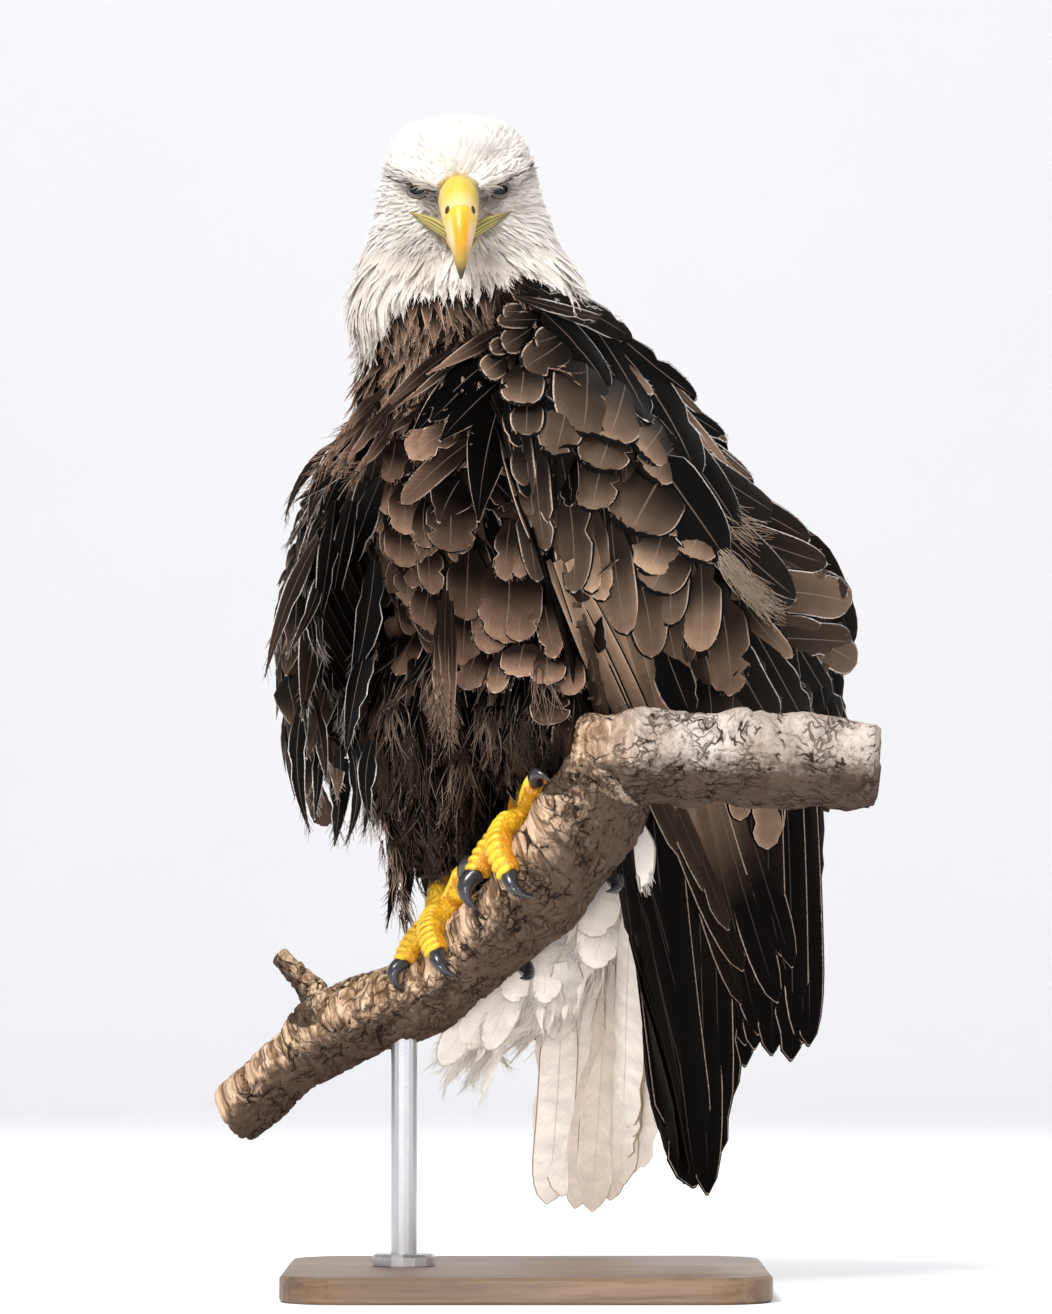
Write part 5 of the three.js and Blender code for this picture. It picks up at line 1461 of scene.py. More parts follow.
class EAGLE_OT_body_feathers(bpy.types.Operator):
    """Lays the brown feathers of the neck, breast, belly and back"""

    bl_idname = "eagle.body_feathers"
    bl_label = "Body feathers"

    def execute(self, context):
        skin, s = body_skin(), sizes()
        middle = skin.points[skin.triangles].mean(1)
        hem = whiteness(middle - mm(0, 0, 9)) > 0.5
        rear = (middle - SHOULDERS) @ BEHIND
        height = middle[:, 2]
        trunk = owned("trunk", "neck", "head") * ~hem
        ahead = rear < 0.045 + 0.45 * (0.59 - height)
        trunk = trunk * ~(ahead & (middle[:, 0] > 0.45 * (0.69 - height) - 0.012) & (height > 0.56))
        parts = (
            ("neck", trunk * (height > 0.600) * ahead, 0.0060, 0.026, 0.0085, "lance", 12),
            ("breast", trunk * (height <= 0.600) * (height > 0.455) * ahead, 0.0120, s.breast_feather, 0.0215,
             "round", 7),
            ("belly", trunk * (height <= 0.455) * ahead, 0.0120, 0.044, 0.0170, "lance", 9),
            ("back", trunk * ~ahead, 0.0135, 0.044, 0.0240, "round", 3),
        )
        for seed, (name, part, spacing, length, width, kind, loose) in enumerate(parts, 30):
            roots, normals, _ = skin.scatter(spacing, part, seed)
            x, z = roots[:, 0], roots[:, 2]
            drift = swirl(roots, 0.05, 9)
            # painted shade: the breast feathers past the diagonal fold are darker
            fold = ease(x + 0.9 * z, 0.44, 0.50) * ease(0.60 - z, 0.0, 0.05)
            if name == "neck":
                tint = 0.46 + 0.5 * drift[:, 0] + 0.15 * ease(z, 0.60, 0.65)
            elif name == "breast":
                tint = 0.2 + 0.25 * drift[:, 0] - 0.35 * fold
            elif name == "belly":
                tint = 0.02 + 0.10 * drift[:, 0]
            else:
                tint = 0.22 + 0.1 * drift[:, 0]
            piece = Plumage()
            under = ease(whiteness(roots - (0, 0, 0.03)), 0.2, 0.8)
            coat(piece, roots, normals, trunk_heading(roots), length, width, kind, BROAD, seed,
                 rise=(0.0004, (0.0040 if name == "breast" else 0.0065) - 0.0035 * under), scatter=0.22,
                 ruffle=0.28, tint=tint,
                 worn=0.6 if name in ("breast", "neck") else 0.25,
                 home=around(roots, SHOULDERS, 0.28, 0.70), loose=loose, barb_length=s.barb, curl=0.004,
                 droop=0.05 if name == "belly" else 0.0)
            if name == "breast":
                drawn(piece, FOLD, "lance", 40, root_lift=-0.001, tip_lift=0.004, step=0.0004, worn=0.9,
                      loose=4)
                drawn(piece, BREAST, "round", 43, shadow_skirt=0.0012, root_lift=-0.003, tip_lift=0.004,
                      step=0.00008, loose=16,
                      barb_length=s.barb, tears=0.1, worn=0.75)
                drawn(piece, STRINGY, "lance", 46, root_lift=0.002, tip_lift=0.006, loose=30, forward=0.025,
                      barb_length=0.02,
                      tears=0.3, worn=0.4)
            if name == "belly":
                wisps(piece, ((-92, 405, 10), (-25, 400, -5), (-60, 440, 0), (10, 430, 5), (-45, 370, 0)), 24,
                      48,
                      spread=26, reach=(18, 42), tone=0.3, worn=0.1)
                wisps(piece, ((-50, 410, 0), (-80, 380, 0), (0, 390, 0), (20, 380, 0), (-100, 370, -5)), 50,
                      49,
                      spread=18, reach=(18, 42), tone=0.02, worn=-0.3)
            finish_piece(piece.build(name + "_feathers", brown_feathers()), "brown_plumage")
        return {"FINISHED"}


class EAGLE_OT_leg_feathers(bpy.types.Operator):
    """Lays the loose dark feathers of the thighs and shanks"""

    bl_idname = "eagle.leg_feathers"
    bl_label = "Leg feathers"

    def execute(self, context):
        skin, s = body_skin(), sizes()
        for k, name in enumerate(("left", "right")):
            part = owned("thigh_" + name)
            roots, normals, _ = skin.scatter(0.0092, part, 50 + k)
            grip = grip_frame(FEET[name][0])
            foot = grip["point"] + grip["up"] * (grip["radius"] + SOLE * MM)
            away = np.linalg.norm(roots - foot, axis=1)
            size = blend(0.25, 1.0, ease(away, 0.03, 0.13))
            flow = DOWN + unit(foot - roots) * 0.5 + 0.35 * swirl(roots, 0.06, 5)
            piece = Plumage()
            coat(piece, roots, normals, flow, s.thigh_feather * size, 0.0120 * blend(0.6, 1, size), "lance",
                 BROAD,
                 52 + k, rise=(0.0006, 0.0075), scatter=0.25, ruffle=0.4, tint=0.03, worn=0.1,
                 home=around(roots, foot, 0.24, 0.48), loose=10, barb_length=s.barb * 2, droop=0.06,
                 tears=0.25,
                 curl=0.004, stiff=3)
            if name == "left":
                drawn(piece, LEGS, "lance", 58, root_lift=-0.012, tip_lift=-0.012, step=0.0002, loose=30,
                      barb_length=0.012, tears=0.3, worn=0.1, forward=-0.01)
            if name == "right":
                wisps(piece, ((-100, 330, 4), (-95, 310, 6), (-90, 292, 10), (-86, 276, 14), (-84, 262, 18)),
                      26, 56,
                      spread=22, reach=(10, 24), tone=0.95)
            finish_piece(piece.build(f"thigh_{name}_feathers", brown_feathers()), "dark_plumage")
        return {"FINISHED"}


# ---------------------------------------------------------------- wings
def wing_surface(wing, rows=36, columns=48, shoulder=False):
    """The wing's outer face as a surface, and a function from place and share to a point of it."""
    roots = wing["shoulder_roots" if shoulder else "roots"]
    tips = wing["shoulder_tips" if shoulder else "tips"]
    out = unit(wing["shoulder_outward" if shoulder else "outward"])
    bulge = 0.020 if shoulder else wing["bulge"]

    def point(place, share, lift=0.0):
        place, share = np.asarray(place, float), np.asarray(share, float)
        root, tip = curve(roots, place), curve(tips, place)
        swell = bulge * np.sin(math.pi * np.clip(share, 0, 1) ** 0.8)
        return root + (tip - root) * share[..., None] + out * (swell + lift)[..., None]

    place, share = np.meshgrid(np.linspace(0, 1, columns), np.linspace(0, 1, rows), indexing="ij")
    points = point(place, share).reshape(-1, 3)
    a = (np.arange(columns - 1)[:, None] * rows + np.arange(rows - 1)).ravel()
    quads = np.stack([a, a + rows, a + rows + 1, a + 1], 1)
    triangles = np.vstack([quads[:, [0, 1, 2]], quads[:, [0, 2, 3]]])
    normal = np.cross(points[triangles[:, 1]] - points[triangles[:, 0]],
                      points[triangles[:, 2]] - points[triangles[:, 0]])
    if (normal @ out).sum() < 0:
        triangles = triangles[:, ::-1]
    return Surface(points, triangles), point


def flight_row(plumage, surface, point, first, last, count, width, seed, *, tone, tips=0.0, lift=0.0,
               roll=0.14,
               fan=0.0, worn=-0.2, kind="flight"):
    """Long stiff feathers, each from its own root to its own tip on the wing."""
    rng = np.random.default_rng(seed)
    place = np.linspace(first, last, count)
    stations = LONG
    share = np.broadcast_to(stations, (count, len(stations)))
    where = place[:, None] + (stations[None] - 1) * fan
    reach = 1 - np.abs(rng.normal(0, 0.012, count)) - tips
    spine = point(np.broadcast_to(where, share.shape), share * reach[:, None], lift)
    _, normal, _ = surface.near(spine.reshape(-1, 3))
    up = normal.reshape(spine.shape)
    home = np.stack([0.03 + 0.94 * place, np.full(count, 0.5)], 1)
    size = np.stack([np.full(count, 0.8 * 0.94 * abs(last - first) / count), np.full(count, 0.9)], 1)
    tint = np.clip(tone + rng.normal(0, 0.015, count), 0, 1)
    plumage.add(spine, up, width, kind, stations, across=7, camber=0.07, roll=roll, tears=0.06, seed=seed + 1,
                tint=tint, worn=worn, home=home, patch=size)


class EAGLE_OT_wing_feathers(bpy.types.Operator):
    """Lays each wing's flight feathers, its rows of coverts and the scapulars of the shoulder"""

    bl_idname = "eagle.wing_feathers"
    bl_label = "Wing feathers"

    def execute(self, context):
        skin, s = body_skin(), sizes()
        for k, (name, wing) in enumerate(WINGS.items()):
            left = name == "left"
            hand = 1 if left else -1
            surface, point = wing_surface(wing)
            seconds = Plumage()
            flight_row(seconds, surface, point, 0.0, WRIST, s.secondaries, 0.034, 70 + k, tone=0.0,
                       roll=0.16 * hand, lift=-0.002 if left else 0.0)
            if left:
                drawn(seconds, FLIGHT, "flight", 72, shadow_skirt=0.0014, root_lift=0.001, tip_lift=0.002,
                      step=0.0002, camber=0.06,
                      roll=0.10, facing=0.25, bow=0.01, worn=0.7)
            made = seconds.build(f"wing_{name}_secondary_feathers", flight_feathers())
            finish_piece(made, "flight_feathers", f"wing_{name}_secondaries")
            firsts = Plumage()
            flight_row(firsts, surface, point, WRIST + 0.01, 1.0, s.primaries, 0.030, 80 + k, tone=0.0,
                       roll=0.16 * hand, lift=-0.005)
            made = firsts.build(f"wing_{name}_primary_feathers", flight_feathers())
            finish_piece(made, "flight_feathers", f"wing_{name}_primaries")

            part = owned(f"wing_{name}_coverts")
            arm = wing["roots"][5] if left else wing["roots"][4]
            outer = skin.normals @ unit(wing["outward"]) > (-0.1 if left else -0.5)
            middle = skin.points[skin.triangles].mean(1)
            low = ease(arm[2] - middle[:, 2], 0.03, 0.09) > 0.5
            lesser = Plumage()
            for n, (where, spacing, length, width) in enumerate(((part * outer * low, 0.020, 0.060, 0.026),
                                                                 (part * outer * ~low, 0.0125, 0.030,
                                                                  0.020))):
                if left:  # the drawn coverts have the front of this wing
                    where = where * ((middle[:, 0] > 0.09) | (middle[:, 2] > 0.52))
                else:
                    length, where = 0.6 * length, where * (middle[:, 2] > 0.36)
                roots, normals, _ = skin.scatter(spacing, where, 140 + 4 * k + n)
                flow = DOWN * 0.9 + unit(roots - arm) * 0.5 + 0.15 * swirl(roots, 0.06, 8)
                coat(lesser, roots, normals, flow, length, width, "round" if left else "lance", BROAD,
                     150 + 4 * k + n,
                     rise=(0.0004, 0.0022 if left else 0.005), scatter=0.08, ruffle=0.08,
                     tint=0.04 if left else 0.15,
                     worn=0.3, home=around(roots, arm, 0.3, 0.68), tears=0.05)
            finish_piece(lesser.build(f"wing_{name}_covert_feathers", wing_feathers()), "brown_plumage")

            blades, over = wing_surface(wing, 16, 24, shoulder=True)
            scapulars = Plumage()
            for n in range(4):
                flight_row(scapulars, blades, over, 0.0, 1.0, 9, 0.028, 120 + 10 * k + n, tone=0.02, worn=0.5,
                           tips=0.24 * n, lift=0.002 * n, roll=0.12 * hand, kind="round")
            finish_piece(scapulars.build(f"wing_{name}_scapular_feathers", scapular_feathers()),
                         "brown_plumage")
        front = Plumage()
        drawn(front, LEFT_COVERTS, "round", 150, shadow_skirt=0.0017, root_lift=-0.001, tip_lift=0.005, step=0.0001,
              loose=10,
              barb_length=0.003, cells=True, camber=0.12)
        finish_piece(front.build("wing_left_front_coverts", wing_feathers()), "brown_plumage")
        ridge = Plumage()
        drawn(ridge, SCAPULARS, "round", 153, shadow_skirt=0.0008, root_lift=0.0015, tip_lift=0.007, step=0.0001,
              loose=8,
              barb_length=0.005, cells=True, facing=0.3)
        drawn(ridge, TERTIALS, "flight", 156, shadow_skirt=0.001, root_lift=0.0, tip_lift=0.005, step=0.0004,
              loose=10,
              barb_length=0.006, facing=0.3)
        finish_piece(ridge.build("wing_left_scapulars_and_tertials", scapular_feathers()), "brown_plumage")
        downy = Plumage()
        wisps(downy, ((132, 510, 36), (138, 500, 42), (144, 490, 48), (150, 482, 56)), 80, 159,
              spread=17, reach=(10, 32), tone=0.1, lift=(0.005, 0.010), worn=-0.3)
        wisps(downy, ((128, 540, 55), (136, 530, 60)), 40, 160, spread=22, reach=(14, 32), tone=0.0,
              lift=(0.005, 0.009), worn=-0.3)
        finish_piece(downy.build("wing_left_down", tail_material()), "brown_plumage")
        hanging = Plumage()
        drawn(hanging, LONG_BLACK, "lance", 162, root_lift=-0.001, tip_lift=0.004, step=0.0002, loose=16,
              fray=0.9, worn=1.0,
              barb_length=0.012, facing=0.6, tears=0.15, stiff=1, bow=0.06,
              forward=np.where(np.array(LONG_BLACK)[:, 3:4] > 450, 0.015, 0.07))
        finish_piece(hanging.build("wing_right_hanging_feathers", scapular_feathers()), "dark_plumage")
        return {"FINISHED"}


class EAGLE_OT_tail_feathers(bpy.types.Operator):
    """Lays the white tail feathers and the loose feathers under the tail's root"""

    bl_idname = "eagle.tail_feathers"
    bl_label = "Tail feathers"

    def execute(self, context):
        skin, s = body_skin(), sizes()
        rng = np.random.default_rng(160)
        count = s.tail_feathers
        side = np.linspace(-1, 1, count)
        stations = LONG
        spread = blend(0.024, 0.036, stations)[None]
        reach = (0.95 - 0.05 * side**2 - np.abs(rng.normal(0, 0.008, count)))[:, None] * stations[None]
        spine = TAIL_ROOT + (TAIL_TIP - TAIL_ROOT) * reach[..., None]
        spine = spine + TAIL_ACROSS * (side[:, None] * spread)[..., None]
        roof = 0.010 * (1 - side[:, None] ** 2) * (1 - 0.4 * stations[None])
        roof = roof + 0.001 - 0.0015 * np.abs(side[:, None])
        spine[..., 1] += roof
        up = np.zeros_like(spine)
        up[..., 1] = -1
        up[..., 0] = side[:, None] * 0.15
        home = np.stack([0.05 + 0.9 * (side + 1) / 2, np.full(count, 0.5)], 1)
        size = np.stack([np.full(count, 0.6 / count), np.full(count, 0.9)], 1)
        tail = Plumage()
        tail.add(spine, unit(up), 0.027, "flight", stations, across=7, camber=0.05,
                 roll=-0.14 * np.sign(side),
                 tears=0.1, seed=161, tint=np.clip(0.75 + rng.normal(0, 0.08, count), 0, 1), worn=0.5,
                 home=home,
                 patch=size)
        drawn(tail, TAIL, "flight", 163, shadow_skirt=0.0009, root_lift=0.004, tip_lift=0.005, step=0.0008,
              camber=0.10, facing=0.2,
              loose=12, barb_length=0.003, bow=0.008, tears=0.12)
        made = tail.build("tail_feathers", tail_material())
        finish_piece(made, "tail_plumage", "tail")

        roots, normals, _ = skin.scatter(0.0092, owned("undertail_coverts"), 170)
        wind = unit(np.array([-0.35, 0.1, -1.0]))
        flow = wind + 0.3 * swirl(roots, 0.05, 2)
        piece = Plumage()
        coat(piece, roots, normals, flow, 0.05, 0.015, "lance", BROAD, 171, rise=(0.0006, 0.008),
             scatter=0.28,
             ruffle=0.4, tint=0.85, worn=0.5, home=around(roots, mm(0, 88, 230), 0.15, 0.36), loose=12,
             barb_length=0.012, droop=0.03, curl=0.005, stiff=3, tears=0.2)
        drawn(piece, VENT, "round", 174, shadow_skirt=0.0012, root_lift=0.0, tip_lift=0.008, step=0.0006, loose=40,
              barb_length=0.010,
              facing=0.4, tears=0.15)
        wisps(piece, ((35, 240, -60), (30, 215, -50), (-20, 190, -20), (-40, 180, -30), (10, 200, -35)), 40,
              176,
              spread=30, reach=(14, 36), tone=0.9)
        finish_piece(piece.build("undertail_feathers", white_feathers()), "white_plumage")
        return {"FINISHED"}


# ---------------------------------------------------------------- bill and eyes
def bill_rings(rows, count):
    """Sections of the upper bill from its root to the hook."""
    share = np.linspace(0, 1, rows)
    ahead, ridge, deep, wide, lean = (curve(BILL_ROWS[:, k], share)[:, None] for k in range(5))
    angle = np.linspace(0, 2 * math.pi, count, endpoint=False)[None]
    low = np.cos(angle)
    down_y, down_z = np.sin(lean), -np.cos(lean)
    keel = np.where(low < 0, 1 - 0.10 * np.abs(low) ** 3, 1)
    out = wide / 2 * np.sign(np.sin(angle)) * np.abs(np.sin(angle)) ** 0.9 * (1 + 0.12 * low) * keel
    y = -ahead + down_y * deep / 2 * (1 + low)
    z = ridge + down_z * deep / 2 * (1 + low)
    return out, y, z, share[:, None] + 0 * angle


class EAGLE_OT_bill(bpy.types.Operator):
    """Makes the upper and lower bill, the cere with its nostrils and the corners of the mouth"""

    bl_idname = "eagle.bill"
    bl_label = "Bill"

    def execute(self, context):
        c = colours()
        rows, count, cut = 140, 96, 71
        out, y, z, share = bill_rings(rows, count)
        side = np.abs(out)
        slit = ((side - 9.2 + 0.35 * (z + 2.8)) / 1.25) ** 2 + ((z + 2.8) / 2.7) ** 2
        nostril = np.exp(-(slit ** 2)) * (y < -50)
        edge = share * rows - cut
        swell = 0.9 * np.exp(-((edge + 1.8) / 2.0) ** 2) * (edge < 0.5)
        scale = 1 + 0.025 * swell - 0.16 * nostril
        middle = 0.5 * (z.max(1, keepdims=True) + z.min(1, keepdims=True))
        z = middle + (z - middle) * (1 + swell * 0.025)
        turned = 2.2 * ease(-y, 20, 85)
        rings = on_head(out * scale + turned, y, z)
        low = np.broadcast_to(np.cos(np.linspace(0, 2 * math.pi, count, endpoint=False)), share.shape)

        def horn(tree, beak):
            given = tree.node("ShaderNodeAttribute", {"attribute_name": "horn"})
            parts = tree.node("ShaderNodeSeparateColor", {}, {0: given.outputs["Color"]})
            where = tree.node("ShaderNodeTexCoord").outputs["Object"]
            stretch = tree.node("ShaderNodeMapping", {}, {"Vector": where, "Scale": (1, 1, 0.25)})
            grain = tree.noise(stretch.outputs[0], 420.0, 4.0, 0.6)
            pores = tree.noise(where, 900.0, 3.0)
            if beak:
                flank = tree.between(parts.outputs[1], 0.04, 0.20, 0.0, 1.0)
                colour = tree.mix(flank, (*c.bill, 1), (0.80, 0.58, 0.36, 1))
                crest = tree.between(parts.outputs[0], 0.5, 0.66, 1.0, 0.0)
                colour = tree.mix(crest, colour, (0.80, 0.50, 0.04, 1))
                olive = tree.between(parts.outputs[0], 0.66, 0.84)
                colour = tree.mix(olive, colour, (0.36, 0.25, 0.05, 1))
                colour = tree.mix(tree.math("MULTIPLY", grain, 0.3), colour, (0.80, 0.44, 0.015, 1))
                tip = tree.between(tree.math("ADD", parts.outputs[0], tree.math("MULTIPLY", grain, 0.06)),
                                   0.83, 0.97)
                colour = tree.mix(tip, colour, (0.05, 0.035, 0.02, 1))
            else:
                colour = tree.mix(pores, (0.66, 0.45, 0.015, 1), (*c.cere, 1))
                flank = tree.between(parts.outputs[1], 0.10, 0.4, 0.0, 1.0)
                colour = tree.mix(tree.math("MULTIPLY", flank, 0.6), colour, (0.70, 0.58, 0.28, 1))
                colour = tree.mix(tree.between(parts.outputs[0], 0.36, 0.5), colour, (0.80, 0.56, 0.22, 1))
                # painted shade: the nostrils' dents are dark for the depth of the openings
                colour = tree.mix(tree.between(parts.outputs[2], 0.25, 0.55), colour, (0.03, 0.015, 0.005, 1))
            return colour, tree.math("MULTIPLY_ADD", pores, 0.2, 0.25), tree.math("ADD", grain, pores), 0.0002

        beak = surface_material("Horn of the bill", lambda tree: horn(tree, True), 0.32, 0.4,
                                Subsurface_Weight=0.1,
                                Subsurface_Scale=0.004, Coat_Weight=0.15, Coat_Roughness=0.25)
        soft = surface_material("Skin of the cere", lambda tree: horn(tree, False), 0.4, 0.35,
                                Subsurface_Weight=0.1,
                                Subsurface_Scale=0.004)
        for name, rows_of, material, slot, node in (
            ("bill_upper_horn", slice(cut, rows), beak, "bill_horn", "bill_upper"),
            ("cere_skin", slice(0, cut + 1), soft, "bare_skin", "cere"),
        ):
            points, quads, fans = loft(rings[rows_of])
            mesh, _ = mesh_from(name, points, [quads, fans])
            outward(mesh)
            parts = np.stack([share, (1 + low) / 2, nostril, np.ones_like(share)], -1)[rows_of]
            parts = np.vstack([parts.reshape(-1, 4), parts[0].mean(0), parts[-1].mean(0)])
            give_colour(mesh, "horn", parts)
            finish_piece(new_object(name, mesh, material), slot, node)

        # the lower bill, a trough behind the hook
        path = on_head(0.8, curve([-22, -36, -52, -68], np.linspace(0, 1, 30)),
                       curve([-21, -23, -25, -23], np.linspace(0, 1, 30)))
        radii = curve([12, 11, 9, 4], np.linspace(0, 1, 30)) * MM
        rings = tube_rings(path, radii, 26, up=on_head(0, 0, 1) - EYES,
                           shape=lambda t, a: 0.94 + 0.05 * np.cos(2 * a))
        points, quads, fans = loft(rings)
        mesh, _ = mesh_from("bill_lower_horn", points, [quads, fans])
        outward(mesh)
        along = np.concatenate([np.repeat(np.linspace(0, 1, 30), 26), [0, 1]])
        give_colour(mesh, "horn", np.stack([along * 0.5 + 0.4, along * 0 + 0.8, along * 0, along * 0 + 1], 1))
        finish_piece(new_object("bill_lower_horn", mesh, beak), "bill_horn", "bill_lower")

        # the soft corners of the mouth, pleated lengthwise
        def pleats(tree):
            given = tree.node("ShaderNodeAttribute", {"attribute_name": "pleat"})
            parts = tree.node("ShaderNodeSeparateColor", {}, {0: given.outputs["Color"]})
            where = tree.node("ShaderNodeTexCoord").outputs["Object"]
            folds = tree.noise(where, 700.0, 3.0)
            colour = tree.mix(folds, (0.30, 0.25, 0.05, 1), (0.52, 0.43, 0.15, 1))
            # painted shade: the grooves between the pleats are dark
            colour = tree.mix(tree.between(parts.outputs[0], 0.2, 0.9), (0.05, 0.035, 0.015, 1), colour)
            return colour, None, folds, 0.0002

        yellow = surface_material("Soft skin of the mouth", pleats, 0.45, 0.35, Subsurface_Weight=0.1,
                                  Subsurface_Scale=0.003)
        angle = np.linspace(0, 2 * math.pi, 108, endpoint=False)
        groove = 1 - np.exp(-((np.cos(angle * 9) - 1) / 0.22) ** 2)
        for name, left in (("left", 1), ("right", -1)):
            t = np.linspace(0, 1, 40)
            path = on_head(left * curve([7, 18, 35], t) + 1.0, curve([-47, -29, -9], t),
                           curve([-21, -18, -14], t))
            radii = curve([4.6, 4.2, 0.5], t) * MM
            rings = tube_rings(path, radii, 108, up=on_head(0, 0, 1) - EYES, shape=lambda s, a: (
                1 - 0.30 * np.sin(a) ** 2) * (0.86 + 0.14 * groove[None]))
            points, quads, fans = loft(rings)
            mesh, _ = mesh_from("mouth_corner_" + name, points, [quads, fans])
            outward(mesh)
            depth = np.concatenate([np.tile(groove, 40), [1, 1]])
            give_colour(mesh, "pleat", np.stack([depth, depth, depth, depth * 0 + 1], 1))
            finish_piece(new_object("mouth_corner_" + name, mesh, yellow), "bare_skin", "gape_" + name)
        return {"FINISHED"}


class EAGLE_OT_eyes(bpy.types.Operator):
    """Makes the eyes and the lids round them"""

    bl_idname = "eagle.eyes"
    bl_label = "Eyes"

    def execute(self, context):
        c = colours()

        def ball(tree):
            gaze = tree.node("ShaderNodeAttribute", {"attribute_name": "gaze"})
            parts = tree.node("ShaderNodeSeparateColor", {}, {0: gaze.outputs["Color"]})
            where = tree.node("ShaderNodeTexCoord").outputs["Object"]
            fibres = tree.noise(where, 1600.0, 3.0)
            angle = parts.outputs[0]
            iris = tree.mix(fibres, (*(v * 0.5 for v in c.iris), 1), (*c.iris, 1))
            colour = tree.mix(tree.between(angle, 0.15, 0.165), (0.001, 0.001, 0.001, 1), iris)
            colour = tree.mix(tree.between(angle, 0.205, 0.23), colour, (0.006, 0.004, 0.003, 1))
            return colour, None, None, 0

        eye_material = surface_material("Eye", ball, 0.05, 0.22, Coat_Weight=0.12, Coat_Roughness=0.02)

        def lid(tree):
            given = tree.node("ShaderNodeAttribute", {"attribute_name": "fold"})
            parts = tree.node("ShaderNodeSeparateColor", {}, {0: given.outputs["Color"]})
            where = tree.node("ShaderNodeTexCoord").outputs["Object"]
            folds = tree.noise(where, 1100.0, 4.0, 0.7)
            colour = tree.mix(folds, (0.012, 0.009, 0.008, 1), (0.07, 0.055, 0.048, 1))
            # painted light and shade: the lid is pale on the rim and the ridges of its folds and dark in the
            # creases between them
            colour = tree.mix(parts.outputs[0], colour, (0.42, 0.37, 0.33, 1))
            return colour, None, folds, 0.0003

        lid_material = surface_material("Skin of the lids", lid, 0.6, 0.3)
        around_eye, ring_count = 72, 22
        for name, left in (("left", 1), ("right", -1)):
            centre = on_head(left * EYE_OUT, -1, 0)
            gaze = eye_gaze(left)
            side = unit(np.cross(gaze, (0, 0, 1)))
            over = np.cross(side, gaze)
            polar = np.linspace(0, math.pi, 26)[1:-1]
            angle = np.linspace(0, 2 * math.pi, 36, endpoint=False)
            bulge = 1 + 0.05 * np.exp(-((polar / 0.5) ** 2))
            rings = centre + EYE_RADIUS * MM * bulge[:, None, None] * (
                np.cos(polar)[:, None, None] * gaze
                + np.sin(polar)[:, None, None] * (
                    np.cos(angle)[None, :, None] * side + np.sin(angle)[None, :, None] * over))
            points, quads, fans = loft(rings)
            points[-2] = centre + gaze * EYE_RADIUS * MM * 1.05
            points[-1] = centre - gaze * EYE_RADIUS * MM
            mesh, _ = mesh_from("eyeball_" + name, points, [quads, fans])
            outward(mesh)
            angles = np.concatenate([np.repeat(polar, 36), [0, math.pi]]) / math.pi
            give_colour(mesh, "gaze", np.stack([angles, angles, angles, angles * 0 + 1], 1))
            finish_piece(new_object("eyeball_" + name, mesh, eye_material), "eye", "eye_" + name)

            # folded skin over the ball, open in an almond that the brow overhangs
            turn = np.linspace(0, 2 * math.pi, around_eye, endpoint=False)
            tilt = turn + left * 0.22
            wide = 0.46 * np.abs(np.cos(tilt)) ** 1.1 * np.sign(np.cos(tilt))
            tall = np.where(np.sin(tilt) > 0, 0.24, 0.31) * np.sin(tilt)
            opening = np.hypot(wide, tall - 0.02)
            start = np.arcsin(np.clip(opening, 0.05, 0.98))[None]
            t = np.concatenate([np.linspace(0, 1, ring_count), np.linspace(1, 0, 6)[1:-1]])[:, None]
            inner = np.concatenate([np.zeros(ring_count), np.ones(4)])[:, None]
            tilted = start + 0.5 * t
            fold = 0.022 * np.cos(t * 20) * (1 - t) * (1 - inner)
            reach = EYE_RADIUS * MM * (1.095 + fold - 0.12 * t**2 - 0.06 * inner)
            across = np.cos(np.arctan2(tall - 0.02, wide))[None]
            high = np.sin(np.arctan2(tall - 0.02, wide))[None]
            rings = centre + reach[..., None] * (
                np.cos(tilted)[..., None] * gaze
                + np.sin(tilted)[..., None] * (across[..., None] * side + high[..., None] * over))
            total, n = rings.shape[0], around_eye
            a = np.arange(total)[:, None] * n + np.arange(n)
            b = np.arange(total)[:, None] * n + (np.arange(n) + 1) % n
            quads = np.stack([a, b, np.roll(b, -1, 0), np.roll(a, -1, 0)], -1).reshape(-1, 4)
            mesh, _ = mesh_from("eyelids_" + name, rings.reshape(-1, 3), [quads])
            outward(mesh)
            # painted light and shade on the folds: pale where each fold rises, dark in the creases
            pale = np.broadcast_to((0.5 + 0.5 * np.cos(t * 20)) * (1 - t) * (1 - inner),
                                   (total, n)).reshape(-1)
            give_colour(mesh, "fold", np.stack([pale, pale, pale, pale * 0 + 1], 1))
            finish_piece(new_object("eyelids_" + name, mesh, lid_material), "bare_skin")
        return {"FINISHED"}


# ---------------------------------------------------------------- feet
def grip_frame(share):
    """The branch's frame where a foot grips: along it, out through the foot and over the front."""
    point = curve(SLOPE, share)
    along = unit(curve(SLOPE, share + 0.01) - curve(SLOPE, share - 0.01))
    up = unit(np.array([0, 0, 1]) - along * along[2])
    over = unit(np.cross(along, up))
    if over[1] > 0:
        over = -over
    return {"point": point, "along": along, "up": up, "over": over,
            "radius": float(curve(SLOPE_RADII, share))}


def round_branch(grip, degrees, shift, height):
    """Points round the branch: turned over the front, shifted along it and above the bark."""
    angle = np.radians(np.asarray(degrees, float))[..., None]
    reach = grip["radius"] + np.asarray(height, float)[..., None] * MM
    return (grip["point"] + grip["along"] * np.asarray(shift, float)[..., None] * MM
            + grip["up"] * np.cos(angle) * reach + grip["over"] * np.sin(angle) * reach)


def toe_path(grip, toe, share):
    splay, turn, _, _, _, rise = toe
    return round_branch(grip, -4 + (turn + 4) * share, splay * np.maximum(share, 0) ** 0.85,
                        SOLE + (TOE_LIE - SOLE) * share + rise * share**2)


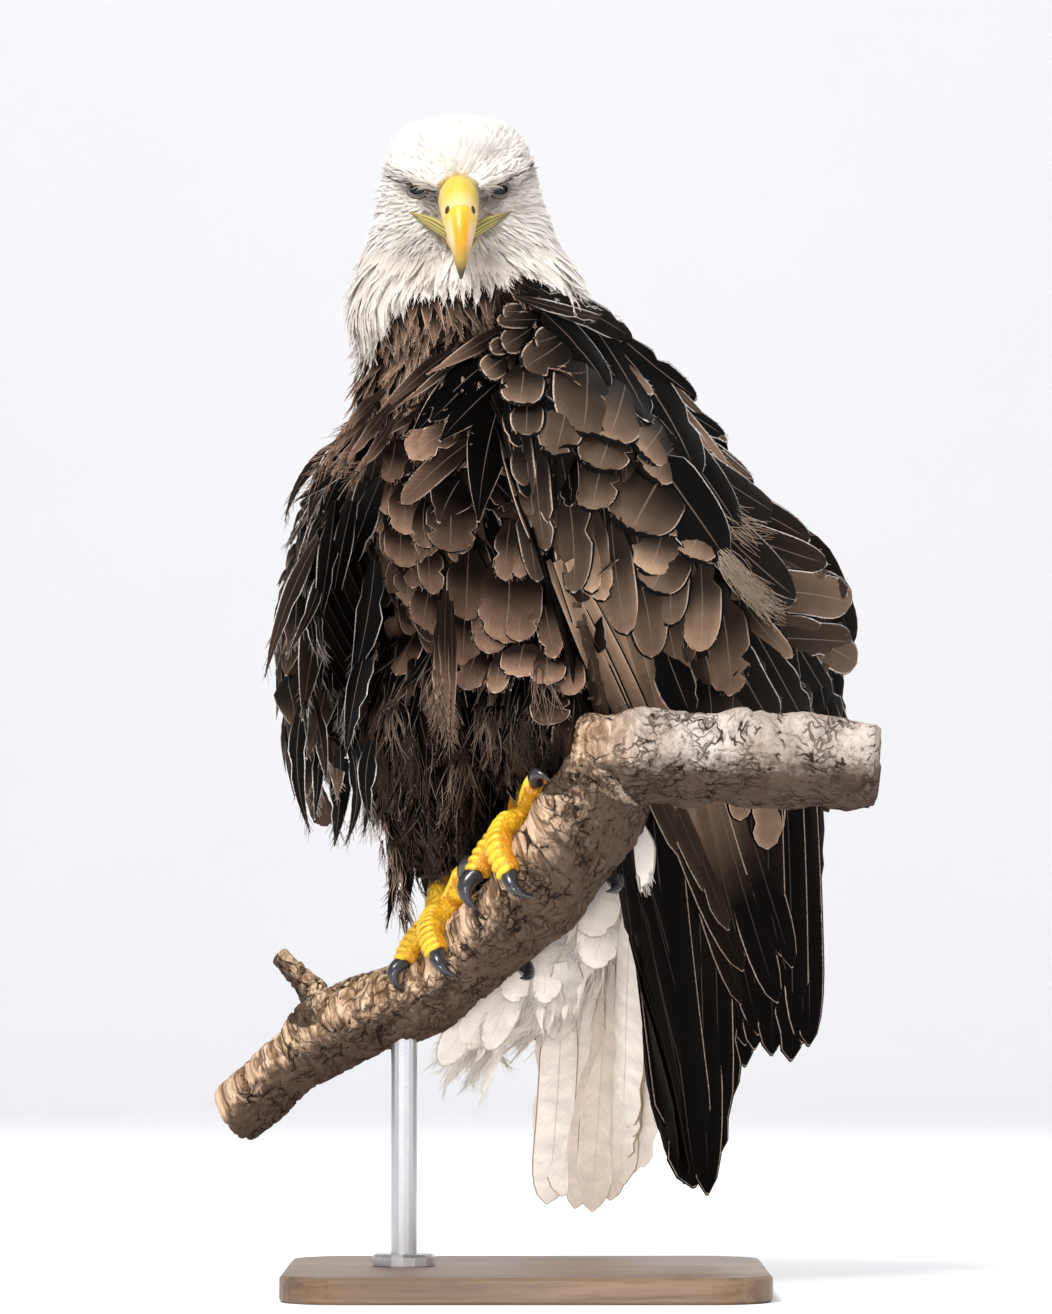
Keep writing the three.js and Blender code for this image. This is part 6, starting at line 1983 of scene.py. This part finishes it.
def claw_path(grip, toe, share):
    splay, turn, _, length, _, rise = toe
    near, end = (round_branch(grip, turn * s, splay * s**0.85, TOE_LIE + rise) for s in (0.9, 1.0))
    ahead = unit(end - near)
    inward = unit(round_branch(grip, turn, splay, 0) - end)
    bend = 1.35
    reach = length / bend
    s = np.asarray(share)[:, None]
    return end + MM * (ahead * (reach * np.sin(bend * s) + 3 * (1 - s) - 3)
                       + inward * (reach * (1 - np.cos(bend * s)) - 9 * np.sin(math.pi * s / 1.6)))


def scute_tree():
    """Geometry nodes that set one curved plate on each point, turned by the point's own vectors."""
    if "Scutes" in bpy.data.node_groups:
        return bpy.data.node_groups["Scutes"]
    made = bpy.data.node_groups.new("Scutes", "GeometryNodeTree")
    made.interface.new_socket("Geometry", in_out="INPUT", socket_type="NodeSocketGeometry")
    for label, value in (("Plate length", 1.0), ("Plate swell", 0.35)):
        made.interface.new_socket(label, in_out="INPUT", socket_type="NodeSocketFloat").default_value = value
    made.interface.new_socket("Material", in_out="INPUT", socket_type="NodeSocketMaterial")
    made.interface.new_socket("Geometry", in_out="OUTPUT", socket_type="NodeSocketGeometry")
    tree = Tree(made)
    start = tree.node("NodeGroupInput")
    plate = tree.node("GeometryNodeMeshUVSphere", {}, {"Segments": 12, "Rings": 6, "Radius": 1.0})
    size = tree.node("ShaderNodeCombineXYZ", {}, {0: 1.0, 1: start.outputs["Plate length"],
                                                  2: start.outputs["Plate swell"]})
    shaped = tree.node("GeometryNodeTransform", {}, {"Geometry": plate.outputs[0], "Scale": size.outputs[0]})

    def named(label, kind):
        found = tree.node("GeometryNodeInputNamedAttribute", {"data_type": kind}, {"Name": label})
        return next(s for s in found.outputs if s.enabled and s.name == "Attribute")

    facing = tree.node("FunctionNodeAlignRotationToVector", {"axis": "Z"},
                       {"Vector": named("facing", "FLOAT_VECTOR")})
    turned = tree.node("FunctionNodeAlignRotationToVector", {"axis": "Y", "pivot_axis": "Z"}, {
        "Rotation": facing.outputs[0], "Vector": named("along", "FLOAT_VECTOR")})
    placed = tree.node("GeometryNodeInstanceOnPoints", {}, {
        "Points": start.outputs[0], "Instance": shaped.outputs[0], "Rotation": turned.outputs[0],
        "Scale": named("plate", "FLOAT_VECTOR")})
    real = tree.node("GeometryNodeRealizeInstances", {}, {"Geometry": placed.outputs[0]})
    smooth = tree.node("GeometryNodeSetShadeSmooth", {}, {"Geometry": real.outputs[0]})
    painted = tree.node("GeometryNodeSetMaterial", {}, {"Geometry": smooth.outputs[0],
                                                        "Material": start.outputs["Material"]})
    tree.node("NodeGroupOutput", {}, {0: painted.outputs[0]})
    return made


def from_points(name, tree, points, vectors, inputs, material):
    """A plain mesh from a geometry node tree run on points that carry vector attributes."""
    mesh = bpy.data.meshes.new(name)
    mesh.from_pydata(np.asarray(points).tolist(), [], [])
    for label, values in vectors.items():
        mesh.attributes.new(label, "FLOAT_VECTOR", "POINT").data.foreach_set(
            "vector", np.asarray(values, np.float32).ravel())
    temp = new_object(name + "_points", mesh)
    modifier = temp.modifiers.new("plates", "NODES")
    modifier.node_group = tree
    given = {**inputs, "Material": material}
    for item in tree.interface.items_tree:
        if item.item_type == "SOCKET" and item.in_out == "INPUT" and item.name in given:
            modifier[item.identifier] = given[item.name]
    bpy.context.view_layer.update()
    evaluated = temp.evaluated_get(bpy.context.evaluated_depsgraph_get())
    made = bpy.data.meshes.new_from_object(evaluated)
    made.name = name
    temp.modifiers.remove(modifier)
    bpy.data.objects.remove(temp)
    return new_object(name, made)


class EAGLE_OT_feet(bpy.types.Operator):
    """Makes the yellow feet, their toe pads and the scutes along each toe"""

    bl_idname = "eagle.feet"
    bl_label = "Feet"

    def execute(self, context):
        c = colours()

        def leather(tree):
            where = tree.node("ShaderNodeTexCoord").outputs["Object"]
            cells = tree.voronoi(where, 420.0)
            tone = tree.noise(where, 60.0, 3.0)
            colour = tree.mix(tree.between(tone, 0.35, 0.65), (*c.feet, 1), (0.62, 0.23, 0.006, 1))
            gaps = tree.between(cells, 0.35, 0.75)
            colour = tree.mix(tree.math("MULTIPLY", gaps, 0.5), colour, (0.30, 0.14, 0.008, 1))
            return colour, None, tree.math("SUBTRACT", 1.0, gaps), 0.0004

        skin = surface_material("Skin of the feet", leather, 0.42, 0.4, Subsurface_Weight=0.12,
                                Subsurface_Scale=0.004)

        def plate(tree):
            where = tree.node("ShaderNodeTexCoord").outputs["Object"]
            tone = tree.noise(where, 90.0, 3.0)
            fine = tree.noise(where, 700.0, 3.0)
            colour = tree.mix(tree.between(tone, 0.42, 0.8), (*c.feet, 1), (0.78, 0.36, 0.012, 1))
            return tree.mix(tree.math("MULTIPLY", fine, 0.2), colour,
                            (0.90, 0.68, 0.10, 1)), None, fine, 0.0002

        scute = surface_material("Scutes of the feet", plate, 0.36, 0.45, Subsurface_Weight=0.12,
                                 Subsurface_Scale=0.003)
        for name, (share, toes) in FEET.items():
            grip = grip_frame(share)
            shape = bmesh.new()
            plates, facing, along, size = [], [], [], []
            ankle = round_branch(grip, -6, 0, SOLE + 5)
            forms = [(np.stack([round_branch(grip, 0, 0, 2), ankle, ankle + mm(0, 6, 22)]), (13, 14, 10.5),
                      24)]
            for toe in toes.values():
                t = np.linspace(0, 1, 40)
                forms.append((toe_path(grip, toe, t), toe[2] * curve([1.2, 1, 0.95, 0.86], t), 22))
            for path, radii, count in forms:
                rows = len(path) if len(path) > 5 else 18
                path = curve(path, np.linspace(0, 1, rows))
                radii = curve(radii, np.linspace(0, 1, rows)) * MM
                inward = unit(grip["point"] - path.mean(0))

                def pads(s, a, n=3.3):
                    return 1 + 0.09 * np.cos(2 * math.pi * n * s) * (0.6 - 0.4 * np.cos(a)) - 0.05 * np.cos(a)

                rings = tube_rings(path, radii, count, up=-inward, shape=pads if len(radii) > 20 else None)
                points, quads, fans = loft(rings)
                mesh, _ = mesh_from("toe", points, [quads, fans])
                outward(mesh)
                shape.from_mesh(mesh)
                bpy.data.meshes.remove(mesh)
            mesh = bpy.data.meshes.new("foot")
            shape.to_mesh(mesh)
            shape.free()
            mesh = remeshed(mesh, 0.0013, 4, 0.5)
            mesh.polygons.foreach_set("use_smooth", np.ones(len(mesh.polygons), bool))
            finish_piece(new_object(f"foot_{name}_skin", mesh, skin), "bare_skin", "foot_" + name)
            for digit, toe in toes.items():
                count = 9 if digit == "middle" else 7
                t = np.linspace(0.30, 0.97, count)
                path = toe_path(grip, toe, t)
                ahead = unit(toe_path(grip, toe, t + 0.01) - toe_path(grip, toe, t - 0.01))
                out = path - grip["point"] - grip["along"] * ((path - grip["point"]) @ grip["along"])[:, None]
                out = unit(out - ahead * dot(out, ahead))
                radius = toe[2] * curve([1.2, 1, 0.95, 0.86], t) * MM
                plates.append(path + out * (radius * 0.56)[:, None])
                facing.append(out)
                along.append(ahead)
                step = np.linalg.norm(np.diff(path, axis=0), axis=1).mean()
                size.append(np.stack([radius * 0.95, np.full(count, step * 0.56), radius * 1.32], 1))
            made = from_points(f"foot_{name}_scutes", scute_tree(), np.vstack(plates), {
                "facing": np.vstack(facing), "along": np.vstack(along), "plate": np.vstack(size)},
                {"Plate length": 1.0, "Plate swell": 0.38}, scute)
            finish_piece(made, "bare_skin")
        return {"FINISHED"}


class EAGLE_OT_claws(bpy.types.Operator):
    """Makes the eight curved claws"""

    bl_idname = "eagle.claws"
    bl_label = "Claws"

    def execute(self, context):
        c = colours()

        def horn(tree):
            where = tree.node("ShaderNodeTexCoord").outputs["Object"]
            grain = tree.noise(where, 350.0, 4.0, 0.6)
            colour = tree.mix(tree.between(grain, 0.35, 0.7), (*c.claw, 1), (0.032, 0.031, 0.037, 1))
            return colour, tree.math("MULTIPLY_ADD", grain, 0.2, 0.15), grain, 0.00008

        material = surface_material("Horn of the claws", horn, 0.25, 0.5, Coat_Weight=0.4,
                                    Coat_Roughness=0.15)
        for name, (share, toes) in FEET.items():
            grip = grip_frame(share)
            for digit, toe in toes.items():
                t = np.linspace(0, 1, 26)
                path = claw_path(grip, toe, t)
                radii = toe[4] * MM * np.maximum(curve([1.02, 0.88, 0.55, 0.08], t), 0.05)
                up = unit(path.mean(0) - grip["point"])
                rings = tube_rings(path, radii, 20, up=up, shape=lambda s, a: (
                    1 - 0.14 * np.abs(np.sin(a)) + 0.03 * np.cos(a)
                    - 0.10 * np.exp(-((np.cos(a) + 1) / 0.2) ** 2)))
                points, quads, fans = loft(rings)
                mesh, _ = mesh_from(f"talon_{name}_{digit}", points, [quads, fans])
                outward(mesh)
                made = new_object(f"talon_{name}_{digit}", mesh, material)
                finish_piece(made, "claw_horn", f"claw_{name}_{digit}")
        return {"FINISHED"}


# ---------------------------------------------------------------- branch, stand and stage
class EAGLE_OT_branch(bpy.types.Operator):
    """Makes the cut branch with its cracked and peeling bark"""

    bl_idname = "eagle.branch"
    bl_label = "Branch"

    def execute(self, context):
        c = colours()
        shape = bmesh.new()
        lines, starts = [], 0.0
        for path, radii, rows in ((SLOPE, SLOPE_RADII, 60), (ARM, ARM_RADII, 40), (TWIG, TWIG_RADII, 24)):
            t = np.linspace(0, 1, rows)
            line = curve(path, t)
            rings = tube_rings(line, curve(radii, t), 32, up=(0.1, -1, 0.2), shape=lambda s, a: (
                1 + 0.05 * np.sin(3 * a + 23 * s) + 0.04 * np.sin(2 * a - 37 * s)))
            points, quads, fans = loft(rings)
            mesh, _ = mesh_from("limb", points, [quads, fans])
            outward(mesh)
            shape.from_mesh(mesh)
            length = np.concatenate([[0], np.cumsum(np.linalg.norm(np.diff(line, axis=0), axis=1))]) + starts
            lines.append(np.hstack([line, length[:, None]]))
            starts = length[-1] - (0.02 if rows == 60 else 0)
        mesh = bpy.data.meshes.new("branch")
        shape.to_mesh(mesh)
        shape.free()
        mesh = remeshed(mesh, 0.0018, 3, 0.5)
        points, triangles = arrays_of(mesh)
        normals = Surface(points, triangles).point_normals
        line = np.vstack(lines)
        near = np.argmin(((points[:, None] - line[None, :, :3]) ** 2).sum(-1), 1)
        offset = points - line[near, :3]
        tangent = unit(np.gradient(line[:, :3], axis=0))[near]
        along = line[near, 3] + (offset * tangent).sum(1)
        offset = offset - tangent * dot(offset, tangent)
        grain = np.stack([along, (offset @ np.array([0, -0.7, 0.7])), offset[:, 0] + offset[:, 2] * 0.3], 1)
        smooth = ease(points[:, 0], 0.03, 0.10)
        top = unit(offset)[:, 2]
        lift, crack = np.empty(len(points)), np.empty(len(points))
        noise.seed_set(NOISE_SEED)
        for k, q in enumerate(grain):
            q = Vector(q)
            bend = Vector(noise.noise_vector(q * 45)) * 0.010
            run = Vector(((q[0] + bend[0]) * (0.42 - 0.2 * smooth[k]), q[1] + bend[1], q[2] + bend[2]))
            deep = abs(noise.noise(run * 62))
            fine = abs(noise.noise(run * 170 + Vector((3, 9, 4))))
            cross = abs(noise.noise((Vector((q[0], q[1] * 0.4, q[2] * 0.4)) + bend) * 75))
            plate = noise.noise(q * 34 + Vector((5, 1, 2)))
            knobs = noise.noise(q * 210)
            rough = 1 - 0.6 * smooth[k] * ease(top[k], -0.2, 0.5)
            broken = 1 - min(max((noise.noise(q * 30 + Vector((2, 7, 1))) + 0.12) / 0.2, 0),
                             1) * (1 - 0.3 * smooth[k])
            crack[k] = min(deep / 0.05, 1) * min(fine / (0.05 * rough), 1) * min(cross / 0.015,
                                                                                 1) * (1 - broken) + broken
            lift[k] = 0.0024 * min(deep / 0.10, 1) + 0.0015 * rough * min(fine / 0.16, 1) + 0.0006 * min(
                cross / 0.06, 1) - 0.0026 + 0.0020 * plate + 0.0010 * knobs * rough
        lift += 0.004 * np.exp(-((points - mm(150, -130, 392)) ** 2).sum(1) / 0.018**2)
        lift += 0.004 * np.exp(-((points - mm(-146, 30, 190)) ** 2).sum(1) / 0.016**2)
        mesh.vertices.foreach_set("co", (points + normals * lift[:, None]).astype(np.float32).ravel())
        mesh.polygons.foreach_set("use_smooth", np.ones(len(mesh.polygons), bool))
        mesh.update()
        # the third channel says how far the bark faces up; the material paints shade on the underside from it
        give_colour(mesh, "bark", np.stack([crack, smooth, top * 0.5 + 0.5, top * 0 + 1], 1))
        mesh.attributes.new("grain", "FLOAT_VECTOR", "POINT").data.foreach_set(
            "vector", grain.astype(np.float32).ravel())

        def build(tree):
            bark = tree.node("ShaderNodeAttribute", {"attribute_name": "bark"})
            parts = tree.node("ShaderNodeSeparateColor", {}, {0: bark.outputs["Color"]})
            run = tree.node("ShaderNodeAttribute", {"attribute_name": "grain"}).outputs["Vector"]
            warp = tree.node("ShaderNodeTexNoise", {},
                             {"Vector": run, "Scale": 70.0, "Detail": 3.0}).outputs["Color"]
            moved = tree.node("ShaderNodeVectorMath", {"operation": "MULTIPLY_ADD"}, {
                0: warp, 1: (0.016, 0.016, 0.016), 2: run}).outputs[0]
            long = tree.node("ShaderNodeMapping", {}, {"Vector": moved, "Scale": (0.2, 1, 1)}).outputs[0]
            edge = tree.node("ShaderNodeTexVoronoi", {"feature": "DISTANCE_TO_EDGE"},
                             {"Vector": long, "Scale": 105.0})
            flake = tree.node("ShaderNodeTexVoronoi", {"feature": "DISTANCE_TO_EDGE"},
                              {"Vector": long, "Scale": 270.0})
            cloud = tree.noise(run, 26.0, 4.0, 0.6)
            fine = tree.noise(long, 520.0, 5.0, 0.75)
            flakes = tree.noise(moved, 150.0, 4.0, 0.7)
            pale = tree.mix(tree.between(cloud, 0.35, 0.62), (*(0.8 * v for v in c.bark), 1),
                            (0.66, 0.57, 0.51, 1))
            rust = tree.mix(tree.between(flakes, 0.38, 0.60), (0.22, 0.115, 0.055, 1), (0.74, 0.52, 0.35, 1))
            slope = tree.math("MULTIPLY", tree.math("SUBTRACT", 1.0, parts.outputs[1]),
                              tree.between(cloud, 0.15, 0.4))
            colour = tree.mix(slope, pale, rust)
            colour = tree.mix(tree.between(fine, 0.46, 0.66, 0.0, 0.6), colour, (0.14, 0.085, 0.055, 1))
            # painted shade: the bark darkens where it faces down, broken up by the flakes
            under = tree.between(tree.math("ADD", parts.outputs[2],
                                           tree.math("MULTIPLY_ADD", flakes, 0.5, -0.25)),
                                 0.30, 0.62, 0.95, 0.0)
            colour = tree.mix(under, colour, (0.085, 0.055, 0.038, 1))
            peeled = tree.between(tree.noise(run, 38.0, 3.0, 0.6), 0.46, 0.56)
            chips = tree.math("MULTIPLY", tree.between(flake.outputs[0], 0.02, 0.10, 1.0, 0.0), peeled)
            colour = tree.mix(tree.math("MULTIPLY", chips, 0.7), colour, (0.05, 0.03, 0.02, 1))
            plates = tree.math("MULTIPLY", tree.between(edge.outputs[0], 0.0, 0.05, 1.0, 0.0),
                               tree.between(tree.noise(run, 75.0, 3.0), 0.50, 0.58))
            colour = tree.mix(plates, colour, (0.02, 0.012, 0.008, 1))
            low = tree.between(parts.outputs[0], 0.15, 0.75, 1.0, 0.0)
            colour = tree.mix(low, colour, (0.025, 0.015, 0.01, 1))
            height = tree.math("SUBTRACT", tree.math("SUBTRACT", fine, chips), plates)
            return colour, None, height, 0.0016

        material = surface_material("Bark", build, 0.9, 0.1)
        finish_piece(new_object("branch_with_bark", mesh, material), "bark", "perch_branch")
        return {"FINISHED"}


class EAGLE_OT_stand(bpy.types.Operator):
    """Finishes the stand's wooden base and steel rod"""

    bl_idname = "eagle.stand"
    bl_label = "Stand"

    def execute(self, context):
        def wood(tree):
            where = tree.node("ShaderNodeTexCoord").outputs["Object"]
            stretched = tree.node("ShaderNodeMapping", {}, {"Vector": where, "Scale": (3, 42, 42)})
            grain = tree.noise(stretched.outputs[0], 1.0, 5.0, 0.6, 1.2)
            pores = tree.noise(tree.node("ShaderNodeMapping", {},
                                         {"Vector": where, "Scale": (25, 900, 900)}).outputs[0],
                               1.0, 2.0)
            colour = tree.ramp(grain, [(0.3, (0.105, 0.060, 0.034)), (0.5, (0.175, 0.105, 0.060)),
                                       (0.7, (0.235, 0.150, 0.090))])
            colour = tree.mix(tree.between(pores, 0.55, 0.75, 0.0, 0.5), colour, (0.06, 0.035, 0.02, 1))
            return colour, tree.math("MULTIPLY_ADD", pores, 0.2, 0.33), pores, 0.0001

        def steel(tree):
            where = tree.node("ShaderNodeTexCoord").outputs["Object"]
            brushed = tree.noise(tree.node("ShaderNodeMapping", {}, {
                "Vector": where, "Scale": (300, 300, 2500)}).outputs[0], 1.0, 2.0)
            colour = tree.mix(brushed, (0.52, 0.52, 0.53, 1), (0.66, 0.66, 0.67, 1))
            return colour, tree.math("MULTIPLY_ADD", brushed, 0.2, 0.22), brushed, 0.00003

        for name, material in (
            ("stand_base", surface_material("Oiled wood", wood, 0.4, 0.4)),
            ("stand_rod", surface_material("Brushed steel", steel, 0.3, 0.5, Metallic=1.0)),
        ):
            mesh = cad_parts[name].data
            mesh.materials.clear()
            mesh.materials.append(material)
        return {"FINISHED"}


class EAGLE_OT_stage(bpy.types.Operator):
    """Makes the pale floor, the soft lights and the camera"""

    bl_idname = "eagle.stage"
    bl_label = "Stage"

    def execute(self, context):
        scene = context.scene
        profile = [(-9.0, 0.0),
                   (WALL - 1.5, 0.0)]  # the wall stands beyond any place the part is looked at from
        profile += [(WALL - 1.5 + 1.5 * math.sin(a), 1.5 - 1.5 * math.cos(a))
                    for a in np.linspace(0.1, math.pi / 2, 12)]
        profile += [(WALL, 9.0)]
        rows = np.array([[(x, y, z) for x in np.linspace(-12, 12, 3)] for y, z in profile])
        points = rows.reshape(-1, 3)
        a = (np.arange(len(profile) - 1)[:, None] * 3 + np.arange(2)).ravel()
        mesh, _ = mesh_from("floor", points, [np.stack([a, a + 1, a + 4, a + 3], 1)])

        def pale(tree):
            where = tree.node("ShaderNodeTexCoord").outputs["Object"]
            return tree.mix(tree.noise(where, 3.0), (0.93, 0.93, 0.94, 1),
                            (0.95, 0.95, 0.955, 1)), None, None, 0

        floor = new_object("studio_floor", mesh, surface_material("Studio paper", pale, 0.9, 0.1))

        world = bpy.data.worlds.new("Studio")
        scene.world = world
        world.use_nodes = True
        world.node_tree.nodes["Background"].inputs[0].default_value = (0.96, 0.97, 1.0, 1)
        world.node_tree.nodes["Background"].inputs[1].default_value = 0.54
        for name, place, target, size, power in (
            ("key", (-1.3, -2.4, 3.4), (0, 0, 0.5), 1.4, 178),
            ("fill", (2.6, -2.4, 1.2), (0, 0, 0.4), 2.2, 14),
            ("rim", (0.8, 2.2, 2.2), (0, 0, 0.5), 1.6, 30),
            ("wall", (0, 2.2, 5.5), (0, WALL, 1.2), 4.0, 78),
            ("low", (-0.1, -1.9, 0.10), (0.06, 0.1, 0.11), 0.3, 0.24),
        ):
            light = bpy.data.lights.new(name, "AREA")
            light.energy, light.size = power, size
            if name == "low":
                light.spread = math.radians(13)
            made = bpy.data.objects.new(name, light)
            scene.collection.objects.link(made)
            made.location = place
            made.rotation_euler = (Vector(target) - Vector(place)).to_track_quat("-Z", "Y").to_euler()
        scene.view_settings.view_transform = "Standard"

        data = bpy.data.cameras.new("camera")
        data.sensor_width = 36
        place, target = Vector((0, -4.0, 0.23)), Vector((0, 0, 0.4368))
        data.lens = 36 * (target - place).length / (0.00069 * 1314)
        data.clip_end = 60
        camera = bpy.data.objects.new("camera", data)
        scene.collection.objects.link(camera)
        camera.location = place
        camera.rotation_euler = (target - place).to_track_quat("-Z", "Y").to_euler()
        scene.camera = camera
        return {"FINISHED"}


# ---------------------------------------------------------------- the add-on
STEPS = (
    EAGLE_OT_stage, EAGLE_OT_skin, EAGLE_OT_head_feathers, EAGLE_OT_body_feathers, EAGLE_OT_leg_feathers,
    EAGLE_OT_wing_feathers, EAGLE_OT_tail_feathers, EAGLE_OT_bill, EAGLE_OT_eyes, EAGLE_OT_feet,
    EAGLE_OT_claws, EAGLE_OT_branch, EAGLE_OT_stand,
)


class EAGLE_PT_panel(bpy.types.Panel):
    """Lists the eagle's pieces with their sizes and colours"""

    bl_label = "Eagle"
    bl_idname = "EAGLE_PT_panel"
    bl_space_type = "VIEW_3D"
    bl_region_type = "UI"
    bl_category = "Eagle"

    def draw(self, context):
        for title, settings in (("Sizes", context.scene.eagle_sizes),
                                ("Colours", context.scene.eagle_colours)):
            box = self.layout.box()
            box.label(text=title)
            for key in settings.bl_rna.properties.keys():
                if key not in ("rna_type", "name"):
                    box.prop(settings, key)
        for step in STEPS:
            self.layout.operator(step.bl_idname)


CLASSES = (EagleColours, EagleSizes, *STEPS, EAGLE_PT_panel)


def register():
    for made in CLASSES:
        bpy.utils.register_class(made)
    bpy.types.Scene.eagle_colours = PointerProperty(type=EagleColours)
    bpy.types.Scene.eagle_sizes = PointerProperty(type=EagleSizes)


def unregister():
    del bpy.types.Scene.eagle_sizes
    del bpy.types.Scene.eagle_colours
    for made in reversed(CLASSES):
        bpy.utils.unregister_class(made)


def main():
    """Builds every piece round the frame."""
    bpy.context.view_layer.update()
    register()
    for step in STEPS:
        area, action = step.bl_idname.split(".")
        getattr(getattr(bpy.ops, area), action)()
    bpy.context.view_layer.update()


if __name__ == "__main__":
    main()
